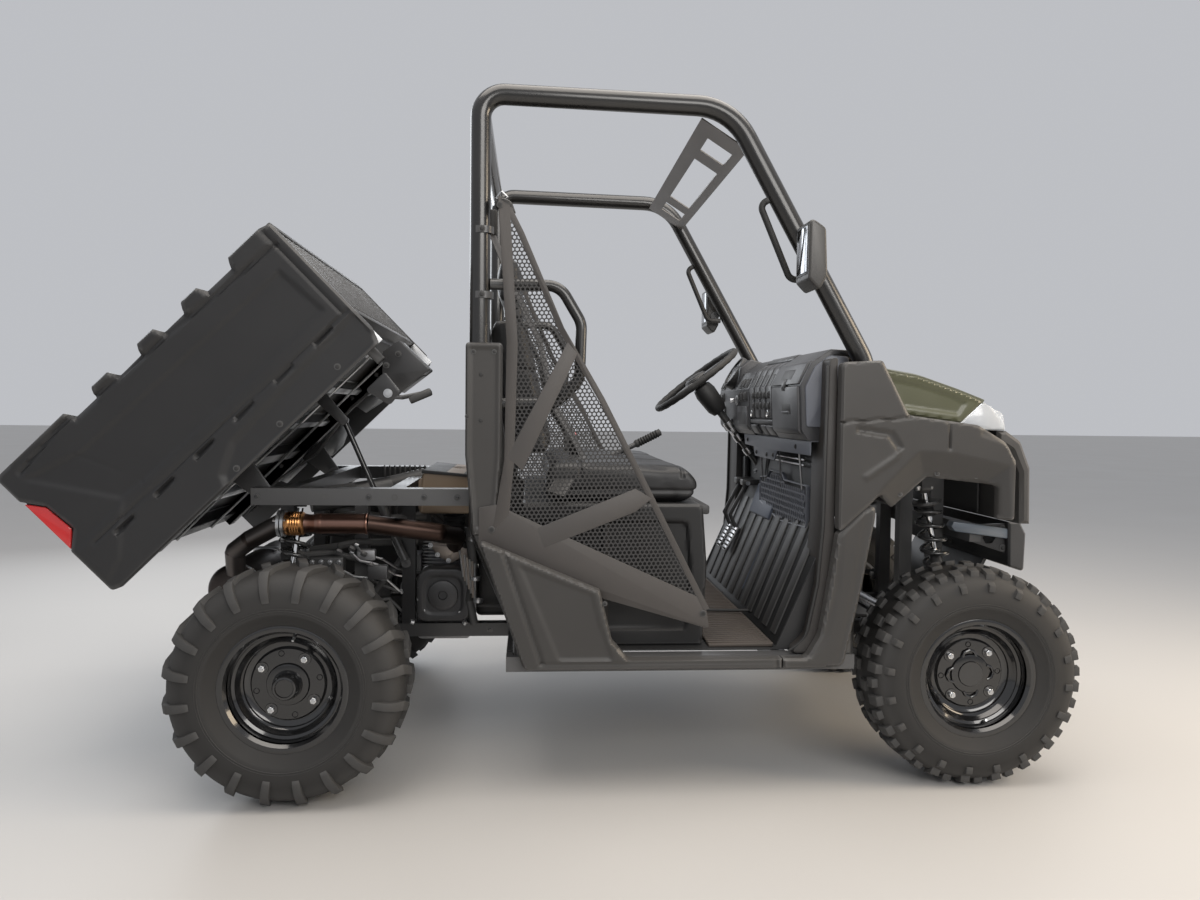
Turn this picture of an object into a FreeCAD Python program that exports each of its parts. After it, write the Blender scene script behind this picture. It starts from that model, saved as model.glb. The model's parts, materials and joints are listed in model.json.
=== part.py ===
"""Side by side utility vehicle with a tipping cargo bed, at real size in millimetres.

X runs forward, Y to the left and Z up. Every place below is measured from the rear axle's
centreline along X and from the ground along Z; mid_x then moves the whole vehicle back so
that its origin is under the middle of its length. Pieces ahead of the cab are placed from
the front axle, and pieces that line the cab from the cab frame's tubes.
"""
import FreeCAD
import Part
import Sketcher
import math
import os

Vector = FreeCAD.Vector
document = FreeCAD.newDocument("utility_vehicle")

SIZES = [
    # alias, value, what it is
    ("rear_reach", 730.5, "back of the raised bed behind the rear axle"),
    ("wheelbase", 1854, "rear axle to front axle"),
    ("front_overhang", 76, "front end of the lower frame ahead of the front axle"),
    ("rear_tyre_y", 600, "middle of a rear tyre from the centreline"),
    ("front_tyre_y", 545, "middle of a front tyre from the centreline"),
    ("rear_tyre_r", 312, "rear tyre radius over the lugs"),
    ("front_tyre_r", 304.5, "front tyre radius over the knobs"),
    ("rear_tyre_half", 122, "half the section width of a rear tyre"),
    ("front_tyre_half", 110, "half the section width of a front tyre"),
    ("rear_rim_half", 102, "half the width of a rear rim over its lips"),
    ("front_rim_half", 95, "half the width of a front rim over its lips"),
    ("bead_r", 152, "bead seat radius of a rim"),
    ("lip_r", 169.5, "lip radius of a rim"),
    ("rim_wall", 6, "rim barrel wall"),
    ("disc_recess", 54, "wheel disc behind the outer lip"),
    ("disc_wall", 8, "wheel disc thickness"),
    ("disc_r", 106, "radius of the flat middle of a wheel disc"),
    ("cap_r", 33, "wheel centre cap radius"),
    ("cap_height", 26, "wheel centre cap ahead of the disc"),
    ("nut_circle_r", 78, "wheel nut circle radius"),
    ("nut_hole_r", 6.5, "wheel nut hole radius"),
    ("nut_count", 4, "wheel nuts"),
    ("hub_r", 45, "hub boss radius"),
    ("hub_depth", 70, "hub boss behind the disc"),
    ("stub_r", 20, "axle stub radius"),
    ("running_gap", 0.05, "radial clearance of a running fit"),
    ("seat_gap", 0.3, "clearance where a curved piece seats"),
    ("lug_height", 15, "rear lug height"),
    ("knob_height", 13, "front knob height"),
    ("rear_lugs", 16, "lugs round each side of a rear tyre"),
    ("front_lugs", 14, "knobs round each side of a front tyre"),
    ("tube_r", 27, "cab frame tube radius"),
    ("cab_half", 585, "cab frame tube centre from the centreline"),
    ("pillar_x", 484, "rear pillar centre"),
    ("roof_z", 1857, "roof tube centre at the back"),
    ("roof_front_z", 1843, "roof tube centre at the front bend"),
    ("screen_foot_z", 1160, "height of the foot of the raked front pillar"),
    ("rear_leg_x", 604, "foot of the rear leg"),
    ("rear_knee_z", 705, "height of the knee in the rear pillar"),
    ("back_bend_r", 62, "bend radius at the roof's back"),
    ("front_bend_r", 160, "bend radius at the roof's front"),
    ("foot_bend_r", 130, "bend radius at the foot of the raked pillar"),
    ("leg_bend_r", 60, "bend radius low in the legs"),
    ("rail_y0", 190, "inner side of the lower frame rails"),
    ("rail_y1", 230, "outer side of the lower frame rails"),
    ("rail_z0", 330, "underside of the lower frame rails"),
    ("rail_z1", 370, "top of the lower frame rails"),
    ("frame_back_x", -160, "back end of the lower frame"),
    ("beam", 40, "width of a frame beam"),
    ("sill_x0", 560, "back end of the sill beams"),
    ("floor_wall", 12, "cab floor thickness"),
    ("floor_gap", 35, "cab floor to the middle of the cab frame tube"),
    ("bed_rail_y0", 455, "inner side of the bed support rails"),
    ("bed_rail_y1", 505, "outer side of the bed support rails"),
    ("bed_rail_z0", 762, "underside of the bed support rails"),
    ("bed_rail_z1", 808, "top of the bed support rails"),
    ("pivot_x", -112, "bed pivot, behind the rear axle"),
    ("pivot_z", 782, "bed pivot height"),
    ("pivot_r", 9, "bed pivot pin radius"),
    ("tip_deg", 44.5, "angle at which the bed rests raised"),
    ("bed_x0", -505, "back of the bed sides, bed lowered"),
    ("bed_x1", 435, "front of the bed, bed lowered"),
    ("bed_half", 620, "bed half width"),
    ("bed_side", 87, "bed side thickness, top to floor"),
    ("bed_skirt_z", 844, "lower edge of the bed sides, bed lowered"),
    ("bed_floor_z", 968, "bed floor, bed lowered"),
    ("bed_floor_wall", 22, "bed floor thickness"),
    ("bed_top_z", 1260, "top rail of the bed, bed lowered"),
    ("bed_skirt_wall", 14, "wall of the bed sides under the floor"),
    ("headboard_wall", 35, "bed headboard thickness"),
    ("gate_wall", 36, "tailgate thickness"),
    ("gate_gap", 6, "gap round the tailgate"),
    ("gate_low_gap", 13, "gap between the bed floor and the tailgate"),
    ("gate_pin_r", 6, "tailgate pin radius"),
    ("panel_gap", 8, "gap between the cab frame tube and the body panels"),
    ("panel_wall", 38, "depth of the body side panels"),
    ("panel_edge", 9, "bevel round the outer rim of the body side panels"),
    ("axle_low", 235, "underside of the front knuckles"),
    ("axle_high", 405, "top of the front knuckles"),
    ("kingpin_y", 470, "steering pivot from the centreline"),
    ("steer_arm", 80, "steering arm behind the axle"),
    ("wheel_back", 621, "steering wheel centre behind the front axle"),
    ("wheel_y", 350, "steering wheel from the centreline"),
    ("wheel_z", 1146, "steering wheel centre height"),
    ("wheel_r", 175, "steering wheel rim radius to the tube's centre"),
    ("wheel_tube_r", 13, "steering wheel rim tube radius"),
    ("column_deg", 38, "steering wheel plane above the horizontal"),
    ("column_r", 20, "steering column radius"),
    ("column_length", 470, "steering column length"),
    ("hood_pivot_ahead", 54, "hood hinge pin ahead of the front axle"),
    ("hood_pivot_z", 1052, "hood hinge pin height"),
    ("hood_pin_r", 6, "hood hinge pin radius"),
    ("rack_z", 396, "steering rack height"),
    ("rack_r", 14, "steering rack radius"),
    ("exhaust_r", 26, "exhaust pipe radius"),
    ("fin_pitch", 16, "distance between cooling fins"),
]


class Size:
    """A length that knows its value and its expression in the sheet."""

    def __init__(self, value, text):
        self.value = float(value)
        self.text = text

    def join(self, other, sign, swap=False):
        if not isinstance(other, Size):
            other = Size(other, repr(other))
        first, second = (other, self) if swap else (self, other)
        value = {
            "+": first.value + second.value,
            "-": first.value - second.value,
            "*": first.value * second.value,
            "/": first.value / second.value if second.value else 0.0,
        }[sign]
        return Size(value, f"({first.text} {sign} {second.text})")

    def __add__(self, other):
        return self.join(other, "+")

    def __radd__(self, other):
        return self.join(other, "+", True)

    def __sub__(self, other):
        return self.join(other, "-")

    def __rsub__(self, other):
        return self.join(other, "-", True)

    def __mul__(self, other):
        return self.join(other, "*")

    def __rmul__(self, other):
        return self.join(other, "*", True)

    def __truediv__(self, other):
        return self.join(other, "/")

    def __neg__(self):
        return self.join(-1, "*")

    def __float__(self):
        return self.value


class Sheet:
    """The driving sizes, one spreadsheet cell and one name each."""

    def __init__(self, rows):
        self.sheet = document.addObject("Spreadsheet::Sheet", "Sizes")
        for number, (alias, value, note) in enumerate(rows, start=1):
            self.sheet.set(f"A{number}", note)
            self.sheet.set(f"B{number}", repr(value))
            self.sheet.setAlias(f"B{number}", alias)
            setattr(self, alias, Size(value, f"Sizes.{alias}"))
        document.recompute()


s = Sheet(SIZES)
NODES = {}

# places that follow from the sizes
mid_x = (s.wheelbase + s.front_tyre_r - s.rear_reach) / 2
frame_front = s.wheelbase + s.front_overhang
tube_inner = s.cab_half - s.tube_r - s.seat_gap
tube_outer = s.cab_half + s.tube_r + s.seat_gap
panel_inner = s.cab_half + s.tube_r + s.panel_gap
panel_outer = panel_inner + s.panel_wall
floor_half = s.cab_half - s.floor_gap
bed_inner = s.bed_half - s.bed_side


def size(value):
    return value if isinstance(value, Size) else Size(value, repr(value))


def bind(item, name, value):
    item.setExpression(name, size(value).text)


def place(item, x=0, y=0, z=0):
    """Bind an item's position to the sheet."""
    for axis, value in zip("xyz", (x, y, z)):
        bind(item, f"Placement.Base.{axis}", value)
    return item


def box(name, x0, x1, y0, y1, z0, z1):
    item = document.addObject("Part::Box", name)
    bind(item, "Length", size(x1) - x0)
    bind(item, "Width", size(y1) - y0)
    bind(item, "Height", size(z1) - z0)
    return place(item, x0, y0, z0)


TURNS = {"X": ((0, 1, 0), 90), "Y": ((1, 0, 0), -90), "Z": ((0, 0, 1), 0)}


def rod(name, axis, x, y, z, radius, length):
    """A cylinder that starts at x, y, z and runs along +axis."""
    item = document.addObject("Part::Cylinder", name)
    bind(item, "Radius", radius)
    bind(item, "Height", length)
    turn, angle = TURNS[axis]
    item.Placement = FreeCAD.Placement(Vector(), FreeCAD.Rotation(Vector(*turn), angle))
    return place(item, x, y, z)


def bar(name, start, end, radius):
    """A round bar between two points."""
    item = document.addObject("Part::Cylinder", name)
    first = Vector(*[float(value) for value in start])
    run = Vector(*[float(value) for value in end]) - first
    bind(item, "Radius", radius)
    item.Height = run.Length
    item.Placement = FreeCAD.Placement(Vector(), FreeCAD.Rotation(Vector(0, 0, 1), run))
    return place(item, *start)


def fuse(name, *items):
    item = document.addObject("Part::MultiFuse", name)
    item.Shapes = list(items)
    item.Refine = True
    return item


def cut(name, base, *tools):
    item = document.addObject("Part::Cut", name)
    item.Base = base
    item.Tool = tools[0] if len(tools) == 1 else fuse(f"{name}_tools", *tools)
    return item


def common(name, first, second):
    item = document.addObject("Part::Common", name)
    item.Base = first
    item.Tool = second
    return item


def mirror(name, source):
    item = document.addObject("Part::Mirroring", name)
    item.Source = source
    item.Normal = Vector(0, 1, 0)
    return item


def both_sides(name, right):
    """The right-hand piece and its mirror image as one item."""
    item = document.addObject("Part::Compound", name)
    item.Links = [right, mirror(f"{name}_left", right)]
    return item


def corner(rows, index, closed):
    """Where a rounded corner's arc starts and ends, and its centre."""
    x, z, radius = [float(value) for value in rows[index]]
    point = Vector(x, z, 0)
    at_end = not closed and index in (0, len(rows) - 1)
    if radius <= 0 or at_end:
        return point, point, None
    before = rows[index - 1]
    after = rows[(index + 1) % len(rows)]
    back = (Vector(float(before[0]), float(before[1]), 0) - point).normalize()
    ahead = (Vector(float(after[0]), float(after[1]), 0) - point).normalize()
    half = back.getAngle(ahead) / 2
    run = radius / math.tan(half)
    centre = point + (back + ahead).normalize() * (radius / math.sin(half))
    return point + back * run, point + ahead * run, centre


def outline(sketch, rows, closed=True):
    """Draw straight runs with rounded corners; each row is x, z and the corner's radius."""
    rows = [row if len(row) == 3 else (*row, 0) for row in rows]
    count = len(rows)
    corners = [corner(rows, index, closed) for index in range(count)]
    runs = count if closed else count - 1
    lines = [
        sketch.addGeometry(Part.LineSegment(corners[i][1], corners[(i + 1) % count][0]))
        for i in range(runs)
    ]

    def fix(geometry, point, row):
        for kind, value in zip(("DistanceX", "DistanceY"), row[:2]):
            number = sketch.addConstraint(
                Sketcher.Constraint(kind, -1, 1, geometry, point, float(value))
            )
            sketch.setExpression(f"Constraints[{number}]", size(value).text)

    for i in range(count):
        if not closed and i == 0:
            fix(lines[0], 1, rows[0])
            continue
        if not closed and i == count - 1:
            fix(lines[-1], 2, rows[-1])
            continue
        before, after = lines[i - 1], lines[i]
        start, end, centre = corners[i]
        if centre is None:
            sketch.addConstraint(Sketcher.Constraint("Coincident", before, 2, after, 1))
            fix(after, 1, rows[i])
            continue
        tip = Vector(float(rows[i][0]), float(rows[i][1]), 0)
        circle = Part.Circle(centre, Vector(0, 0, 1), float(rows[i][2]))
        left_turn = (tip - start).cross(end - tip).z > 0
        ends = (start, end) if left_turn else (end, start)
        angles = [math.atan2(p.y - centre.y, p.x - centre.x) for p in ends]
        if angles[1] < angles[0]:
            angles[1] += 2 * math.pi
        arc = sketch.addGeometry(Part.ArcOfCircle(circle, *angles))
        first, last = (1, 2) if left_turn else (2, 1)
        point = sketch.addGeometry(Part.Point(tip), True)
        sketch.addConstraint(Sketcher.Constraint("Tangent", before, 2, arc, first))
        sketch.addConstraint(Sketcher.Constraint("Tangent", arc, last, after, 1))
        sketch.addConstraint(Sketcher.Constraint("PointOnObject", point, 1, before))
        sketch.addConstraint(Sketcher.Constraint("PointOnObject", point, 1, after))
        number = sketch.addConstraint(
            Sketcher.Constraint("Radius", arc, float(rows[i][2]))
        )
        sketch.setExpression(f"Constraints[{number}]", size(rows[i][2]).text)
        fix(point, 1, rows[i])


def sketch_in(body, name, role, offset=0):
    """An empty sketch on one of the body's own origin planes."""
    sketch = body.newObject("Sketcher::SketchObject", name)
    planes = [item for item in body.Origin.OriginFeatures if item.Role == role]
    sketch.AttachmentSupport = [(planes[0], "")]
    sketch.MapMode = "FlatFace"
    bind(sketch, "AttachmentOffset.Base.z", offset)
    return sketch


def side_panel(name, rows, y0, y1, edge=0, both=False):
    """A plate drawn in side view, from y0 to y1; both are distances to the right.

    edge bevels the rim of the y1 side, and both bevels the two sides.
    """
    low = size(y0) + edge if both else size(y0)
    high = size(y1) - edge
    body = document.addObject("PartDesign::Body", name)
    stages = [("pad", low, high - low, 0, False)]
    if edge:
        stages.append(("rim", high, edge, -45, False))
    if both:
        stages.append(("rim_inside", low, edge, -45, True))
    for stage, offset, length, taper, reverse in stages:
        sketch = sketch_in(body, f"{name}_{stage}_outline", "XZ_Plane", offset)
        outline(sketch, rows)
        pad = body.newObject("PartDesign::Pad", f"{name}_{stage}")
        pad.Profile = sketch
        pad.TaperAngle = taper
        pad.Reversed = reverse
        bind(pad, "Length", length)
    return body


def from_front(rows):
    """Outline rows whose first column is measured from the front axle."""
    return [(s.wheelbase + row[0], *row[1:]) for row in rows]


def side_tube(name, rows, y, radius):
    """A round tube bent in side view at distance y to the right."""
    body = document.addObject("PartDesign::Body", name)
    path = sketch_in(body, f"{name}_path", "XZ_Plane", y)
    outline(path, rows, closed=False)
    document.recompute()
    (x0, z0), (x1, z1) = [[float(v) for v in row[:2]] for row in rows[:2]]
    ring = body.newObject("Sketcher::SketchObject", f"{name}_ring")
    turn = FreeCAD.Rotation(Vector(0, 0, 1), Vector(x1 - x0, 0, z1 - z0))
    ring.Placement = FreeCAD.Placement(Vector(x0, -float(size(y)), z0), turn)
    ring.addGeometry(Part.Circle(Vector(), Vector(0, 0, 1), float(size(radius))))
    ring.addConstraint(Sketcher.Constraint("Coincident", 0, 3, -1, 1))
    number = ring.addConstraint(Sketcher.Constraint("Radius", 0, float(size(radius))))
    ring.setExpression(f"Constraints[{number}]", size(radius).text)
    pipe = body.newObject("PartDesign::AdditivePipe", f"{name}_pipe")
    pipe.Profile = ring
    pipe.Spine = (path, [f"Edge{i + 1}" for i in range(len(path.Shape.Edges))])
    return body


def bent_pipe(name, rows, radius):
    """A pipe through points in space; each row is x, y, z and the bend's radius."""
    points = [Vector(*[float(v) for v in row[:3]]) for row in rows]
    edges = []
    last = points[0]
    for i in range(1, len(points) - 1):
        back = (points[i - 1] - points[i]).normalize()
        ahead = (points[i + 1] - points[i]).normalize()
        half = back.getAngle(ahead) / 2
        run = float(rows[i][3]) / math.tan(half)
        start, end = points[i] + back * run, points[i] + ahead * run
        inward = (back + ahead).normalize()
        centre = points[i] + inward * (float(rows[i][3]) / math.sin(half))
        middle = centre - inward * float(rows[i][3])
        edges.append(Part.LineSegment(last, start).toShape())
        edges.append(Part.Arc(start, middle, end).toShape())
        last = end
    edges.append(Part.LineSegment(last, points[-1]).toShape())
    wire = Part.Wire(edges)
    circle = Part.Circle(points[0], points[1] - points[0], float(size(radius)))
    ring = Part.Wire([circle.toShape()])
    item = document.addObject("Part::Feature", name)
    item.Shape = wire.makePipeShell([ring], True, False)
    return item


def revolved(name, rows, y):
    """A body turned about a line along Y; rows are distance from y and radius."""
    body = document.addObject("PartDesign::Body", name)
    sketch = sketch_in(body, f"{name}_section", "XY_Plane")
    outline(sketch, [(radius, size(y) + along) for along, radius in rows])
    turn = body.newObject("PartDesign::Revolution", f"{name}_turn")
    turn.Profile = sketch
    turn.ReferenceAxis = (sketch, ["V_Axis"])
    turn.Angle = 360
    return body


def node(name, item, bed=False):
    """Give a finished piece its name and its place in the vehicle's frame."""
    item.Label = name
    if bed:
        shift = (
            f"create(<<placement>>; create(<<vector>>; -{mid_x.text}; 0; 0); "
            "create(<<rotation>>; create(<<vector>>; 0; 1; 0); -Sizes.tip_deg); "
            "create(<<vector>>; Sizes.pivot_x; 0; Sizes.pivot_z))"
        )
        item.setExpression("Placement", shift)
    elif item.TypeId == "Part::Feature":
        item.Placement = FreeCAD.Placement(
            Vector(-float(mid_x), 0, 0), FreeCAD.Rotation()
        )
    else:
        item.setExpression(
            "Placement",
            f"create(<<placement>>; create(<<vector>>; -{mid_x.text}; 0; 0); "
            "create(<<rotation>>; create(<<vector>>; 0; 1; 0); 0))",
        )
    NODES[name] = item


def pair(name, right):
    """A right-hand piece and its mirror image as two nodes."""
    node(f"{name}_right", group(f"{name}_r", right))
    node(f"{name}_left", mirror(f"{name}_l", right))


def group(name, *items):
    """Several pieces that share one node."""
    item = document.addObject("Part::Compound", name)
    item.Links = list(items)
    return item


# wheels
def carcass(name, radius, half, rim_half, height, flats):
    """The tyre without its lugs: its section set round the axle with one flat per lug."""
    crown = size(radius) - height
    side = size(rim_half) - 8
    rows = [
        # from the middle, radius
        (side, s.bead_r + s.seat_gap),
        (side, s.lip_r + 3),
        (size(half), s.lip_r + 60),
        (half - 13, crown - 18),
        (half - 38, crown),
    ]
    rows = rows + [(-along, r) for along, r in reversed(rows)]
    count = int(float(flats))

    def spot(row, index):
        angle = 2 * math.pi * (index + 0.5) / count
        reach = float(row[1]) / math.cos(math.pi / count)
        return Vector(math.sin(angle) * reach, float(row[0]), math.cos(angle) * reach)

    faces = []
    for row, after in zip(rows, rows[1:] + rows[:1]):
        for index in range(count):
            ring = [spot(row, index), spot(row, index + 1), spot(after, index + 1), spot(after, index)]
            faces.append(Part.Face(Part.makePolygon(ring + ring[:1])))
    shell = Part.makeShell(faces)
    shell.sewShape()
    item = document.addObject("Part::Feature", f"{name}_carcass")
    item.Shape = Part.makeSolid(shell)
    return item


def lug(rows, side, width, slant):
    """One lug at the top of the tyre; rows are distance from the middle and radius."""
    points = [Vector(-width / 2, side * along, radius) for along, radius in rows]
    block = Part.Face(Part.makePolygon(points + points[:1])).extrude(Vector(width, 0, 0))
    block.rotate(Vector(), Vector(0, 0, 1), side * slant)
    return block


def tread(name, flats, rows):
    """Lugs round the tyre; each row is side, shift in flats, step, width, slant and outline."""
    lugs = []
    count = int(float(flats))
    for side, shift, step, width, slant, shape in rows:
        first = lug(shape, side, width, slant)
        for index in range(0, count, step):
            block = first.copy()
            block.rotate(Vector(), Vector(0, 1, 0), (index + shift) * 360 / count)
            lugs.append(block)
    item = document.addObject("Part::Feature", f"{name}_tread")
    item.Shape = Part.makeCompound(lugs)
    return item


def rear_tread(name):
    """Long bars that start at the middle, wrap the shoulder and end on the sidewall."""
    top = float(s.rear_tyre_r) - 0.7
    low = top - float(s.lug_height) - 8
    half = float(s.rear_tyre_half)
    long_bar = [
        (4, low),
        (4, top),
        (half - 36, top),
        (half - 14, top - 15),
        (half, top - 52),
        (half - 12, top - 76),
        (half - 24, top - 38),
        (half - 38, low),
    ]
    rows = [(-1, 0, 1, 25, 13, long_bar), (1, 0.5, 1, 25, 13, long_bar)]
    return tread(name, s.rear_lugs, rows)


def front_tread(name):
    """Square knobs on the shoulders and every other flat of the middle."""
    top = float(s.front_tyre_r)
    low = top - float(s.knob_height) - 7
    half = float(s.front_tyre_half)
    shoulder = [
        (half - 62, low),
        (half - 62, top),
        (half - 30, top),
        (half - 11, top - 15),
        (half, top - 47),
        (half - 11, top - 64),
        (half - 22, top - 36),
        (half - 34, low),
    ]
    middle = [(1, low), (1, top), (38, top), (38, low)]
    rows = [
        (-1, 0, 1, 34, 0, shoulder),
        (1, 0.5, 1, 34, 0, shoulder),
        (-1, 0.5, 2, 34, 0, middle),
        (1, 1, 2, 34, 0, middle),
    ]
    return tread(name, s.front_lugs, rows)


def rim(name, half):
    """A pressed rim with a stepped disc, hub boss and cap; its outer face looks to -Y."""
    inner = s.bead_r - s.rim_wall
    lip = size(half)
    face = -lip + s.disc_recess
    back = face + s.disc_wall
    deep = back + s.hub_depth
    rows = [
        # along Y from the wheel's middle, radius
        (-lip, inner + 3),
        (-lip, s.lip_r),
        (-lip + 7, s.bead_r),
        (lip - 7, s.bead_r),
        (lip, s.lip_r),
        (lip, inner),
        (face - 6, inner),
        (back, s.disc_r + 4),
        (back, s.hub_r),
        (deep, s.hub_r),
        (deep, s.stub_r + s.running_gap),
        (back + 10, s.stub_r + s.running_gap),
        (back + 10, 0),
        (face - s.cap_height, 0),
        (face - s.cap_height, s.cap_r - 4),
        (face - s.cap_height + 5, s.cap_r),
        (face, s.cap_r + 3),
        (face, s.disc_r),
        (face - 10, s.disc_r + 6),
        (face - 14, s.disc_r + 21),
        (-lip + 20, inner - 8),
    ]
    body = revolved(name, rows, 0)
    document.recompute()
    holes = []
    for index in range(int(float(s.nut_count))):
        angle = 2 * math.pi * (index + 0.5) / float(s.nut_count)
        x = s.nut_circle_r * math.cos(angle)
        z = s.nut_circle_r * math.sin(angle)
        holes.append(
            rod(f"{name}_hole{index}", "Y", x, face - 5, z, s.nut_hole_r, s.disc_wall + 10)
        )
    return cut(f"{name}_drilled", body, *holes)


def moved(name, source, x, y, z):
    """A copy of a finished item at another place."""
    item = document.addObject("Part::Compound", name)
    item.Links = [source]
    return place(item, x, y, z)


def wheel_pair(end, x, y, radius, rubber, metal):
    for kind, item in (("tyre", rubber), ("rim", metal)):
        pair(f"{kind}_{end}", moved(f"{kind}_{end}_place", item, x, -size(y), radius))


def wheels():
    blank = carcass(
        "tyre_rear", s.rear_tyre_r, s.rear_tyre_half, s.rear_rim_half, s.lug_height, s.rear_lugs
    )
    rubber = fuse("tyre_rear", blank, rear_tread("tyre_rear"))
    wheel_pair("rear", 0, s.rear_tyre_y, s.rear_tyre_r, rubber, rim("rim_rear", s.rear_rim_half))
    blank = carcass(
        "tyre_front", s.front_tyre_r, s.front_tyre_half, s.front_rim_half, s.knob_height, s.front_lugs
    )
    rubber = fuse("tyre_front", blank, front_tread("tyre_front"))
    metal = rim("rim_front", s.front_rim_half)
    wheel_pair("front", s.wheelbase, s.front_tyre_y, s.front_tyre_r, rubber, metal)


# frame
def across(sign, y0, y1):
    """The span from y0 to y1 on the left (sign 1) or the right (sign -1)."""
    return (size(y0), size(y1)) if sign > 0 else (-size(y1), -size(y0))


def main_frame():
    """A ladder of two rails and their cross beams, with the tow plate behind."""
    outrigger = s.wheelbase - 564
    pieces = []
    for side, sign in (("right", -1), ("left", 1)):
        reach = across(sign, s.rail_y0, s.rail_y1)
        pieces.append(box(f"rail_{side}", s.frame_back_x, frame_front, *reach, s.rail_z0, s.rail_z1))
    crosses = [s.frame_back_x, s.sill_x0, 900, outrigger, s.wheelbase - 102, frame_front - s.beam]
    reach = s.rail_y0 + 5
    for number, x in enumerate(crosses):
        pieces.append(
            box(f"cross{number}", x, size(x) + s.beam, -reach, reach, s.rail_z0, s.rail_z1)
        )
    tongue = box("tongue", s.frame_back_x - 60, s.frame_back_x + 5, -45, 45, 344, 356)
    hitch = rod("hitch_hole", "Z", s.frame_back_x - 30, 0, 340, 13, 20)
    pieces.append(cut("tongue_drilled", tongue, hitch))
    node("main_frame", fuse("main_frame", *pieces))
    sills = []
    for side, sign in (("right", -1), ("left", 1)):
        beams = [("sill", s.sill_x0, s.wheelbase - 344, s.cab_half - 10, panel_inner)]
        for number, x in enumerate((s.sill_x0, outrigger)):
            beams.append((f"outrigger{number}", x, x + s.beam, s.rail_y1, s.cab_half - 5))
        sills.append(
            fuse(
                f"sill_frame_{side}",
                *[
                    box(f"{name}_{side}", x0, x1, *across(sign, y0, y1), s.rail_z0, s.rail_z1)
                    for name, x0, x1, y0, y1 in beams
                ],
            )
        )
    node("sill_frames", group("sill_frames", *sills))


def frame_posts():
    """Posts on the rails for the bed's rails, the front shocks and the fascia."""
    rows = [
        # x, top
        (s.pivot_x - 18, s.bed_rail_z0),
        (90, s.bed_rail_z0),
        (232, s.bed_rail_z0),
        (s.wheelbase - 64, 815),
        (frame_front - s.beam, 975),
    ]
    tower = s.wheelbase - 74
    posts = []
    for side, sign in (("right", -1), ("left", 1)):
        reach = across(sign, s.rail_y0, s.rail_y1)
        column = [
            box(f"post{number}_{side}", x, size(x) + s.beam, *reach, s.rail_z1, top)
            for number, (x, top) in enumerate(rows)
        ]
        top = box(f"tower_{side}", tower, tower + 50, *across(sign, s.rail_y0, 410), 815, 840)
        column[3] = fuse(f"shock_post_{side}", column[3], top)
        posts.extend(column)
    pin = rod("strut_pin", "Y", 247, -256, 560, 6, 30)
    posts[2] = fuse("strut_post", posts[2], pin)
    node("frame_posts", group("frame_posts", *posts))


def bed_rails():
    pieces = []
    front = s.pillar_x - s.tube_r + 1.7
    for side, sign in (("right", -1), ("left", 1)):
        y0, y1 = (s.bed_rail_y0, s.bed_rail_y1) if sign > 0 else (-s.bed_rail_y1, -s.bed_rail_y0)
        pieces.append(box(f"bed_rail_{side}", -135, front, y0, y1, s.bed_rail_z0, s.bed_rail_z1))
        start = -s.bed_rail_y0 - 5 if sign < 0 else s.bed_rail_y0 - 28
        pieces.append(rod(f"bed_pin_{side}", "Y", s.pivot_x, start, s.pivot_z, s.pivot_r, 33))
    reach = s.bed_rail_y0 + 5
    for number, x in enumerate((-62, 232)):
        low, high = s.bed_rail_z0, s.bed_rail_z1
        pieces.append(box(f"bed_cross{number}", x, x + s.beam, -reach, reach, low, high))
    node("bed_rails", fuse("bed_rails", *pieces))


def cab_frame():
    """Two side hoops, each one bent tube, and the tubes between them."""
    front_post = s.wheelbase - 364
    rows = [
        # x, z, bend radius
        (s.rear_leg_x, s.rail_z1 + s.seat_gap, 0),
        (s.rear_leg_x, s.rail_z1 + 60, s.leg_bend_r),
        (s.pillar_x, s.rear_knee_z, s.leg_bend_r + 30),
        (s.pillar_x, s.roof_z, s.back_bend_r),
        (s.wheelbase - 706, s.roof_front_z, s.front_bend_r),
        (s.wheelbase - 318, s.screen_foot_z, s.foot_bend_r),
        (front_post, s.rail_z1 + 60, s.leg_bend_r),
        (front_post, s.rail_z1 + s.seat_gap, 0),
    ]
    right = side_tube("cab_hoop_right", rows, s.cab_half, s.tube_r)
    left = side_tube("cab_hoop_left", rows, -s.cab_half, s.tube_r)
    cross_tubes = [
        # x, z, radius
        (s.pillar_x, s.roof_z - 30, 22),
        (s.pillar_x, 785, 25),
        (s.pillar_x, 1250, 20),
    ]
    bars = [
        rod(f"cab_cross{number}", "Y", x, -tube_inner, z, radius, tube_inner * 2)
        for number, (x, z, radius) in enumerate(cross_tubes)
    ]
    node("cab_frame", group("cab_frame", right, left, *bars))


def header_plate():
    rows = from_front([(-779, 1823), (-649, 1742), (-651, 1739), (-781, 1820)])
    plate = side_panel("header_blank", rows, -tube_inner, tube_inner)
    side = tube_inner - 158
    windows = [
        # middle, half width
        (-side, 60),
        (size(0), tube_inner - 308),
        (side, 60),
    ]
    hole = from_front([(-744, 1830), (-674, 1790), (-674, 1720), (-744, 1770)])
    tools = [
        side_panel(f"header_window{number}", hole, middle - half, middle + half)
        for number, (middle, half) in enumerate(windows)
    ]
    node("header_plate", cut("header_plate", plate, *tools))


def hip_bars():
    start = s.pillar_x + s.tube_r + s.seat_gap
    rows = [
        (start, 1360, 0),
        (695, 1360, 60),
        (754, 1262, 60),
        (750, 1110, 50),
        (685, 1045, 50),
        (start, 1045, 0),
    ]
    node("hip_bars", both_sides("hip_bars", side_tube("hip_bar", rows, s.cab_half, 15)))


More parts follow.
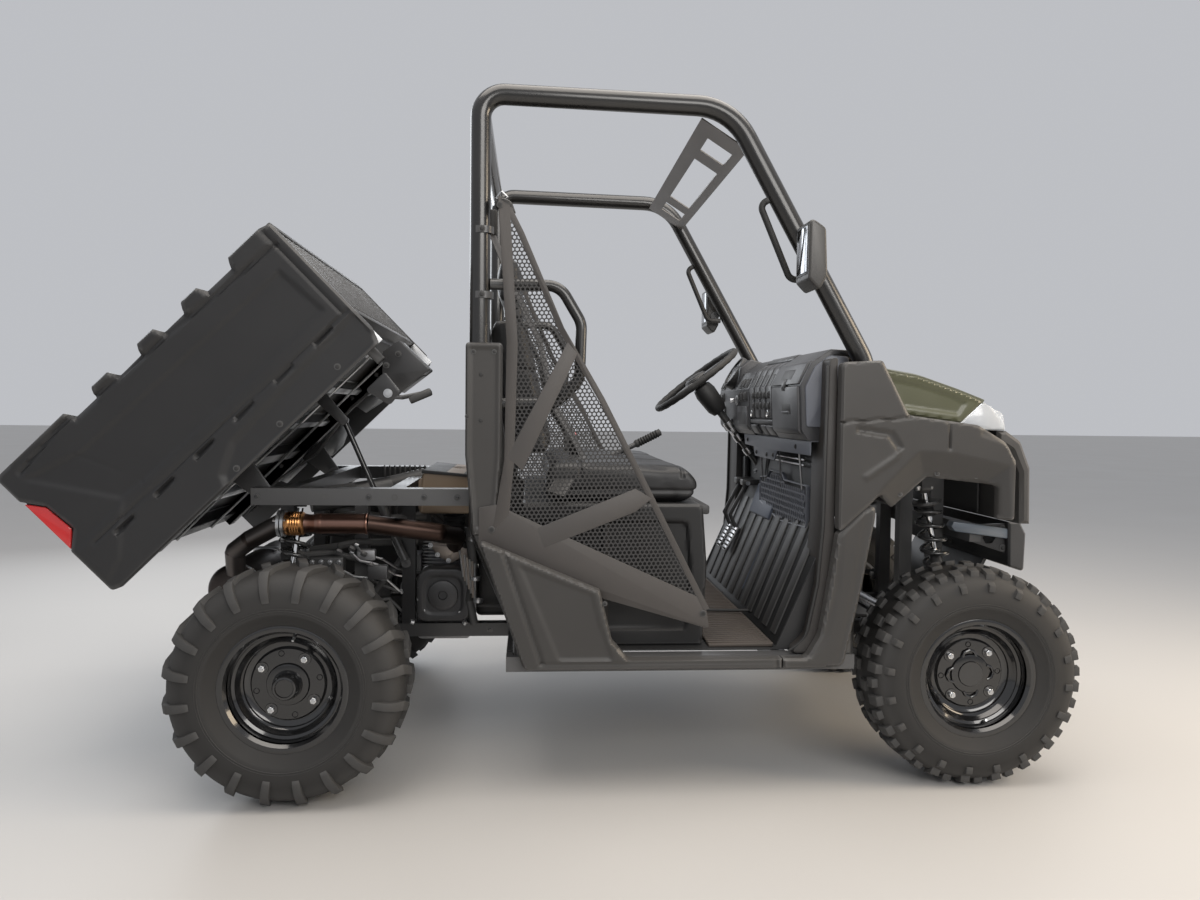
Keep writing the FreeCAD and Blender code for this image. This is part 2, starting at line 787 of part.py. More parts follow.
def handles():
    rows = from_front(
        [(-599.7, 1600.8, 0), (-622.1, 1588.1, 20), (-536, 1390, 25), (-485.1, 1390, 0)]
    )
    node("grab_handles", both_sides("grab_handles", side_tube("handle", rows, s.cab_half, 9)))


def mirrors():
    shell = [(-532, 1545, 10), (-488, 1500, 10), (-482, 1380, 10), (-502, 1330, 10), (-532, 1372, 10)]
    shell = side_panel("mirror_shell", from_front(shell), s.cab_half + 40, s.cab_half + 160, 8)
    arm = from_front([(-504, 1400), (-450, 1385), (-450, 1425), (-504, 1430)])
    arm = side_panel("mirror_arm", arm, tube_outer, s.cab_half + 41)
    node("side_mirrors", both_sides("side_mirrors", fuse("mirror_right", shell, arm)))


# cab
def column_line():
    """The steering column's direction, up towards the driver, and the wheel's centre."""
    angle = math.radians(float(s.column_deg))
    lean = Vector(-math.sin(angle), 0, math.cos(angle))
    x = float(s.wheelbase - s.wheel_back)
    return lean, Vector(x, float(s.wheel_y), float(s.wheel_z))


def column_hole(name):
    lean, centre = column_line()
    return bar(name, centre - lean * float(s.column_length + 10), centre, s.column_r + 6)


def floor_pan():
    top = s.rail_z1 + s.floor_wall
    front = from_front(
        [(-532, s.rail_z1), (-374, 755), (-374, 1100), (-386, 1100), (-386, 758), (-540, top)]
    )
    rows = [(s.sill_x0, s.rail_z1), *front, (s.sill_x0, top)]
    pan = side_panel("floor_blank", rows, -floor_half, floor_half)
    node("floor_pan", cut("floor_pan", pan, column_hole("floor_hole")))


def seats():
    top = s.rail_z1 + s.floor_wall
    seat_half = s.cab_half - 65
    base = [(600, top), (1108, top), (1118, 600), (1104, 772), (600, 772)]
    node("seat_base", side_panel("seat_base", base, -seat_half - 10, seat_half + 10))
    cushion = [(640, 772.3, 20), (1090, 772.3, 30), (1126, 822, 30), (1080, 872, 40), (700, 886, 20)]
    node("seat_cushion", side_panel("seat_cushion", cushion, -seat_half, seat_half, 12, True))
    back = [(554, 890, 30), (690, 890, 20), (595, 1290, 30), (499, 1290, 20)]
    right = side_panel("seat_back", back, 20, seat_half, 12, True)
    node("seat_backs", both_sides("seat_backs", right))
    rest = [(520, 1330, 20), (600, 1330, 25), (585, 1470, 30), (520, 1470, 25)]
    pad = side_panel("headrest_pad", rest, 140, 400, 12, True)
    post = rod("headrest_post", "Z", 550, -270, 1290.3, 8, 50)
    node("headrests", both_sides("headrests", fuse("headrest_right", pad, post)))


def dash():
    rows = [
        (-646, 1122, 15),
        (-568, 1196, 20),
        (-413, 1213, 10),
        (-298, 1178),
        (-298, 1166),
        (-386, 1186),
        (-386, 948),
        (-608, 948),
    ]
    half = s.cab_half - 40
    blank = side_panel("dash_blank", from_front(rows), -half, half, 6, True)
    shelf = from_front([(-637, 950), (-629, 955), (-388, 912), (-388, 904)])
    shelf = side_panel("dash_shelf", shelf, 40, half - 6)
    lean, centre = column_line()
    reach = s.wheel_r + s.wheel_tube_r + 12
    well = bar("dash_well", centre - lean * 28, centre + lean * 300, reach)
    cubby = from_front([(-670, 1085, 12), (-520, 1085, 12), (-520, 1010, 12), (-670, 1010, 12)])
    cubby = side_panel("dash_cubby", cubby, 90, half - 60)
    tools = [well, cubby, column_hole("dash_hole")]
    node("dash", cut("dash", fuse("dash_whole", blank, shelf), *tools))


def steering():
    lean, centre = column_line()
    tube = float(s.wheel_tube_r)
    section = []
    for number in range(8):
        angle = math.pi * (2 * number + 1) / 8
        section.append((math.cos(angle) * tube, s.wheel_r + math.sin(angle) * tube))
    ring = revolved("wheel_ring", section, 0)
    ring.Placement = FreeCAD.Placement(centre, FreeCAD.Rotation(Vector(0, 1, 0), lean))
    pieces = [ring, bar("wheel_boss", centre - lean * 22, centre + lean * 12, 45)]
    for number, turn in enumerate((0, 120, 240)):
        spoke = FreeCAD.Rotation(lean, turn).multVec(Vector(0, 1, 0))
        end = centre + spoke * float(s.wheel_r - 4)
        pieces.append(bar(f"wheel_spoke{number}", centre + spoke * 30, end, 9))
    node("steering_wheel", fuse("steering_wheel", *pieces))
    low = centre - lean * float(s.column_length)
    column = bar("column_tube", low, centre - lean * 22.3, s.column_r)
    stay = from_front([(-414, 870), (-386.3, 870), (-386.3, 930), (-414, 930)])
    stay = side_panel("column_stay", stay, -s.wheel_y - 15, -s.wheel_y + 15)
    node("steering_column", fuse("steering_column", column, stay))


def controls():
    pads = [
        # y, half width
        (300, 30),
        (400, 22),
    ]
    sets = []
    for number, (y, half) in enumerate(pads):
        pad = from_front([(-519, 520), (-511, 517), (-464, 600), (-474, 600)])
        pad = side_panel(f"pedal{number}", pad, -(y + half), -(y - half))
        arm = from_front([(-474, 596), (-464, 596), (-429, 762), (-439, 762)])
        arm = side_panel(f"pedal_arm{number}", arm, -(y + 8), -(y - 8))
        x = s.wheelbase - 454
        slab = box(f"pedal_slab{number}", x, x + 67.7, y - 20, y + 20, 758, 780)
        sets.append(fuse(f"pedal_set{number}", arm, pad, slab))
    node("pedals", group("pedals", *sets))


# body panels
def rockers():
    front = s.wheelbase - 554
    rows = [
        (486, 688, 10),
        (608, 341, 20),
        (front, 341),
        (front, 369),
        (885, 369, 20),
        (841, 420),
        (807, 554, 10),
    ]
    skin = side_panel("rocker_skin", rows, panel_inner, panel_outer, s.panel_edge)
    groove = [(540, 640), (640, 372), (650, 372), (550, 640)]
    groove = side_panel("rocker_groove", groove, panel_outer - 5, panel_outer + 5)
    node("rockers", both_sides("rockers", cut("rocker_right", skin, groove)))


def pillar_panels():
    blade = [
        (-551, 341),
        (-392, 345, 25),
        (-352, 527),
        (-311, 790),
        (-408, 700),
        (-418, 415, 40),
        (-469, 369, 20),
        (-551, 369),
    ]
    right = side_panel("blade", from_front(blade), panel_inner, panel_outer, s.panel_edge - 2)
    node("front_pillar_panels", both_sides("front_pillar_panels", right))
    cover = [
        (449, 1204, 10),
        (545, 1204, 10),
        (545, 908),
        (528, 695),
        (470, 695),
        (449, 908),
    ]
    half = s.cab_half
    shell = side_panel("cover_blank", cover, half - 28, half + 37, 5)
    hollow = box("cover_hollow", 455, 538, -half - 30, -half + 35, 650, 1250)
    notch = box("cover_notch", 530, 560, -half - 18, -half + 35, 1027, 1063)
    tab = box("cover_tab", 470, 498, -half - 31, -tube_outer, 1000, 1040)
    right = fuse("cover_right", cut("cover_shell", shell, hollow, notch), tab)
    node("pillar_covers", both_sides("pillar_covers", right))


def fenders():
    """A front fender skin with its lowered arch field and creases, and the arch liner."""
    skin = [
        (-408, 1165, 14),
        (-298, 1172, 12),
        (-222, 1026),
        (-30, 1002),
        (51, 955, 20),
        (80, 905, 15),
        (74, 700, 12),
        (26, 700, 12),
        (41, 800),
        (-109, 921),
        (-192, 925),
        (-269, 850),
        (-306, 800),
        (-408, 706),
    ]
    skin = side_panel("fender_skin", from_front(skin), panel_inner, panel_outer, s.panel_edge)
    arch_field = [(-420, 690), (-420, 742), (-290, 868), (-200, 962), (-100, 958), (90, 884), (90, 690)]
    crease = [(-363, 994), (-266, 979), (-241, 938), (-248, 935), (-273, 972), (-363, 987)]
    seam = [(-113, 1030), (-109, 1030), (-105, 940), (-109, 940)]
    shapes = [
        # name, outline, depth
        ("arch_field", arch_field, 10),
        ("crease", crease, 5),
        ("seam", seam, 5),
    ]
    tools = [
        side_panel(f"fender_{name}", from_front(rows), panel_outer - depth, panel_outer + 5)
        for name, rows, depth in shapes
    ]
    liner = [
        (-298, 816),
        (-269, 856),
        (-192, 931),
        (-109, 927),
        (39, 808),
        (39, 822),
        (-105, 939),
        (-196, 943),
        (-277, 864),
        (-306, 822),
    ]
    liner = side_panel("fender_liner", from_front(liner), 440, panel_inner + 1)
    x = s.wheelbase - 342
    tab = box("fender_tab", x, x + 30, -panel_inner - 1, -tube_outer, 1005, 1035)
    right = fuse("fender_right", cut("fender_cut", skin, *tools), liner, tab)
    node("fenders", both_sides("fenders", right))


def nose():
    """The front fascia, a bent shell with rows of slots, and its two hood hinge ears."""
    fascia = [
        (76, 985),
        (102, 985),
        (146, 955, 30),
        (176, 880, 30),
        (180, 722),
        (150, 722),
        (146, 868, 20),
        (118, 930, 20),
        (76, 955),
    ]
    half = s.cab_half - 25
    skin = side_panel("fascia_skin", from_front(fascia), -half, half, 10, True)
    wall = s.wheelbase + 140
    slots = []
    for row, z in enumerate((742, 780, 818)):
        for column, y in enumerate((-315, -125, 65, 255)):
            slots.append(box(f"slot{row}_{column}", wall, wall + 50, y, y + 60 + 65, z, z + 22))
    pieces = [cut("fascia_slotted", skin, *slots)]
    pivot = s.wheelbase + s.hood_pivot_ahead
    ear = from_front([(76, 975), (96, 975), (62, 1066), (44, 1060)])
    for side, y0, y1, start in (("right", 364, 378, -378), ("left", -378, -364, 345)):
        pieces.append(side_panel(f"hinge_ear_{side}", ear, y0, y1))
        pieces.append(rod(f"hinge_pin_{side}", "Y", pivot, start, s.hood_pivot_z, s.hood_pin_r, 33))
    node("front_fascia", fuse("front_fascia", *pieces))
    lamp = from_front([(39, 985), (101, 985), (91, 1035, 15), (39, 1060, 5)])
    right = side_panel("headlamp", lamp, 380, half - 4, 6)
    node("headlamps", both_sides("headlamps", right))


def hood():
    top = [
        (-288, 1172),
        (-241, 1158),
        (-155, 1144),
        (-39, 1106),
        (34, 1079),
        (34, 1066),
        (-42, 1092),
        (-158, 1131),
        (-244, 1145),
        (-288, 1158),
    ]
    rise = [
        (-272, 1170),
        (-241, 1165),
        (-155, 1151),
        (-39, 1113),
        (14, 1094),
        (14, 1080),
        (-39, 1100),
        (-155, 1137),
        (-241, 1150),
        (-272, 1160),
    ]
    cheek = [(-288, 1165), (-241, 1150), (-155, 1136), (-39, 1098), (34, 1070), (-28, 1006), (-212, 1030)]
    half = s.cab_half - 25
    pieces = [
        side_panel("hood_deck", from_front(top), -half, half, 4, True),
        side_panel("hood_rise", from_front(rise), -300, 300, 5, True),
    ]
    pivot_x, pivot_z = s.wheelbase + s.hood_pivot_ahead, s.hood_pivot_z
    arm = from_front([(6, 1082), (32, 1072), (56, 1060), (52, 1044), (14, 1056)])
    for side, sign in (("right", 1), ("left", -1)):
        low, high = (half - 14, half) if sign > 0 else (-half, -half + 14)
        pieces.append(side_panel(f"hood_cheek_{side}", from_front(cheek), low, high))
        low, high = (350, 362) if sign > 0 else (-362, -350)
        web = side_panel(f"hood_web_{side}", arm, low, high)
        eye = rod(f"hood_eye_{side}", "Y", pivot_x, -high, pivot_z, 12, high - low)
        bore_r = s.hood_pin_r + s.running_gap
        hole = rod(f"hood_bore_{side}", "Y", pivot_x, -high - 5, pivot_z, bore_r, 30)
        pieces.append(cut(f"hood_hinge_{side}", fuse(f"hood_arm_{side}", web, eye), hole))
    node("hood", fuse("hood", *pieces))


def bumper():
    """The front bar on its two side plates, each with a six-sided hole, and the skid plate."""
    bar_rows = [(186, 712), (222, 712, 8), (241, 676), (238, 563, 8), (189, 578, 8)]
    plate = from_front([(77, 652), (191, 615), (191, 705), (77, 699)])
    hexagon = [
        (137 + 20 * math.cos(math.pi * number / 3), 662 + 20 * math.sin(math.pi * number / 3))
        for number in range(6)
    ]
    pieces = [
        side_panel("bumper_bar", from_front(bar_rows), -430, 430, 6, True),
        box("bumper_cross", frame_front, frame_front + 35, -410, 410, 650, 700),
        side_panel("skid_plate", from_front([(76, 331), (84, 331), (212, 580), (203, 585)]), -260, 260),
    ]
    for side, low in (("right", 395), ("left", -409)):
        blank = side_panel(f"bumper_plate_{side}", plate, low, low + 14)
        hole = side_panel(f"bumper_hole_{side}", from_front(hexagon), low - 5, low + 19)
        pieces.append(cut(f"bumper_side_{side}", blank, hole))
    node("front_bumper", fuse("front_bumper", *pieces))


# engine and drive
def engine():
    """Crankcase, finned cylinder and the round-cornered belt drive cover beside them."""
    half = s.rail_y0
    case = box("crankcase", 273, 437, -half, half, 310, 520)
    barrel = box("cylinder", 290, 420, -110, 110, 515, 623)
    pieces = [case, barrel]
    for number in range(6):
        z = 530 + number * s.fin_pitch
        pieces.append(box(f"fin{number}", 278, 432, -126, 126, z, z + 6))
    cover = [(276, 380, 30), (276, 545, 50), (440, 545, 50), (440, 380, 30)]
    pieces.append(side_panel("belt_cover", cover, half - 5, half + 62, 10))
    pieces.append(rod("belt_cap", "Y", 358, -half - 70, 462, 48, 20))
    pieces.append(rod("clutch_cover", "Y", 355, half - 5, 452, 70, 45))
    node("engine", fuse("engine", *pieces))
    duct = rod("air_duct", "Z", 370, 0, 623, 35, 95)
    case = [(290, 715, 10), (445, 715, 10), (445, 835, 25), (300, 850, 25)]
    pieces = [duct, side_panel("air_case", case, -100, 310, 8, True)]
    for number in range(5):
        y = -270 + 80 * number
        pieces.append(box(f"air_rib{number}", 286, 449, y, y + 6, 730, 815))
    node("airbox", fuse("airbox", *pieces))


def exhaust():
    """From the cylinder out to the side, back along the bed rail and down into the muffler."""
    y, z = -420, 695
    route = [
        # x, y, z, bend radius
        (380, -126, 585, 0),
        (380, -260, 585, 50),
        (380, y, z, 70),
        (-214, y, z, 70),
        (-214, -330, 575.3, 0),
    ]
    pipe = bent_pipe("exhaust_run", route, s.exhaust_r)
    bulge = rod("exhaust_bulge", "X", -60, y, z, s.exhaust_r + 12, 90)
    flange = rod("exhaust_flange", "X", -84, y, z, s.exhaust_r + 14, 10)
    muffler = rod("muffler_shell", "Y", -225, -380, 500, 75, 520)
    pipes = fuse("exhaust_pipe", pipe, bulge, flange)
    node("exhaust", group("exhaust", pipes, muffler))


def drive():
    rear = box("rear_case", s.frame_back_x + s.beam, 70, -105, 105, 240, 390)
    front = box("front_case", s.wheelbase - 60, frame_front - s.beam, -95, 95, 245, 375)
    back = s.wheelbase - s.steer_arm
    housing = box("rack_block", back - 15, back + 15, -100, 100, s.rail_z1, s.rack_z + 20)
    bore = rod("rack_bore", "Y", back, -110, s.rack_z, s.rack_r + s.running_gap, 220)
    node("gear_cases", group("gear_cases", rear, front, cut("rack_housing", housing, bore)))
    ends = [
        # end, x, z, inner end, outer end
        ("rear", 0, s.rear_tyre_r, 105, 445),
        ("front", s.wheelbase, s.front_tyre_r, 95, 436),
    ]
    shafts = [
        rod(f"{end}_shaft", "Y", x, -y1, z, 14, y1 - y0)
        for end, x, z, y0, y1 in ends
    ]
    node("half_shafts", both_sides("half_shafts", group("half_shafts_right", *shafts)))


def carriers():
    block = box("carrier_block", -40, 40, -495, -445.3, 230, 400)
    reach = s.rear_tyre_y + s.rear_rim_half - s.disc_recess - s.disc_wall - 15
    stub = rod("carrier_stub", "Y", 0, -reach, s.rear_tyre_r, s.stub_r, 140)
    node("rear_carriers", both_sides("rear_carriers", fuse("carrier_right", block, stub)))


def wishbone(name, legs, radius, slab, *more):
    """Two round legs that meet at the wheel, cut off flat at the frame's side."""
    bars = [bar(f"{name}{number}", start, end, radius) for number, (start, end) in enumerate(legs)]
    return common(f"{name}_right", fuse(f"{name}_whole", *bars, *more), slab)


def suspension_arms():
    side = -s.rail_y1 - s.seat_gap
    slab = box("rear_slab", -300, 300, -445, side, 200, 600)
    pad = box("rear_low_pad", -99, -40, -418, -386, 268, 290)
    low = [((x, -200, 350), (x * 0.2, -460, 260)) for x in (-110, 110)]
    high = [((x, -200, 420), (x * 0.2, -460, 385)) for x in (-110, 106)]
    arms = [wishbone("rear_low", low, 14, slab, pad), wishbone("rear_up", high, 12, slab)]
    x = float(s.wheelbase)
    y = float(s.kingpin_y)
    slab = box("front_slab", x - 300, x + 300, -600, side, 200, 600)
    low_z = float(s.axle_low) - 32
    high_z = float(s.axle_high) + 14
    low = [((x + dx, -200, 345), (x + dx * 0.1, -y, low_z)) for dx in (-120, 60)]
    high = [((x + dx, -200, 440), (x + dx * 0.1, -y, high_z)) for dx in (-60, 60)]
    low_eye = rod("front_low_eye", "Z", x, -y, low_z - 12, 20, 43.7)
    high_eye = rod("front_high_eye", "Z", x, -y, float(s.axle_high) + s.seat_gap, 20, 25)
    arms.append(wishbone("front_low", low, 9, slab, low_eye))
    arms.append(wishbone("front_up", high, 9, slab, high_eye))
    node("suspension_arms", both_sides("suspension_arms", group("arms_right", *arms)))


def shocks():
    """A damper rod and body with the turns of its coil spring round it, one per corner."""
    x = float(s.wheelbase)
    rows = [
        # end, foot, head, lowest and highest point, where the spring starts along it
        ("rear", (-85, -402, 285), (-42, -330, 770), 290.3, 761.7, 0.32),
        ("front", (x + 24, -375, 425), (x - 54, -372, 820), 436, 814.7, 0.15),
    ]
    shocks = []
    turns = 7
    for end, foot, head, z0, z1, start in rows:
        low = Vector(*foot)
        run = Vector(*head) - low
        pitch = run.Length * (0.9 - start) / turns
        coil = [(0, 18)]
        for number in range(turns):
            coil += [(pitch * (number + 0.1), 26), (pitch * (number + 0.5), 34), (pitch * (number + 0.9), 26)]
        coil += [(pitch * turns, 18), (pitch * turns, 0), (0, 0)]
        spring = revolved(f"{end}_spring", coil, 0)
        spring.Placement = FreeCAD.Placement(low + run * start, FreeCAD.Rotation(Vector(0, 1, 0), run))
        damper = bar(f"{end}_shock_rod", foot, head, 8)
        keep = box(f"{end}_shock_keep", -400, x + 600, -600, 0, z0, z1)
        shocks.append(common(f"{end}_shock_right", fuse(f"{end}_shock", damper, spring), keep))
    node("shocks", both_sides("shocks", group("shocks_right", *shocks)))


def knuckles():
    x = s.wheelbase
    y = s.kingpin_y
    block = box("knuckle_block", x - 30, x + 30, -(y + 30), -(y - 15), s.axle_low, s.axle_high)
    stub_end = s.front_tyre_y + s.front_rim_half - s.disc_recess - s.disc_wall - 15
    stub = rod("knuckle_stub", "Y", x, -stub_end, s.front_tyre_r, s.stub_r, stub_end - y)
    arm = box("knuckle_arm", x - s.steer_arm - 14, x, -(y - 14), -(y - 45), 328, 346)
    pair("knuckle", fuse("knuckle_whole", block, stub, arm))
    back = x - s.steer_arm
    rack = rod("rack_tube", "Y", back, -165, s.rack_z, s.rack_r, 330)
    ties = []
    for side in (-1, 1):
        end = (s.kingpin_y - 15) * side
        ties.append(bar(f"tie{side}", (back, 160 * side, s.rack_z), (back, end, 362), 8))
        ties.append(rod(f"tie_eye{side}", "Z", back, end, 352, 14, 20))
    node("steering_rack", fuse("steering_rack", rack, *ties))


# cargo bed
def bed_relief():
    """Tools that shape the bed's right side: name, depth and outline, bed lowered."""
    top = s.bed_top_z
    rows = [
        ("rail_groove", 5, [(413, 1198), (-311, 1239), (-463, 1223), (-463, 1231), (-311, 1248), (413, 1206)]),
        ("field", 6, [(366, 1145, 8), (376, 1000, 8), (-250, 1000, 8), (-300, 1150, 8)]),
        ("fan", 5, [(-472, 1200), (-462, 1200), (-330, 1000), (-342, 1000)]),
        ("low_groove", 5, [(421, 952), (421, 962), (-473, 968), (-473, 958)]),
        ("skirt", 8, [(450, 941), (-28, 916), (-110, 873), (-120, 830), (450, 830)]),
    ]
    for number in range(4):
        x = 240.0 - 156 * number
        shape = [(x - 47, top + 5), (x + 47, top + 5), (x + 30, top - 24), (x - 30, top - 24)]
        rows.append((f"notch{number}", 34, shape))
    return rows


def bed_shell():
    under = s.bed_floor_z - s.bed_floor_wall
    back = s.bed_x0 - 12
    outer = [
        (back + 20, s.bed_skirt_z + 2),
        (s.bed_x1 - 15, s.bed_skirt_z),
        (s.bed_x1, s.bed_skirt_z + 40),
        (s.bed_x1, s.bed_top_z - 8, 8),
        (s.bed_x1 - 30, s.bed_top_z, 8),
        (back, s.bed_top_z, 15),
        (back, s.bed_skirt_z + 93),
    ]
    half = s.bed_half
    blank = side_panel("bed_blank", outer, -half, half, 6, True)
    front = s.bed_x1 - s.headboard_wall
    skirt = half - s.bed_skirt_wall
    tools = [
        box("bed_inside", -560, front, -bed_inner, bed_inner, s.bed_floor_z, s.bed_top_z + 140),
        box("bed_below", -560, s.bed_x1 + 50, -skirt, skirt, 700, under),
    ]
    for name, depth, rows in bed_relief():
        tools.append(side_panel(f"bed_{name}_right", rows, half - depth, half + 5))
        tools.append(side_panel(f"bed_{name}_left", rows, -half - 5, -half + depth))
    for number in range(9):
        y = 110 * (number - 4)
        tools.append(box(f"head_groove{number}", s.bed_x1 - 9, s.bed_x1 + 5, y - 20, y + 20, 985, 1225))
    for number, y in enumerate((-440, -330, -220, 220, 330, 440)):
        z = s.bed_floor_z
        tools.append(box(f"floor_groove{number}", -440, 340, y - 22, y + 22, z - 7, z + 5))
    gate_x, gate_z = gate_axis()
    bore_r = s.gate_pin_r + s.running_gap
    for side, y in (("right", -bed_inner - 15), ("left", bed_inner - 15)):
        tools.append(rod(f"gate_hole_{side}", "Y", gate_x, y, gate_z, bore_r, 30))
    node("bed_tub", cut("bed_tub", blank, *tools), bed=True)
    lamp = box("tail_lamp", back - 10, back - s.seat_gap, -half + 12, -half + 75, 995, 1165)
    node("tail_lamps", both_sides("tail_lamps", lamp), bed=True)


def gate_axis():
    x = s.bed_x0 - 12 + s.gate_wall / 2
    z = s.bed_floor_z + s.gate_low_gap + s.gate_wall / 2
    return x, z


def bed_frame():
    """Hinge ears, beams, joists, stops and the lug for the strut, under the bed's floor."""
    under = s.bed_floor_z - s.bed_floor_wall
    pieces = []
    ear = [(-160, under), (-60, under), (s.pivot_x + 22, s.pivot_z), (s.pivot_x - 22, s.pivot_z)]
    for side, sign in (("right", 1), ("left", -1)):
        near, far = s.bed_rail_y0 - 22, s.bed_rail_y0 - 10
        low, high = (near, far) if sign > 0 else (-far, -near)
        web = side_panel(f"ear_web_{side}", ear, low, high)
        eye = rod(f"ear_eye_{side}", "Y", s.pivot_x, -high, s.pivot_z, 22, high - low)
        bore_r = s.pivot_r + s.running_gap
        hole = rod(f"ear_hole_{side}", "Y", s.pivot_x, -high - 5, s.pivot_z, bore_r, 30)
        pieces.append(cut(f"ear_cut_{side}", fuse(f"ear_{side}", web, eye), hole))
    for side, y0 in (("right", -350), ("left", 300)):
        pieces.append(box(f"bed_beam_{side}", -480, 400, y0, y0 + 50, 890, under))
    reach = s.bed_half - 60
    for number, x in enumerate((-470, -150, 360)):
        pieces.append(box(f"bed_joist{number}", x, x + 40, -reach, reach, 905, under))
    pieces.append(side_panel("rod_lug", [(140, 920), (180, 920), (172, 795), (146, 795)], 256.3, 267))
    pieces.append(box("rod_web", 140, 180, -310, -256.3, 905, under))
    for side, y in (("right", -s.bed_rail_y0 - 37), ("left", s.bed_rail_y0 + 13)):
        pieces.append(box(f"bed_stop_{side}", 370, 400, y, y + 24, s.bed_rail_z1 + 7, 910))
    node("bed_frame", fuse("bed_frame", *pieces), bed=True)


def tailgate():
    """The gate with its lowered outer field and handle pocket, on two pins."""
    x = s.bed_x0 - 12
    half = bed_inner - s.gate_gap
    low = s.bed_floor_z + s.gate_low_gap
    panel = box("gate_panel", x, x + s.gate_wall, -half, half, low, s.bed_top_z - 8)
    field = box("gate_field", x - 5, x + 7, -half + 60, half - 60, low + 50, s.bed_top_z - 90)
    pocket = box("gate_pocket", x - 5, x + 16, -90, 90, s.bed_top_z - 72, s.bed_top_z - 34)
    gate_x, gate_z = gate_axis()
    reach = bed_inner + 12
    pins = rod("gate_pins", "Y", gate_x, -reach, gate_z, s.gate_pin_r, reach * 2)
    node("tailgate", fuse("gate", cut("gate_cut", panel, field, pocket), pins), bed=True)


def bed_strut():
    """A gas strut from the frame to the bed's lug, as long as the raised bed asks."""
    foot = Vector(247, -246, 560)
    pivot = Vector(float(s.pivot_x), 0, float(s.pivot_z))
    eye = Vector(158, -246, 808) - pivot
    turn = FreeCAD.Rotation(Vector(0, 1, 0), -float(s.tip_deg))
    head = pivot + turn.multVec(eye)
    along = (head - foot).normalize()
    tube = bar("strut_tube", foot + along * 10, foot + along * 235, 14)
    bore = bar("strut_bore", foot + along * 15, foot + along * 240, 11)
    eye_low = rod("strut_foot", "Y", foot.x, foot.y - 8, foot.z, 14, 16)
    hole = rod("strut_foot_hole", "Y", foot.x, foot.y - 10, foot.z, 6 + s.running_gap, 20)
    cylinder = cut("strut_cylinder", fuse("strut_body", tube, eye_low), bore, hole)
    node("strut_cylinder", cylinder)
    reach = (head - foot).Length
    shaft = bar("strut_shaft", foot + along * (reach - 246), foot + along * (reach - 8), 8)
    eye_high = rod("strut_head", "Y", head.x, head.y - 10, head.z, 12, 20)
    node("strut_rod", fuse("strut_rod", shaft, eye_high))


def nets():
    rows = [
        (530, 1587, 10),
        (590, 1496),
        (697, 1245),
        (807, 1058),
        (920, 841),
        (1095, 500),
        (1080, 470, 10),
        (520, 700, 10),
        (550, 893),
        (556, 1207),
    ]
    net = side_panel("net", rows, panel_inner + 2.3, panel_inner + 4.3)
    node("side_nets", both_sides("side_nets", net))


wheels()
main_frame()
frame_posts()
bed_rails()
cab_frame()
header_plate()
hip_bars()
handles()
mirrors()
floor_pan()
seats()
dash()
steering()
controls()
rockers()
pillar_panels()
fenders()
nose()
hood()
bumper()
engine()
exhaust()
drive()
carriers()
suspension_arms()
shocks()
knuckles()
bed_shell()
bed_frame()
tailgate()
bed_strut()
nets()
document.recompute()

failed = [
    (item.Name, item.getStatusString())
    for item in document.Objects
    if {"Invalid", "Error"} & set(item.State)
]
if failed:
    raise SystemExit(f"failed: {failed}")
os.makedirs("parts", exist_ok=True)
for name, item in NODES.items():
    shape = item.Shape
    if shape.isNull() or not shape.isValid() or not shape.Solids:
        raise SystemExit(f"{name} has no valid solid")
    shape.exportStep(f"parts/{name}.step")
print(len(NODES), "nodes")
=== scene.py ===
import bmesh
import bpy
import json
import numpy as np
from math import cos, exp, pi, radians, sin, tan
from mathutils import Matrix, Vector


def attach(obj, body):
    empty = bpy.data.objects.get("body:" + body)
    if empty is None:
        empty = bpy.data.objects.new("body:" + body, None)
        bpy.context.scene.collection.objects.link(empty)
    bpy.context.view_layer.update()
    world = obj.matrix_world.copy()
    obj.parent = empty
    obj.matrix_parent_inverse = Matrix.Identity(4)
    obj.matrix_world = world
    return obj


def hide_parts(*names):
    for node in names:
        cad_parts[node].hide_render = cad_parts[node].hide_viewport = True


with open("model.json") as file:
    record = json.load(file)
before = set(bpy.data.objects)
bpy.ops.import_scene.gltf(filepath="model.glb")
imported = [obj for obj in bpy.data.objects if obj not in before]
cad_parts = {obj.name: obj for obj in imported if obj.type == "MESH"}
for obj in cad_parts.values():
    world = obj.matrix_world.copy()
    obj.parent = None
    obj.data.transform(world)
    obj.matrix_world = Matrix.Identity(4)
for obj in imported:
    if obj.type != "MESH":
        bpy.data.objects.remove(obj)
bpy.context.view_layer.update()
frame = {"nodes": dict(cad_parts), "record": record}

scene = bpy.context.scene
scene.view_settings.view_transform = "Standard"
print("frame loaded", len(frame["nodes"]), "nodes")

# the vehicle's sizes: mm from the rear axle along x, from the centreline along y, from the ground along z
vehicle = {"midX": 714, "pivotX": -112, "pivotZ": 782, "tipDeg": 44.5, "wheelbase": 1854}
toFront, toBack, toLeft, toRight, upright = (1, 0, 0), (-1, 0, 0), (0, 1, 0), (0, -1, 0), (0, 0, 1)


def put(x, y, z, bed=False):
    if bed:
        turn = -radians(vehicle["tipDeg"])
        dx, dz = x - vehicle["pivotX"], z - vehicle["pivotZ"]
        x = vehicle["pivotX"] + dx * cos(turn) + dz * sin(turn)
        z = vehicle["pivotZ"] - dx * sin(turn) + dz * cos(turn)
    return Vector(((x - vehicle["midX"]) / 1000, y / 1000, z / 1000))


def shown(name, data):
    item = bpy.data.objects.new(name, data)
    scene.collection.objects.link(item)
    return item


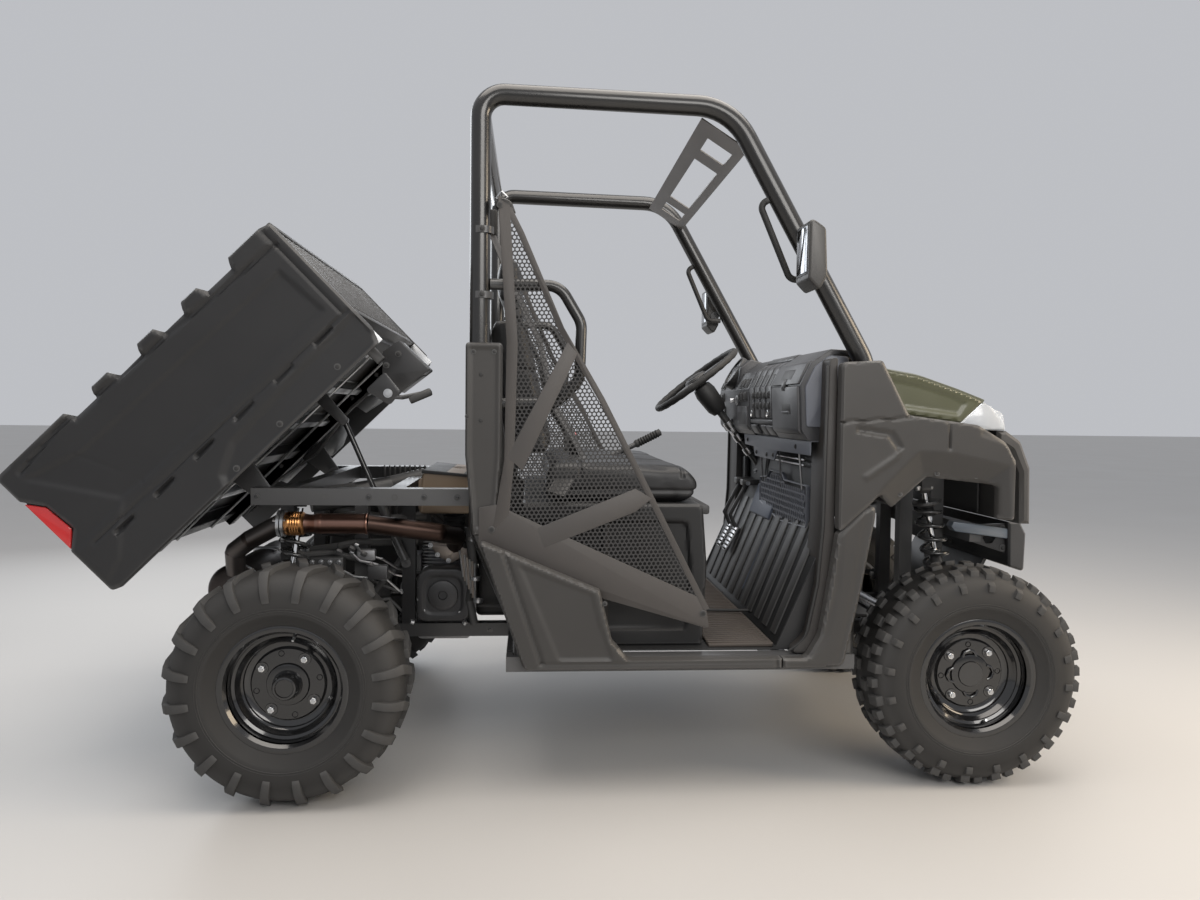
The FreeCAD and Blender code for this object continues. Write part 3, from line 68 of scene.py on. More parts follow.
# camera and light
view = {"f": 914.88, "x": 625.77, "y": -3040.19, "z": 1033.27, "yaw": -0.0738, "pitch": -0.0448,
    "roll": 0.0117, "photoWidth": 1200}
yaw, pitch = view["yaw"], view["pitch"]
forward = Vector((-sin(yaw) * cos(pitch), cos(yaw) * cos(pitch), sin(pitch)))
right = Vector((cos(yaw), sin(yaw), 0))
above = right.cross(forward)
tilted = right * cos(view["roll"]) + above * sin(view["roll"])
upward = above * cos(view["roll"]) - right * sin(view["roll"])
camera = shown("camera", bpy.data.cameras.new("camera"))
turned = Matrix((tilted, upward, -forward)).transposed().to_4x4()
camera.matrix_world = Matrix.Translation(put(view["x"], view["y"], view["z"])) @ turned
camera.data.sensor_fit = "HORIZONTAL"
camera.data.sensor_width = 36
camera.data.lens = view["f"] / view["photoWidth"] * camera.data.sensor_width
camera.data.clip_end = 100
scene.camera = camera

world = bpy.data.worlds.new("world")
scene.world = world
world.use_nodes = True
sky = world.node_tree.nodes["Background"].inputs
sky["Color"].default_value = (0.93, 0.95, 1, 1)
sky["Strength"].default_value = 0.55


def lamp(name, place, target, width, depth, power, tint=(1, 1, 1)):
    light = bpy.data.lights.new(name, "AREA")
    light.shape = "RECTANGLE"
    light.size, light.size_y, light.energy, light.color = width, depth, power, tint
    item = shown(name, light)
    item.location = place
    item.rotation_euler = (Vector(target) - Vector(place)).to_track_quat("-Z", "Y").to_euler()


lamp("ceiling", (0.3, -0.6, 4.2), (0, 0, 0.6), 5, 3, 165, (1, 0.93, 0.85))
lamp("front", (1.5, -4.5, 2.6), (0, 0, 0.8), 3, 1.6, 90, (1, 0.97, 0.93))
lamp("window", (-2.2, 3.4, 2.4), (-0.2, 0, 0.8), 3.5, 2.2, 60, (0.92, 0.96, 1))
lamp("warm", (3.6, -1.2, 1.9), (0.9, 0, 0.6), 1.6, 1.6, 60, (1, 0.82, 0.6))

# materials
groups = {}


def grainGroup():
    group = bpy.data.node_groups.new("surface", "ShaderNodeTree")
    for name, default in (("Scale", 400.0), ("Blotch", 6.0)):
        socket = group.interface.new_socket(name, in_out="INPUT", socket_type="NodeSocketFloat")
        socket.default_value = default
    for name in ("Grain", "Blotches", "Edge"):
        group.interface.new_socket(name, in_out="OUTPUT", socket_type="NodeSocketFloat")
    nodes, links = group.nodes, group.links
    entry, leave = nodes.new("NodeGroupInput"), nodes.new("NodeGroupOutput")
    place = nodes.new("ShaderNodeTexCoord")
    for socket, output in (("Scale", "Grain"), ("Blotch", "Blotches")):
        tex = nodes.new("ShaderNodeTexNoise")
        tex.inputs["Detail"].default_value = 3
        links.new(place.outputs["Object"], tex.inputs["Vector"])
        links.new(entry.outputs[socket], tex.inputs["Scale"])
        links.new(tex.outputs["Fac"], leave.inputs[output])
    shape = nodes.new("ShaderNodeNewGeometry")
    ramp = nodes.new("ShaderNodeMapRange")
    ramp.inputs["From Min"].default_value = 0.52
    ramp.inputs["From Max"].default_value = 0.62
    links.new(shape.outputs["Pointiness"], ramp.inputs["Value"])
    links.new(ramp.outputs["Result"], leave.inputs["Edge"])
    return group


def material(name, color, rough=0.5, metal=0.0, grain=400, bump=0.15, vary=0.15, blotch=6, edge=0.06,
        coat=0.0, coatRough=0.05, specular=0.5, sheen=0.0, alpha=1.0, spread=0.12):
    if "surface" not in groups:
        groups["surface"] = grainGroup()
    m = bpy.data.materials.new(name)
    m.use_nodes = True
    nodes, links = m.node_tree.nodes, m.node_tree.links
    shader = nodes["Principled BSDF"]
    for socket, value in (("Metallic", metal), ("Coat Weight", coat), ("Coat Roughness", coatRough),
            ("Specular IOR Level", specular), ("Sheen Weight", sheen), ("Alpha", alpha)):
        shader.inputs[socket].default_value = value
    look = nodes.new("ShaderNodeGroup")
    look.node_tree = groups["surface"]
    look.inputs["Scale"].default_value = grain
    look.inputs["Blotch"].default_value = blotch
    tint = nodes.new("ShaderNodeMix")
    tint.data_type = "RGBA"
    tint.inputs["A"].default_value = (*[c * (1 - vary) for c in color], 1)
    tint.inputs["B"].default_value = (*[min(1, c * (1 + vary)) for c in color], 1)
    links.new(look.outputs["Blotches"], tint.inputs["Factor"])
    # convex edges, found by pointiness, are made lighter by edge: partly wear, partly a painted highlight
    # along the edges
    edgeWearAndHighlight = nodes.new("ShaderNodeMix")
    edgeWearAndHighlight.data_type = "RGBA"
    edgeWearAndHighlight.inputs["B"].default_value = (*[min(1, c + edge) for c in color], 1)
    links.new(tint.outputs["Result"], edgeWearAndHighlight.inputs["A"])
    links.new(look.outputs["Edge"], edgeWearAndHighlight.inputs["Factor"])
    links.new(edgeWearAndHighlight.outputs["Result"], shader.inputs["Base Color"])
    rub = nodes.new("ShaderNodeMapRange")
    rub.inputs["To Min"].default_value = max(0, rough - spread)
    rub.inputs["To Max"].default_value = min(1, rough + spread)
    links.new(look.outputs["Blotches"], rub.inputs["Value"])
    links.new(rub.outputs["Result"], shader.inputs["Roughness"])
    if bump:
        relief = nodes.new("ShaderNodeBump")
        relief.inputs["Strength"].default_value = bump
        relief.inputs["Distance"].default_value = 0.0006
        links.new(look.outputs["Grain"], relief.inputs["Height"])
        links.new(relief.outputs["Normal"], shader.inputs["Normal"])
    return m


finishes = {
    # colour, roughness and what differs from the usual finish
    "framePaint": ((0.014, 0.014, 0.015), 0.38, dict(coat=0.3, coatRough=0.2, bump=0.06, grain=220)),
    "cagePaint": ((0.012, 0.0115, 0.011), 0.3, dict(coat=0.5, coatRough=0.14, bump=0.04, grain=160)),
    "panel": ((0.037, 0.035, 0.033), 0.42, dict(bump=0.3, grain=900, vary=0.1)),
    "hoodGreen": ((0.085, 0.088, 0.046), 0.33,
    dict(bump=0.08, grain=700, coat=0.25, coatRough=0.2, vary=0.08)),
    "bedPlastic": ((0.016, 0.016, 0.0168), 0.46, dict(bump=0.35, grain=1000, vary=0.12)),
    "darkPlastic": ((0.007, 0.007, 0.0075), 0.5, dict(bump=0.3, grain=900, vary=0.1)),
    "webbing": ((0.018, 0.017, 0.017), 0.55, dict(bump=0.6, grain=1400, vary=0.1, sheen=0.2)),
    "netBand": ((0.036, 0.031, 0.028), 0.5, dict(bump=0.5, grain=1300, vary=0.2, blotch=14, sheen=0.15)),
    "headerPaint": ((0.1, 0.085, 0.075), 0.35, dict(coat=0.3, coatRough=0.2, bump=0.05)),
    "tyre": ((0.022, 0.021, 0.02), 0.72, dict(bump=0.3, grain=500, vary=0.25, blotch=11)),
    "rimPaint": ((0.006, 0.006, 0.0065), 0.16,
    dict(coat=0.8, coatRough=0.06, bump=0.02, grain=120, edge=0.02)),
    "vinyl": ((0.014, 0.014, 0.015), 0.42, dict(bump=0.5, grain=700, vary=0.15)),
    "net": ((0.02, 0.019, 0.019), 0.6, dict(bump=0.4, grain=1500)),
    "rubber": ((0.014, 0.014, 0.014), 0.6, dict(bump=0.3, grain=800)),
    "cast": ((0.33, 0.33, 0.34), 0.45, dict(metal=0.75, bump=0.7, grain=700, vary=0.2)),
    "dashGrey": ((0.036, 0.037, 0.041), 0.4, dict(bump=0.3, grain=900, vary=0.12)),
    "dashPale": ((0.115, 0.125, 0.15), 0.38, dict(bump=0.2, grain=900, vary=0.1)),
    "dashBlue": ((0.05, 0.065, 0.1), 0.42, dict(bump=0.2, grain=800, vary=0.15)),
    "panelDeep": ((0.02, 0.017, 0.015), 0.5, dict(bump=0.3, grain=900, vary=0.15)),
    # the floor mat's brown is a painted reflection of warm light on the mat
    "mat": ((0.05, 0.036, 0.026), 0.6, dict(bump=0.4, grain=700, vary=0.3, blotch=14)),
    "springBlack": ((0.009, 0.009, 0.0095), 0.25, dict(coat=0.6, coatRough=0.1, bump=0.05, grain=200)),
    "flexTan": ((0.5, 0.24, 0.09), 0.3, dict(metal=1.0, bump=0.15, grain=90, vary=0.3, blotch=14)),
    "lampSilver": ((0.4, 0.41, 0.43), 0.22, dict(metal=0.55, bump=0.02, grain=60, vary=0.05)),
    # the bumper bar's pale blue is a painted reflection of the sky on the steel bar
    "barSkyReflection": ((0.1, 0.125, 0.155), 0.34, dict(bump=0.08, grain=300, coat=0.4, coatRough=0.2)),
    "mirrorGlass": ((0.3, 0.31, 0.33), 0.07, dict(metal=1.0, bump=0.0, grain=60, vary=0.03)),
    "castWarm": ((0.36, 0.31, 0.27), 0.4, dict(metal=0.7, bump=0.6, grain=600, vary=0.2)),
    "darkCast": ((0.05, 0.05, 0.052), 0.45, dict(metal=0.5, bump=0.6, grain=700, vary=0.2)),
    "tanPlastic": ((0.2, 0.145, 0.095), 0.45, dict(bump=0.3, grain=900, vary=0.12)),
    "copperDark": ((0.055, 0.036, 0.03), 0.4, dict(metal=1.0, bump=0.15, grain=90, vary=0.4, blotch=12)),
    "exhaustDark": ((0.05, 0.04, 0.036), 0.42, dict(metal=0.9, bump=0.2, grain=120, vary=0.35, blotch=10)),
    "copper": ((0.2, 0.1, 0.07), 0.3, dict(metal=1.0, bump=0.1, grain=90, vary=0.4, blotch=9)),
    "steel": ((0.55, 0.55, 0.56), 0.3, dict(metal=1.0, bump=0.1, grain=300)),
    "chrome": ((0.8, 0.8, 0.8), 0.1, dict(metal=1.0, bump=0.0, grain=100)),
    "zinc": ((0.5, 0.51, 0.52), 0.36, dict(metal=0.9, bump=0.2, grain=160, vary=0.3, blotch=30)),
    "lensClear": ((0.8, 0.84, 0.88), 0.06, dict(bump=0.0, alpha=0.45, coat=0.6)),
    "lensRed": ((0.55, 0.012, 0.012), 0.12, dict(bump=0.0, coat=0.8, vary=0.1)),
}
stuff = {name: material(name, color, rough, **more) for name, (color, rough, more) in finishes.items()}
lookOf = {
    "frame_black": "framePaint", "cage_black": "cagePaint", "handle_rubber": "rubber",
    "panel_grey": "panel",
    "hood_green": "hoodGreen", "bed_charcoal": "bedPlastic", "header_grey": "headerPaint",
    "tyre_rubber": "tyre",
    "rim_black": "rimPaint", "vinyl_black": "vinyl", "net_black": "net", "wheel_foam": "rubber",
    "cast_grey": "cast",
    "exhaust_steel": "copper", "bright_steel": "chrome", "zinc_steel": "zinc", "lamp_clear": "lensClear",
    "lamp_red": "lensRed",
}


def dress(node, look):
    slots = frame["nodes"][node].data.materials
    slots.clear()
    slots.append(stuff[look])


for entry in frame["record"]["subparts"]:
    dress(entry["node"], lookOf[entry["material_slot"]])
print("materials made")

# floor: far wider than any view of the vehicle
floorSides = {"back": -40, "front": 40, "right": -30, "left": 40}
floorCorners = (("back", "right"), ("front", "right"), ("front", "left"), ("back", "left"))
floorMesh = bpy.data.meshes.new("floor")
floorMesh.from_pydata([(floorSides[x], floorSides[y], 0) for x, y in floorCorners], [], [(0, 1, 2, 3)])
floor = shown("floor", floorMesh)
floorMesh.materials.append(material("floorPale", (0.5, 0.49, 0.475), 0.5, bump=0.1, grain=40, vary=0.03,
    blotch=1))

# making pieces: sizes in mm, in the vehicle's own directions
def rounded(rows):
    points = []
    count = len(rows)
    for i, row in enumerate(rows):
        here = Vector(row[:2])
        radius = row[2] if len(row) > 2 else 0
        back = Vector(rows[i - 1][:2]) - here
        ahead = Vector(rows[(i + 1) % count][:2]) - here
        if radius <= 0 or back.length < 1e-6 or ahead.length < 1e-6:
            points.append(here)
            continue
        half = back.angle(ahead) / 2
        run = min(radius / max(tan(half), 1e-4), 0.49 * back.length, 0.49 * ahead.length)
        start, end = here + back.normalized() * run, here + ahead.normalized() * run
        steps = max(2, int((pi - 2 * half) / 0.35) + 1)
        for k in range(steps + 1):
            t = k / steps
            points.append(start * (1 - t) ** 2 + here * 2 * t * (1 - t) + end * t * t)
    return points


def bent(rows, steps=7):
    points = [Vector(rows[0][:3])]
    for i in range(1, len(rows) - 1):
        here = Vector(rows[i][:3])
        radius = rows[i][3] if len(rows[i]) > 3 else 0
        back, ahead = Vector(rows[i - 1][:3]) - here, Vector(rows[i + 1][:3]) - here
        half = back.angle(ahead) / 2
        if radius <= 0 or half > 1.56:
            points.append(here)
            continue
        run = min(radius / tan(half), 0.49 * back.length, 0.49 * ahead.length)
        radius = run * tan(half)
        inward = (back.normalized() + ahead.normalized()).normalized()
        centre = here + inward * (radius / sin(half))
        first = here + back.normalized() * run - centre
        last = here + ahead.normalized() * run - centre
        for k in range(steps + 1):
            points.append(centre + first.slerp(last, k / steps) * 1.0)
    points.append(Vector(rows[-1][:3]))
    return points


class Piece:

    def __init__(self, name, body="chassis", bed=False):
        self.name, self.body, self.bed = name, body, bed
        self.mesh = bmesh.new()
        self.finishes = []

    def finish(self, look):
        if look not in self.finishes:
            self.finishes.append(look)
        return self.finishes.index(look)

    def absorb(self, part):
        data = bpy.data.meshes.new("part")
        part.to_mesh(data)
        part.free()
        self.mesh.from_mesh(data)
        bpy.data.meshes.remove(data)
        return self

    def take(self, part, look, bevel=0.0, segments=2, angle=30, smooth=True):
        bmesh.ops.remove_doubles(part, verts=part.verts, dist=0.01)
        bmesh.ops.recalc_face_normals(part, faces=part.faces)
        if bevel:
            limit = radians(angle)
            edges = [e for e in part.edges if len(e.link_faces) == 2 and e.calc_face_angle(0) > limit]
            if edges:
                bmesh.ops.bevel(part, geom=edges, offset=bevel, segments=segments, profile=0.5,
                    affect="EDGES", clamp_overlap=True)
        index = self.finish(look)
        for face in part.faces:
            face.material_index = index
            face.smooth = smooth
        return self.absorb(part)

    def slab(self, look, rows, y0, y1, bevel=2.0, plane="xz", segments=2, taper=0.0):
        outline = rounded(rows)
        part = bmesh.new()
        middle = sum(outline, Vector((0, 0))) / len(outline)
        sides = []
        for number, y in enumerate((y0, y1)):
            ring = []
            for p in outline:
                q = p + (middle - p).normalized() * (taper if number else 0)
                spot = {"xz": (q.x, y, q.y), "xy": (q.x, q.y, y), "yz": (y, q.x, q.y)}[plane]
                ring.append(part.verts.new(spot))
            sides.append(ring)
        part.faces.new(sides[0])
        part.faces.new(list(reversed(sides[1])))
        for i in range(len(outline)):
            j = (i + 1) % len(outline)
            part.faces.new((sides[0][i], sides[1][i], sides[1][j], sides[0][j]))
        return self.take(part, look, bevel, segments)

    def block(self, look, x0, x1, y0, y1, z0, z1, bevel=2.0):
        return self.slab(look, [(x0, z0), (x1, z0), (x1, z1), (x0, z1)], y0, y1, bevel)

    def hull(self, look, corners, bevel=2.0, segments=2):
        part = bmesh.new()
        for corner in corners:
            part.verts.new(corner)
        bmesh.ops.convex_hull(part, input=part.verts)
        bmesh.ops.dissolve_limit(part, angle_limit=0.02, verts=part.verts, edges=part.edges)
        return self.take(part, look, bevel, segments)

    def tube(self, look, rows, radius, sides=16, closed=False, flat=1.0, caps=True, steps=7):
        line = bent(rows, steps) if not closed else [Vector(r[:3]) for r in rows]
        part = bmesh.new()
        count = len(line)
        tangents = []
        for i in range(count):
            a = line[i - 1] if (i or closed) else line[0]
            b = line[(i + 1) % count] if (i < count - 1 or closed) else line[-1]
            tangents.append((b - a).normalized())
        normal = tangents[0].orthogonal().normalized()
        if abs(tangents[0].y) < 0.9:
            normal = tangents[0].cross(Vector((0, 1, 0))).normalized()
        rings = []
        for point, tangent in zip(line, tangents):
            normal = (normal - tangent * normal.dot(tangent)).normalized()
            other = tangent.cross(normal)
            size = radius(len(rings) / max(1, count - 1)) if callable(radius) else radius
            ring = [
                part.verts.new(point + normal * cos(a) * size + other * sin(a) * size * flat)
                for a in (2 * pi * k / sides for k in range(sides))
            ]
            rings.append(ring)
        total = count if closed else count - 1
        for i in range(total):
            one, two = rings[i], rings[(i + 1) % count]
            for k in range(sides):
                part.faces.new((one[k], one[(k + 1) % sides], two[(k + 1) % sides], two[k]))
        if not closed and caps:
            part.faces.new(list(reversed(rings[0])))
            part.faces.new(rings[-1])
        return self.take(part, look)

    def lathe(self, look, rows, centre, axis, sides=48, bevel=0.0, spin=0.0, closed=False):
        axis = Vector(axis).normalized()
        normal = axis.orthogonal().normalized()
        other = axis.cross(normal)
        part = bmesh.new()
        rings = []
        for along, radius in rows:
            if radius < 0.01:
                rings.append([part.verts.new(Vector(centre) + axis * along)])
                continue
            rings.append([
                part.verts.new(Vector(centre) + axis * along + normal * cos(a) * radius
                + other * sin(a) * radius)
                for a in (spin + 2 * pi * k / sides for k in range(sides))
            ])
        pairs = list(zip(rings, rings[1:]))
        if closed:
            pairs.append((rings[-1], rings[0]))
        for one, two in pairs:
            for k in range(sides):
                j = (k + 1) % sides
                if len(one) == 1 and len(two) == 1:
                    continue
                if len(one) == 1:
                    part.faces.new((one[0], two[j], two[k]))
                elif len(two) == 1:
                    part.faces.new((one[k], one[j], two[0]))
                else:
                    part.faces.new((one[k], one[j], two[j], two[k]))
        return self.take(part, look, bevel)

    def bolt(self, look, centre, axis, radius=7, height=5, washer=True):
        if washer:
            self.lathe(look, [(0, 0), (0, radius * 1.5), (1.6, radius * 1.5), (1.6, 0)], centre, axis, 18)
        self.lathe(look, [(1.6, 0), (1.6, radius), (height, radius), (height + 1, radius * 0.86),
            (height + 1, 0)], centre, axis, 6, bevel=0.5)
        return self

    def pin(self, look, start, end, radius, centre, axis, sides=48):
        return self.lathe(look, [(start, 0), (start, radius), (end, radius), (end, 0)], centre, axis, sides)

    def collar(self, look, start, end, inner, outer, centre, axis, sides=48):
        rows = [(start, inner), (start, outer), (end, outer), (end, inner)]
        return self.lathe(look, rows, centre, axis, sides, closed=True)

    def bolts(self, look, y, spots, axis=toRight, **sizes):
        for x, z in spots:
            self.bolt(look, (x, y, z), axis, **sizes)

    def flip(self, mesh):
        for vert in mesh.verts:
            vert.co.y = -vert.co.y
        bmesh.ops.reverse_faces(mesh, faces=mesh.faces)
        return mesh

    def mirrored(self):
        return self.absorb(self.flip(self.mesh.copy()))

    def place(self):
        for vert in self.mesh.verts:
            vert.co = put(*vert.co, bed=self.bed)

    def done(self, *replaced, slot=None, sharp=34):
        self.place()
        data = bpy.data.meshes.new(self.name)
        self.mesh.to_mesh(data)
        self.mesh.free()
        data.set_sharp_from_angle(angle=radians(sharp))
        for look in self.finishes:
            data.materials.append(stuff[look])
        item = shown(self.name, data)
        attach(item, self.body)
        if replaced:
            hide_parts(*replaced)
        return item


# trees for what repeats
def newTree(name, inputs):
    tree = bpy.data.node_groups.new(name, "GeometryNodeTree")
    tree.interface.new_socket("Geometry", in_out="OUTPUT", socket_type="NodeSocketGeometry")
    for label, kind in inputs:
        tree.interface.new_socket(label, in_out="INPUT", socket_type=kind)
    return tree


def joined(tree, kind, wires, values=(), **facts):
    # a node of a tree; its kind is a geometry node's unless it says otherwise
    node = tree.nodes.new(kind if "Node" in kind else "GeometryNode" + kind)
    for key, value in facts.items():
        setattr(node, key, value)
    for socket, value in dict(values).items():
        node.inputs[socket].default_value = value
    for socket, source in dict(wires).items():
        tree.links.new(source, node.inputs[socket])
    return node


def ended(tree, shape, entry):
    real = joined(tree, "RealizeInstances", {"Geometry": shape})
    finish = joined(tree, "SetMaterial", {"Geometry": real.outputs["Geometry"],
        "Material": entry["Finish"]})
    joined(tree, "NodeGroupOutput", {"Geometry": finish.outputs["Geometry"]})
    return tree


def opened(name, inputs):
    # the tree and its entry sockets; F, I, V, O and M stand for the kinds of socket
    kinds = {"F": "Float", "I": "Int", "V": "Vector", "O": "Object", "M": "Material"}
    tree = newTree(name, [(label, "NodeSocket" + kinds[kind]) for label, kind in inputs])
    return tree, tree.nodes.new("NodeGroupInput").outputs


def ringTree():
    tree, entry = opened("ring", [("Source", "O"), ("Count", "I"), ("Turn", "F"), ("Finish", "M")])
    line = joined(tree, "MeshLine", {"Count": entry["Count"]}, {"Offset": (0, 0, 0)})
    info = joined(tree, "ObjectInfo", {"Object": entry["Source"]})
    index = tree.nodes.new("GeometryNodeInputIndex")
    share = joined(tree, "ShaderNodeMath", {0: index.outputs[0], 1: entry["Count"]}, operation="DIVIDE")
    angle = joined(tree, "ShaderNodeMath", {0: share.outputs[0], 2: entry["Turn"]}, {1: 2 * pi},
        operation="MULTIPLY_ADD")
    turn = joined(tree, "ShaderNodeCombineXYZ", {"Y": angle.outputs[0]})
    copies = joined(tree, "InstanceOnPoints",
        {"Points": line.outputs["Mesh"], "Instance": info.outputs["Geometry"],
        "Rotation": turn.outputs["Vector"]})
    return ended(tree, copies.outputs["Instances"], entry)


def rowTree():
    tree, entry = opened("row", [("Source", "O"), ("Count", "I"), ("Step", "V"), ("Start", "V"),
        ("Finish", "M")])
    line = joined(tree, "MeshLine", {"Count": entry["Count"], "Offset": entry["Step"],
        "Start Location": entry["Start"]})
    info = joined(tree, "ObjectInfo", {"Object": entry["Source"]})
    copies = joined(tree, "InstanceOnPoints",
        {"Points": line.outputs["Mesh"], "Instance": info.outputs["Geometry"]})
    return ended(tree, copies.outputs["Instances"], entry)


def coilTree():
    tree, entry = opened("coil", [("Turns", "F"), ("Radius", "F"), ("Height", "F"), ("Wire", "F"),
        ("Finish", "M")])
    spiral = joined(tree, "CurveSpiral", {"Rotations": entry["Turns"], "Start Radius": entry["Radius"],
        "End Radius": entry["Radius"], "Height": entry["Height"]}, {"Resolution": 22})
    section = joined(tree, "CurvePrimitiveCircle", {"Radius": entry["Wire"]}, {"Resolution": 10})
    skin = joined(tree, "CurveToMesh", {"Curve": spiral.outputs["Curve"],
        "Profile Curve": section.outputs["Curve"]}, {"Fill Caps": True})
    real = joined(tree, "RealizeInstances", {"Geometry": skin.outputs["Mesh"]})
    smooth = joined(tree, "SetShadeSmooth", {"Geometry": real.outputs["Geometry"]})
    finish = joined(tree, "SetMaterial", {"Geometry": smooth.outputs[0], "Material": entry["Finish"]})
    joined(tree, "NodeGroupOutput", {"Geometry": finish.outputs["Geometry"]})
    return tree


def meshTree():
    # a flat sheet of six-sided holes, wide along X and long along Y
    tree, entry = opened("netting", [("Wide", "F"), ("Long", "F"), ("Pitch", "F"), ("Open", "F"),
        ("Finish", "M")])
    across = joined(tree, "ShaderNodeMath", {0: entry["Wide"], 1: entry["Pitch"]}, operation="DIVIDE")
    rise = joined(tree, "ShaderNodeMath", {0: entry["Pitch"]}, {1: 0.866}, operation="MULTIPLY")
    along = joined(tree, "ShaderNodeMath", {0: entry["Long"], 1: rise.outputs[0]}, operation="DIVIDE")
    grid = joined(tree, "MeshGrid", {"Size X": entry["Wide"], "Size Y": entry["Long"],
        "Vertices X": across.outputs[0], "Vertices Y": along.outputs[0]})
    place = tree.nodes.new("GeometryNodeInputPosition")
    parts = joined(tree, "ShaderNodeSeparateXYZ", {"Vector": place.outputs[0]})
    row = joined(tree, "ShaderNodeMath", {0: parts.outputs["Y"], 1: rise.outputs[0]}, operation="DIVIDE")
    lean = joined(tree, "ShaderNodeMath", {0: row.outputs[0], 1: entry["Pitch"]}, operation="MULTIPLY")
    half = joined(tree, "ShaderNodeMath", {0: lean.outputs[0]}, {1: 0.5}, operation="MULTIPLY")
    shift = joined(tree, "ShaderNodeCombineXYZ", {"X": half.outputs[0]})
    moved = joined(tree, "SetPosition", {"Geometry": grid.outputs["Mesh"], "Offset": shift.outputs[0]})
    three = joined(tree, "Triangulate", {"Mesh": moved.outputs[0]})
    six = joined(tree, "DualMesh", {"Mesh": three.outputs[0]})
    pulled = joined(tree, "ExtrudeMesh", {"Mesh": six.outputs[0]},
        {"Offset Scale": 0.0, "Individual": True}, mode="FACES")
    shrunk = joined(tree, "ScaleElements", {"Geometry": pulled.outputs["Mesh"],
        "Selection": pulled.outputs["Top"], "Scale": entry["Open"]})
    holes = joined(tree, "DeleteGeometry", {"Geometry": shrunk.outputs[0],
        "Selection": pulled.outputs["Top"]}, domain="FACE")
    return ended(tree, holes.outputs[0], entry)


def grown(name, values):
    makers = {"ring": ringTree, "row": rowTree, "coil": coilTree, "netting": meshTree}
    if name not in groups:
        groups[name] = makers[name]()
    tree = groups[name]
    holder = shown("holder", bpy.data.meshes.new("holder"))
    modifier = holder.modifiers.new("grow", "NODES")
    modifier.node_group = tree
    sockets = {item.name: item.identifier for item in tree.interface.items_tree if item.in_out == "INPUT"}
    for label, value in values.items():
        modifier[sockets[label]] = value
    graph = bpy.context.evaluated_depsgraph_get()
    graph.update()
    mesh = bpy.data.meshes.new_from_object(holder.evaluated_get(graph))
    holder.modifiers.clear()
    bpy.data.objects.remove(holder)
    return mesh


def sourceOf(piece, look):
    # a small piece as an object of its own, at the origin and in metres
    data = bpy.data.meshes.new("source")
    piece.mesh.to_mesh(data)
    piece.mesh.free()
    data.transform(Matrix.Scale(0.001, 4))
    data.materials.append(stuff[look])
    item = shown("source", data)
    return item


def addMesh(piece, mesh, look, matrix=None):
    # a mesh in metres joins the piece, turned by matrix, whose place is in mm
    mesh.transform(Matrix.Scale(1000, 4))
    if matrix is not None:
        mesh.transform(matrix)
    index = piece.finish(look)
    for face in mesh.polygons:
        face.material_index = index
    piece.mesh.from_mesh(mesh)
    bpy.data.meshes.remove(mesh)


def rowed(piece, unit, look, count, step, start, place):
    source = sourceOf(unit, look)
    values = {"Source": source, "Count": count, "Step": step, "Start": start, "Finish": stuff[look]}
    addMesh(piece, grown("row", values), look, place)
    bpy.data.objects.remove(source)


def aimed(start, end):
    # a matrix that takes Z along the line from start to end, in mm
    start, end = Vector(start), Vector(end)
    return Matrix.Translation(start) @ (end - start).to_track_quat("Z", "Y").to_matrix().to_4x4()


def farFrom(px, pz, rows):
    # distance from an outline, negative inside it
    poly = np.array([tuple(p) for p in rounded(rows)])
    best = np.full(px.shape, 1e9)
    inside = np.zeros(px.shape, bool)
    for a, b in zip(poly, np.roll(poly, -1, axis=0)):
        ex, ez = b - a
        t = np.clip(((px - a[0]) * ex + (pz - a[1]) * ez) / (ex * ex + ez * ez + 1e-9), 0, 1)
        best = np.minimum(best, np.hypot(px - a[0] - t * ex, pz - a[1] - t * ez))
        crosses = ((a[1] > pz) != (b[1] > pz)) & (px < (b[0] - a[0]) * (pz - a[1]) / (b[1] - a[1] + 1e-12)
            + a[0])
        inside ^= crosses
    return np.where(inside, -best, best)


def boxed(centre, xs, ys, zs):
    return [(centre[0] + x, centre[1] + y, centre[2] + z) for x in xs for y in ys for z in zs]


def prism(rows, ys):
    return [(x, y, z) for x, z in rows for y in ys]


def nearest(points, rows):
    poly = np.array([tuple(p) for p in rounded(rows)])
    best, spot = np.full(len(points), 1e9), points.copy()
    for a, b in zip(poly, np.roll(poly, -1, axis=0)):
        run = b - a
        t = np.clip(((points - a) @ run) / (run @ run + 1e-9), 0, 1)
        found = a + t[:, None] * run
        far = np.hypot(*(points - found).T)
        spot = np.where((far < best)[:, None], found, spot)
        best = np.minimum(best, far)
    return spot


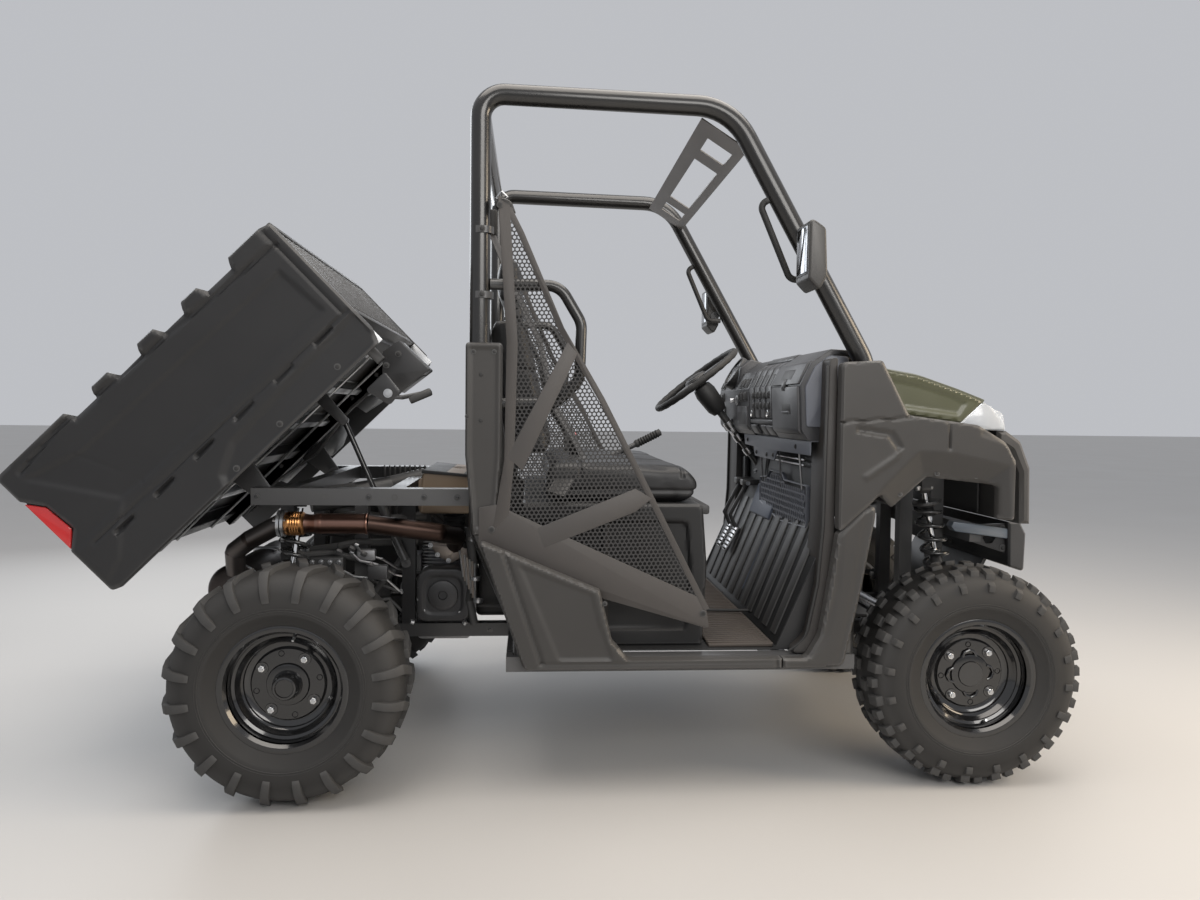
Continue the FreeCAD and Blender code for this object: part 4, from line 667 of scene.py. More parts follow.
def moulded(piece, look, rows, face, back, reliefs=(), paints=(), step=5.0, roll=5.0, plane="xz",
        curve=None):
    # a moulded skin: outline rows, its outer face and its back; reliefs are depth, softness and outline
    outline = np.array([tuple(p) for p in rounded(rows)])
    low, high = outline.min(0) - step, outline.max(0) + step
    xs = np.arange(low[0], high[0] + step, step)
    zs = np.arange(low[1], high[1] + step, step)
    px, pz = np.meshgrid(xs, zs, indexing="ij")
    edge = farFrom(px, pz, rows)
    good = edge < 0.55 * step
    cells = good[:-1, :-1] & good[1:, :-1] & good[1:, 1:] & good[:-1, 1:]
    flat = np.stack([px.ravel(), pz.ravel()], 1)
    shares = np.zeros(px.shape, int)
    for here in (shares[:-1, :-1], shares[1:, :-1], shares[1:, 1:], shares[:-1, 1:]):
        here += cells
    border = (shares > 0) & (shares < 4) & (np.abs(edge) < 1.15 * step)
    rim = (border | (edge > -0.45 * step) & (edge < 0.6 * step)).ravel()
    flat[rim] = nearest(flat[rim], rows)
    qx, qz = flat[:, 0], flat[:, 1]
    depth = np.zeros(len(flat))
    for amount, soft, shape in reliefs:
        share = np.clip(0.5 - farFrom(qx, qz, shape) / soft, 0, 1)
        depth += amount * share * share * (3 - 2 * share)
    if curve:
        depth += curve(qx, qz)
    if roll:
        close = np.clip(roll + farFrom(qx, qz, rows), 0, roll)
        depth += roll - np.sqrt(np.maximum(roll * roll - close * close, 0))
    sign = 1 if face > back else -1
    across = face - sign * depth
    part = bmesh.new()
    wide = px.shape[1]
    verts = {}

    def corner(index):
        if index not in verts:
            spot = {"xz": (qx[index], across[index], qz[index]),
                "yz": (across[index], qx[index], qz[index]),
                "xy": (qx[index], qz[index], across[index])}[plane]
            verts[index] = part.verts.new(spot)
        return verts[index]

    base = piece.finish(look)
    painted = []
    for shade, shape in paints:
        painted.append((piece.finish(shade), farFrom(qx, qz, shape) < 0.5))
    for i, k in zip(*np.nonzero(cells)):
        ring = [i * wide + k, (i + 1) * wide + k, (i + 1) * wide + k + 1, i * wide + k + 1]
        madeFace = part.faces.new([corner(index) for index in ring])
        madeFace.material_index = base
        for shade, share in painted:
            if share[ring].all():
                madeFace.material_index = shade
    bmesh.ops.remove_doubles(part, verts=part.verts, dist=0.02)
    rimEdges = [e for e in part.edges if len(e.link_faces) == 1]
    pulled = bmesh.ops.extrude_edge_only(part, edges=rimEdges)["geom"]
    axis = {"xz": 1, "yz": 0, "xy": 2}[plane]
    for item in pulled:
        if isinstance(item, bmesh.types.BMVert):
            item.co[axis] = back
    rimEdges = [e for e in part.edges if len(e.link_faces) == 1]
    bmesh.ops.holes_fill(part, edges=rimEdges, sides=0)
    bmesh.ops.recalc_face_normals(part, faces=part.faces)
    for item in part.faces:
        item.smooth = True
    return piece.absorb(part)


# wheels
def tyreShape(name, body, node, x, y, z, sizes):
    outer = 1 if y > 0 else -1
    piece = Piece(name, body)
    crown, half, lip = sizes["radius"] - sizes["lug"], sizes["half"], sizes["lip"]
    profile = [
        # along the axle from the middle, radius
        (sizes["rimHalf"] - 12, lip - 8), (sizes["rimHalf"] - 1, lip + 2), (sizes["rimHalf"] + 3, lip + 7),
        (half - 8, lip + 26),
        (half - 3, lip + 31), (half - 1, lip + 36), (half, lip + 60), (half - 4, lip + 78),
        (half - 12, crown - 24),
        (half - 30, crown - 7), (half - 60, crown), (0, crown + 2),
    ]
    rows = profile + [(-a, r) for a, r in reversed(profile[:-1])]
    piece.lathe("tyre", rows, (x, y, z), toLeft, sides=120)
    for ridge in sizes["ridges"]:
        for side in (-1, 1):
            piece.lathe("tyre", [(side * (half - 3), ridge - 1.5), (side * (half + 0.6), ridge),
                (side * (half - 3), ridge + 1.5)], (x, y, z), toLeft, sides=96)
    lug = Piece("lug", body)
    for rows in sizes["lugs"]:
        lug.hull("tyre", rows, bevel=1.6)
    source = sourceOf(lug, "tyre")
    ring = grown("ring", {"Source": source, "Count": sizes["count"], "Turn": 0.0, "Finish": stuff["tyre"]})
    bpy.data.objects.remove(source)
    if outer < 0:
        ring.transform(Matrix.Scale(-1, 4, toLeft))
        ring.flip_normals()
    addMesh(piece, ring, "tyre", Matrix.Translation((x, y, z)))
    return piece.done(node, slot="tyre_rubber", sharp=35)


rearTyre = {"radius": 312, "half": 122, "lip": 163, "rimHalf": 102, "lug": 15, "count": 20,
    "ridges": (206, 212)}
frontTyre = {"radius": 304.5, "half": 110, "lip": 163, "rimHalf": 95, "lug": 13, "count": 20,
    "ridges": (203, 209)}
pitch = radians(18)


def lugOf(rows):
    corners = []
    for along, low, high, half, turn in rows:
        for depth in (low, high):
            for side in (-1, 1):
                angle = turn + side * half / depth
                corners.append((sin(angle) * depth, along, cos(angle) * depth))
    return corners


rearLugs = []
for side, start in ((-1, 0.0), (1, pitch / 2)):
    # along, lowest radius, highest radius, half width, turn round the axle
    rearLugs.append(lugOf([(side * -6, 286, 311.5, 12, start + 0.10),
        (side * 60, 284, 311, 12.5, start + 0.03), (side * 88, 270, 305, 13, start)]))
    rearLugs.append(lugOf([(side * 88, 268, 305, 13, start), (side * 108, 246, 290, 12, start),
        (side * 124, 240, 262, 10, start), (side * 122, 228, 236, 9, start)]))
rearTyre["lugs"] = rearLugs
frontLugs = []
for side, start in ((-1, 0.0), (1, pitch / 2)):
    frontLugs.append(lugOf([(side * 10, 282, 304, 15, start + 0.05),
        (side * 46, 280, 303.5, 14, start + 0.05)]))
    frontLugs.append(lugOf([(side * 58, 278, 302, 14, start - 0.06),
        (side * 92, 268, 292, 13, start - 0.06)]))
    frontLugs.append(lugOf([(side * 96, 244, 270, 10, start - 0.06),
        (side * 110, 243, 262, 9, start - 0.06)]))
    frontLugs.append(lugOf([(side * 60, 278, 303, 13, start + 0.11),
        (side * 84, 270, 297, 12, start + 0.11)]))
frontTyre["lugs"] = frontLugs


def rimShape(name, body, node, x, y, z, sizes):
    s = 1 if y > 0 else -1
    piece = Piece(name, body)
    half, hole = sizes["rimHalf"], sizes["disc"]
    outline = [
        # along the axle outwards from the middle, radius
        (half - 10, 143), (half - 1, 150), (half, 156), (half + 0.2, 161), (half - 1, 164.5),
        (half - 3, 166), (half - 8, 165), (half - 10, 156),
        (half - 12, 150), (20, 148), (-half + 10, 148), (-half + 4, 164), (-half, 165), (-half, 156),
        (-half + 6, 146), (-half + 10, 144),
        (0, 142), (hole + 34, 142), (hole + 34, 138),
    ]
    steps = [(hole + 30, 137), (hole + 26, 130), (hole + 22, 128), (hole + 17, 122), (hole + 13, 120),
        (hole + 9, 114), (hole + 4, 112), (hole, 106), (hole - 1, 98)]
    face = [(hole + 3, 94), (hole + 7, 92), (hole + 8, 64), (hole + 8, 56), (hole + 13, 53),
        (hole + 15, 40), (hole + 15, 0)]
    back = [(hole - 8, 0), (hole - 8, 108), (hole - 4, 118), (hole + 14, 141), (half - 20, 143)]
    piece.lathe("rimPaint", [(s * a, r) for a, r in outline + steps + face], (x, y, z), toLeft, sides=96)
    piece.lathe("rimPaint", [(s * a, r) for a, r in back], (x, y, z), toLeft, sides=64)
    face = hole + 8
    for k in range(4):
        turn = radians(45 + 90 * k + sizes["turn"])
        spot = (x + 78 * cos(turn), y + s * face, z + 78 * sin(turn))
        piece.lathe("rimPaint", [(-s * 1, 0), (-s * 1, 17), (s * 2, 15.5), (s * 2, 0)], spot, toLeft, 24)
        piece.lathe("chrome", [(0, 0), (0, 10.5), (s * 9, 10), (s * 11, 8.5), (s * 11, 0)], spot, toLeft, 6,
            bevel=0.8)
        piece.lathe("zinc", [(0, 0), (s * 15, 0.02), (s * 15, 5.5), (s * 10, 6), (0, 6)], spot, toLeft, 14)
        other = turn + radians(45)
        spot = (x + 82 * cos(other), y + s * (face + 0.3), z + 82 * sin(other))
        piece.lathe("rimPaint", [(s * 0, 8), (s * 1.2, 7), (-s * 3, 5), (-s * 3, 0)], spot, toLeft, 16)
    cap = sizes["cap"]
    piece.lathe("rimPaint", [(s * a, r) for a, r in cap], (x, y + s * face, z), toLeft, 48)
    if sizes["square"]:
        for k in range(4):
            turn = radians(45 + 90 * k + sizes["turn"] + 45)
            spot = Vector((x + 47 * cos(turn), y + s * (face + 4), z + 47 * sin(turn)))
            piece.tube("rimPaint", [spot + Vector((cos(turn + t) * 20, 0, sin(turn + t) * 20))
                for t in (-1.5, -0.8, 0, 0.8, 1.5)], 4, 8)
    turn = radians(sizes["valve"])
    root = Vector((x + 137 * cos(turn), y + s * (hole + 24), z + 137 * sin(turn)))
    tip = root + Vector((-12 * cos(turn), s * 24, -12 * sin(turn)))
    piece.tube("rubber", [root, root.lerp(tip, 0.6)], 4.5, 12)
    piece.tube("zinc", [root.lerp(tip, 0.6), tip], 3.2, 12)
    return piece.done(node, slot="rim_black", sharp=30)


wheelRows = [
    # end, side, x, y, z, tyre, rim details
    ("Rear", "Right", 0, -600, 312, rearTyre, {"turn": 12, "valve": 80}),
    ("Rear", "Left", 0, 600, 312, rearTyre, {"turn": 30, "valve": 200}),
    ("Front", "Right", 1854, -545, 304.5, frontTyre, {"turn": 4, "valve": 285}),
    ("Front", "Left", 1854, 545, 304.5, frontTyre, {"turn": 22, "valve": 60}),
]
for end, side, x, y, z, tyre, more in wheelRows:
    body = f"wheel_{end.lower()}_{side.lower()}"
    tyreShape(f"tyre{end}{side}", body, f"tyre_{end.lower()}_{side.lower()}", x, y, z, tyre)
    half = tyre["rimHalf"]
    cap = [(0, 0), (0, 38), (6, 37), (10, 34), (10, 0)] if end == "Front" else [(-2, 0), (-2, 40), (12, 38),
        (34, 33), (40, 29), (41, 24), (38, 22), (38, 0)]
    rimShape(f"rim{end}{side}", body, f"rim_{end.lower()}_{side.lower()}", x, y, z,
        {"rimHalf": half, "disc": half - 62, "cap": cap, "square": end == "Front", **more})
print("wheels made")

# cargo bed, in its lowered place; it is turned up as it is placed
bedSizes = {
    "top": 1260, "half": 620, "wall": 18, "notches": ((193, 288), (41, 122), (-118, -31), (-270, -190)),
    "slots": (330, 190, 50, -90, -230, -370), "floorRibs": 20, "headRibs": 22, "hats": 6,
}


def bedOutline():
    top = bedSizes["top"]
    rows = [(-495, 846, 8), (420, 844, 8), (435, 884, 6), (435, 1250, 8), (404, top, 6)]
    for x0, x1 in bedSizes["notches"]:
        rows += [(x1 + 9, top, 3), (x1 - 6, top - 25, 3), (x0 + 6, top - 25, 3), (x0 - 9, top, 3)]
    return rows + [(-517, top - 2, 14), (-517, 1176), (-478, 1122), (-470, 1036), (-517, 998),
        (-517, 856, 12)]


bedTub = Piece("bedTub", "bed", bed=True)
slotShapes = [[(x - 34, 947), (x + 30, 949), (x + 34, 958), (x - 30, 956)] for x in bedSizes["slots"]]
bedReliefs = [
    # depth, softness, outline
    (6, 7, [(413, 1196), (-311, 1237), (-466, 1221), (-466, 1231), (-311, 1249), (413, 1207)]),
    (5, 9, [(366, 1146), (377, 1000), (-262, 1000), (-330, 1160)]),
    (5, 12, [(-466, 1206), (-330, 1166), (-262, 1000), (-330, 1008)]),
    (3.5, 7, [(423, 946), (-28, 921), (-112, 878), (-124, 844), (435, 844)]),
    (4, 6, [(428, 937), (-26, 912), (-104, 872), (-112, 850), (428, 850)]),
    (4, 6, [(410, 1248), (402, 1248), (402, 960), (410, 960)]),
    (4, 6, [(423, 962), (-462, 976), (-462, 968), (423, 953)]),
    (-3.5, 14, [(-440, 900), (-330, 1000), (-505, 985), (-505, 880)]),
    (-3, 10, [(395, 1260), (-505, 1260), (-505, 1252), (-311, 1256), (395, 1216)]),
]
bedReliefs += [(8, 5, shape) for shape in slotShapes]
ledges = [(7, 8, [(x0 - 4, 1240), (x1 + 4, 1240), (x1 - 2, 1222), (x0 + 2, 1222)]) for x0,
    x1 in bedSizes["notches"]]
outside = -bedSizes["half"]
# the six slots are sunk and painted in dark plastic: painted shade inside the slot openings
moulded(bedTub, "bedPlastic", bedOutline(), outside, outside + bedSizes["wall"], bedReliefs + ledges,
    [("darkPlastic", shape) for shape in slotShapes], step=5.8, roll=6)
inner = [(-503, 948), (430, 948), (430, 1256, 6), (404, 1256, 4)]
for x0, x1 in bedSizes["notches"]:
    inner += [(x1 + 12, 1256), (x1 - 2, 1228), (x0 + 2, 1228), (x0 - 12, 1256)]
inner += [(-500, 1256, 8)]
bedTub.slab("bedPlastic", inner, -603, -533, bevel=3)
for x in (-430, -280, -130, 20, 170, 320):
    bedTub.hull("bedPlastic", [(x + a, -537 + b, z) for a in (-16, 16) for b,
        z in ((0, 975), (10, 975), (0, 1200), (6, 1200))]
        + [(x + a, -529, z) for a in (-10, 10) for z in (975, 1190)])
bedTub.bolts("rubber", -612, ((300, 872), (90, 868), (-70, 862), (405, 1100), (405, 1180)), radius=6,
    height=3)
bedTub.slab("darkPlastic", [(-514, 1172), (-480, 1124), (-473, 1036), (-514, 1002)], -602, -560)
bedTub.mirrored()
bedTub.slab("bedPlastic", [(-533, 946), (533, 946), (533, 968), (-533, 968)], -512, 432, bevel=2,
    plane="yz")
ribs = Piece("rib", "bed")
ribs.hull("bedPlastic", prism(((-468, 0), (405, 0), (-460, 6), (397, 6)), (-12, 12)), bevel=1.5)
rowed(bedTub, ribs, "bedPlastic", bedSizes["floorRibs"], (0, 0.0525, 0), (0, -0.499, 0),
    Matrix.Translation((0, 0, 967.5)))
# headboard with its upright ribs and top cap
bedTub.slab("bedPlastic", [(-604, 948), (604, 948), (604, 1254, 8), (-604, 1254, 8)], 404, 424, bevel=2,
    plane="yz")
bedTub.slab("bedPlastic", [(-604, 1236), (604, 1236), (604, 1259, 6), (-604, 1259, 6)], 398, 435, bevel=4,
    plane="yz")
headRib = Piece("headRib", "bed")
headRib.hull("bedPlastic", [(x, y, z) for x, half, z0,
    z1 in ((0, 15, 962, 1232), (10.5, 8, 972, 1224)) for y in (-half, half) for z in (z0, z1)], bevel=1.5)
rowed(bedTub, headRib, "bedPlastic", bedSizes["headRibs"], (0, 0.054, 0), (0, -0.567, 0),
    Matrix.Translation((423, 0, 0)))
bedTub.done("bed_tub", slot="bed_charcoal")

# lamps at the back corners
tail = Piece("tailLamps", "bed", bed=True)
tail.hull("lensRed", [(-516, y, z) for y, z in ((-612, 1003), (-612, 1166), (-572, 1003), (-572, 1166))]
    + [(x, -611, z) for x, z in ((-482, 1122), (-476, 1040))]
    + [(x, -575, z) for x, z in ((-486, 1118), (-482, 1046))], bevel=4, segments=3)
tail.hull("lensClear", boxed((0, 0, 0), (-518, -514), (-600, -584), (1050, 1082)), bevel=1)
tail.mirrored().done("tail_lamps", slot="lamp_red", sharp=40)

# tailgate
gate = Piece("tailgateSkin", "tailgate", bed=True)
gateField = [(-430, 1030, 12), (430, 1030, 12), (430, 1168, 12), (-430, 1168, 12)]
moulded(gate, "bedPlastic", [(-526, 982, 8), (526, 982, 8), (526, 1251, 10), (-526, 1251, 10)], -517, -486,
    [(5, 9, gateField), (14, 7, [(-88, 1190, 8), (88, 1190, 8), (88, 1225, 8), (-88, 1225, 8)])], step=7,
    roll=6, plane="yz")
gate.slab("darkPlastic", [(-80, 1203), (80, 1203), (80, 1212), (-80, 1212)], -516, -508, bevel=1.5,
    plane="yz")
for y in (-360, -180, 0, 180, 360):
    gate.hull("bedPlastic", [(x, y + a, z) for x,
        half in ((-486, 20), (-482, 14)) for a in (-half, half) for z in (1010, 1225)], bevel=1.5)
for y in (-533, 533):
    gate.pin("zinc", -8, 8, 6, (-499, y, 999), toLeft, 20)
gate.done("tailgate", slot="bed_charcoal")
print("bed made")

# framework under the bed
under = Piece("bedUnder", "bed", bed=True)
for y in (-325, 325):
    under.slab("framePaint", [(-480, 892, 3), (400, 892, 3), (400, 945), (-480, 945)], y - 24, y + 24)
    for x in (-440, -320, -200, 30, 150, 270, 370):
        under.lathe("darkPlastic", [(0, 0), (0, 8), (1.2, 7), (1.2, 0)], (x, y - 24, 918), toRight, 14)
hat = Piece("hat", "bed")
hat.slab("zinc", [(-24, 0), (-24, 3), (-17, 3), (-12, 34), (12, 34), (17, 3), (24, 3), (24, 0), (14, 0),
    (9, 30), (-9, 30), (-14, 0)], -540, 540, bevel=0.6, segments=1)
overturned = Matrix.Translation((0, 0, 945.5)) @ Matrix.Rotation(pi, 4, "X")
rowed(under, hat, "zinc", bedSizes["hats"], (0.158, 0, 0), (-0.45, 0, 0), overturned)
plates = [
    # outline in x and z, y low, y high
    ([(432, 852), (452 - 20, 838 + 8), (346, 846), (330, 900), (330, 944), (432, 944)], -592, -588),
    ([(250, 944), (250, 880, 6), (180, 866, 8), (110, 880, 6), (96, 944)], -592, -588),
    ([(30, 944), (20, 878, 6), (-40, 850, 8), (-104, 850, 8), (-110, 944)], -586, -582),
    ([(-190, 944), (-190, 894, 5), (-300, 894, 5), (-320, 944)], -592, -588),
]
for rows, y0, y1 in plates:
    under.slab("zinc", rows, y0, y1, bevel=0.8)
    middle = sum(row[0] for row in rows) / len(rows)
    for dx in (-22, 22):
        under.bolt("steel", (middle + dx, y0, 925), toRight, radius=6)
for x in (-470, -150, 360):
    under.slab("framePaint", [(x, 907, 3), (x + 40, 907, 3), (x + 40, 944), (x, 944)], -560, 560)
under.mirrored()
for y0, y1 in ((433, 445), (-445, -433)):
    under.slab("framePaint", [(-160, 945), (-60, 945), (-90, 776, 6), (-112, 760, 20), (-134, 776, 6)], y0,
        y1, bevel=1.5)
    under.collar("framePaint", -7, 7, 13, 22, (-112, (y0 + y1) / 2, 782), toLeft, 28)
under.slab("framePaint", [(140, 920), (180, 920), (172, 797, 8), (146, 797, 8)], -267, -256.5, bevel=1)
under.slab("framePaint", [(140, 907), (180, 907), (180, 944), (140, 944)], -310, -256.5, bevel=1.5)
for y in (-542, 468):
    under.slab("rubber", [(372, 816, 4), (398, 816, 4), (398, 905), (372, 905)], y + 1, y + 23, bevel=3)
loops = [(-420, 300, 880), (-250, 250, 872), (-60, 262, 884), (120, 236, 870), (330, 262, 878)]
under.tube("rubber", [(*row, 60) for row in loops], 5, 8)
under.tube("zinc", [(-470, -180, 905, 0), (-250, -200, 896, 60), (60, -170, 902, 60), (360, -190, 900, 0)],
    4, 8)
under.tube("zinc", [(-470, 120, 904, 0), (-200, 60, 896, 60), (150, 120, 902, 60), (380, 90, 902, 0)], 4, 8)
under.done("bed_frame", slot="frame_black")
# latch lever and the open ends of the bed's own frame
latch = Piece("bedLatch", "bed", bed=True)
latch.tube("framePaint", [(330, -532, 738), (345, -532, 697, 16), (423, -532, 667)], 6, 14)
latch.lathe("rubber", [(0, 0), (0, 10), (3, 11), (58, 11), (62, 9), (64, 0)], (366, -532, 689),
    (78, 0, -30), 20)
latch.slab("framePaint", [(300, 790, 8), (372, 790, 8), (366, 722, 12), (318, 716, 12)], -538, -526)
latch.lathe("zinc", [(0, 0), (0, 12), (5, 12), (5, 7), (9, 7), (9, 0)], (338, -538, 742), toRight, 24)
for y in (-442, -346):
    latch.slab("framePaint", [(352, 733), (458, 721, 6), (454, 838, 6), (400, 846), (352, 800)], y - 3,
        y + 3, bevel=1)
latch.slab("framePaint", [(432, 726), (458, 723, 5), (455, 836, 5), (434, 838)], -440, -348)
latch.slab("framePaint", [(354, 732), (432, 724), (432, 732), (354, 740)], -440, -348, bevel=1)
latch.bolts("rubber", -445.5, ((380, 812), (426, 812)), radius=6)
latch.done(slot="frame_black", sharp=40)
print("framework under the bed made")

# seats and headrests, swollen by cloth simulation
seat = {"voxel": 0.0075, "pressure": 4.0, "frames": 20, "seamDepth": 5.0, "seamWidth": 5.0}


def swollen(name, node, forms, cap, seams, twin=False):
    piece = Piece(name)
    for rows, y0, y1, bevel in forms:
        piece.slab("vinyl", rows, y0, y1, bevel=bevel, segments=4)
    if twin:
        piece.mirrored()
    piece.place()
    data = bpy.data.meshes.new(name)
    piece.mesh.to_mesh(data)
    piece.mesh.free()
    item = shown(name, data)
    remesh = item.modifiers.new("remesh", "REMESH")
    remesh.mode = "VOXEL"
    remesh.voxel_size = seat["voxel"]
    relax = item.modifiers.new("relax", "SMOOTH")
    relax.factor, relax.iterations = 0.5, 6
    graph = bpy.context.evaluated_depsgraph_get()
    base = bpy.data.meshes.new_from_object(item.evaluated_get(graph))
    item.modifiers.clear()
    item.data = base
    count = len(base.vertices)
    before = np.empty(count * 3)
    base.vertices.foreach_get("co", before)
    before = before.reshape(-1, 3)
    after = before.copy()
    cloth = item.modifiers.new("cloth", "CLOTH")
    cloth.settings.use_pressure = True
    cloth.settings.uniform_pressure_force = seat["pressure"]
    cloth.settings.effector_weights.gravity = 0
    for frameNumber in range(1, seat["frames"] + 1):
        scene.frame_set(frameNumber)
    graph = bpy.context.evaluated_depsgraph_get()
    result = item.evaluated_get(graph).to_mesh()
    if len(result.vertices) == count:
        result.vertices.foreach_get("co", after.reshape(-1))
    item.evaluated_get(graph).to_mesh_clear()
    item.modifiers.clear()
    scene.frame_set(1)
    moved = after - before
    far = np.linalg.norm(moved, axis=1)[:, None]
    spots = before + moved * np.minimum(1, cap / 1000 / np.maximum(far, 1e-9))
    base.vertices.foreach_set("co", spots.ravel())
    base.update()
    fine = item.modifiers.new("fine", "SUBSURF")
    fine.levels = fine.render_levels = 1
    graph = bpy.context.evaluated_depsgraph_get()
    final = bpy.data.meshes.new_from_object(item.evaluated_get(graph))
    item.modifiers.clear()
    item.data = final
    normals = [tuple(v.normal) for v in final.vertices]
    for vert, normal in zip(final.vertices, normals):
        x = vert.co.x * 1000 + vehicle["midX"]
        y, z = vert.co.y * 1000, vert.co.z * 1000
        push = 0
        for kind, value, lean, test in seams:
            place = abs(y) if kind == "y" else (z + lean * x if kind == "z" else x + lean * z)
            if test(x, abs(y), z):
                push += exp(-((place - value) / seat["seamWidth"]) ** 2)
        if push:
            vert.co -= Vector(normal) * (seat["seamDepth"] * min(push, 1.2) / 1000)
    for face in final.polygons:
        face.use_smooth = True
    final.materials.clear()
    final.materials.append(stuff["vinyl"])
    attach(item, "chassis")
    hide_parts(node)
    return item


cushionRows = [(652, 782, 20), (1080, 782, 24), (1110, 822, 30), (1075, 862, 34), (720, 874, 20),
    (660, 872, 16)]
swollen("benchCushion", "seat_cushion", [(cushionRows, -508, 508, 24)], 12, [
    ("y", 168, 0, lambda x, y, z: z > 800 and x > 700), ("y", 184, 0, lambda x, y, z: z > 800 and x > 700),
    ("x", 1048, 0, lambda x, y, z: z > 840), ("x", 760, 0, lambda x, y, z: z > 840 and y > 184),
    ("z", 806, 0, lambda x, y, z: True),
])
backRows = [(566, 902, 24), (676, 902, 20), (592, 1280, 24), (512, 1280, 18)]
swollen("seatBackPads", "seat_backs", [(backRows, -510, -30, 24)], 12, [
    ("y", 120, 0, lambda x, y, z: x + 0.2 * z > 800), ("y", 420, 0, lambda x, y, z: x + 0.2 * z > 800),
    ("z", 1020, 0.2, lambda x, y, z: x + 0.2 * z > 800),
    ("z", 1260, 0.2, lambda x, y, z: x + 0.2 * z > 800),
], twin=True)
restRows = [(528, 1336, 18), (592, 1336, 22), (578, 1462, 22), (528, 1462, 22)]
swollen("headrestPads", "headrests", [(restRows, -392, -148, 22)], 8,
    [("y", 190, 0, lambda x, y, z: x > 560), ("y", 350, 0, lambda x, y, z: x > 560)], twin=True)
posts = Piece("headrestPosts")
for y in (-330, -210):
    posts.tube("chrome", [(552, y, 1292), (552, y, 1345)], 6.5, 14)
    posts.lathe("rubber", [(0, 0), (0, 15), (8, 13), (8, 0)], (552, y, 1291), upright, 20)
posts.mirrored().done(slot="bright_steel", sharp=40)
print("seats made")

# belts, buckles and the small levers by the seat
belt = {"width": 48, "thick": 1.6}


def strap(piece, look, rows, width, thick, spread, bendSteps=8):
    # a flat band along a bent line; spread is the direction of its width
    line = bent(rows, bendSteps)
    part = bmesh.new()
    rings = []
    for i, point in enumerate(line):
        ahead = (line[min(i + 1, len(line) - 1)] - line[max(i - 1, 0)]).normalized()
        wide = Vector(spread[min(i, len(spread) - 1)] if isinstance(spread, list) else spread)
        wide = (wide - ahead * wide.dot(ahead)).normalized()
        up = ahead.cross(wide).normalized()
        ring = []
        for a, b in ((-1, -0.5), (-0.5, -0.62), (0, -0.5), (0.5, -0.62), (1, -0.5), (1, 0.5), (0.5, 0.62),
                (0, 0.5), (-0.5, 0.62), (-1, 0.5)):
            ring.append(part.verts.new(point + wide * a * width / 2 + up * b * thick))
        rings.append(ring)
    for one, two in zip(rings, rings[1:]):
        for k in range(10):
            part.faces.new((one[k], one[(k + 1) % 10], two[(k + 1) % 10], two[k]))
    part.faces.new(list(reversed(rings[0])))
    part.faces.new(rings[-1])
    piece.take(part, look, 0)


belts = Piece("seatBelts")
strap(belts, "webbing", [(512, -566, 1500), (560, -540, 1330, 60), (610, -500, 1180, 80),
    (690, -420, 1010, 80), (745, -330, 905, 60), (780, -240, 884)], belt["width"], belt["thick"],
    (0.3, 1, 0.2))
strap(belts, "webbing", [(690, -540, 800), (720, -520, 880, 40), (760, -420, 896, 60), (772, -250, 890)],
    belt["width"], belt["thick"], toFront)
belts.block("rubber", 500, 528, -585 + 12, -545, 1495, 1560, bevel=6)
belts.hull("rubber", boxed((752, -226, 880), (-14, 14), (-9, 9), (0, 74)), bevel=5, segments=3)
belts.hull("lensRed", boxed((752, -226, 948), (-11, 11), (-6.5, 6.5), (0, 12)), bevel=3)
belts.mirrored().done(slot="net_black", sharp=40)
levers = Piece("seatLevers")
levers.tube("framePaint", [(872, 0, 872), (930, 0, 897), (1046, 0, 956)], 9, 14)
levers.lathe("rubber", [(0, 0), (0, 11), (4, 13),
    *[(9 + 9 * k + d, 14 - d % 2 * 0.5 - (2 if d else 0)) for k in range(9) for d in (0, 5)], (94, 12),
    (98, 0)], (968, 0, 916), (116, 0, 59), 20)
levers.block("rubber", 850, 900, -24, 24, 862, 884, bevel=6)
levers.done(slot="handle_rubber", sharp=40)

# side nets: a sheet of six-sided holes with sewn bands
netSizes = {"pitch": 0.0118, "open": 0.7, "plane": -623.4, "thick": 1.0, "area": 0.17}
netOutline = [(530, 1587), (590, 1496), (697, 1245), (807, 1058), (920, 841), (1095, 500), (1080, 470),
    (520, 700), (550, 893), (556, 1207)]


def netSheet(name, sign):
    mesh = grown("netting", {"Wide": 2.6, "Long": 1.15, "Pitch": netSizes["pitch"],
        "Open": netSizes["open"], "Finish": stuff["net"]})
    part = bmesh.new()
    part.from_mesh(mesh)
    bpy.data.meshes.remove(mesh)
    tilt = radians(62)
    px, pz = [], []
    for vert in part.verts:
        x, y = vert.co.x * 1000, vert.co.y * 1000
        u = 800 + x * cos(tilt) - y * sin(tilt)
        v = 1030 + x * sin(tilt) + y * cos(tilt)
        vert.co = (u, netSizes["plane"], v)
        px.append(u)
        pz.append(v)
    far = farFrom(np.array(px), np.array(pz), netOutline)
    part.verts.ensure_lookup_table()
    bmesh.ops.delete(part, geom=[v for v, d in zip(part.verts, far) if d > -4], context="VERTS")
    bmesh.ops.remove_doubles(part, verts=part.verts, dist=0.05)
    bmesh.ops.solidify(part, geom=part.faces[:], thickness=netSizes["thick"])
    for vert in part.verts:
        sag = 5 * sin(max(0, min(1, (vert.co.z - 480) / 1080)) * pi)
        vert.co.y = sign * abs(vert.co.y + sag)
    bmesh.ops.recalc_face_normals(part, faces=part.faces)
    data = bpy.data.meshes.new(name)
    for vert in part.verts:
        vert.co = put(*vert.co)
    for face in part.faces:
        face.smooth = False
    part.to_mesh(data)
    part.free()
    data.materials.append(stuff["net"])
    item = shown(name, data)
    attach(item, "chassis")
    return item


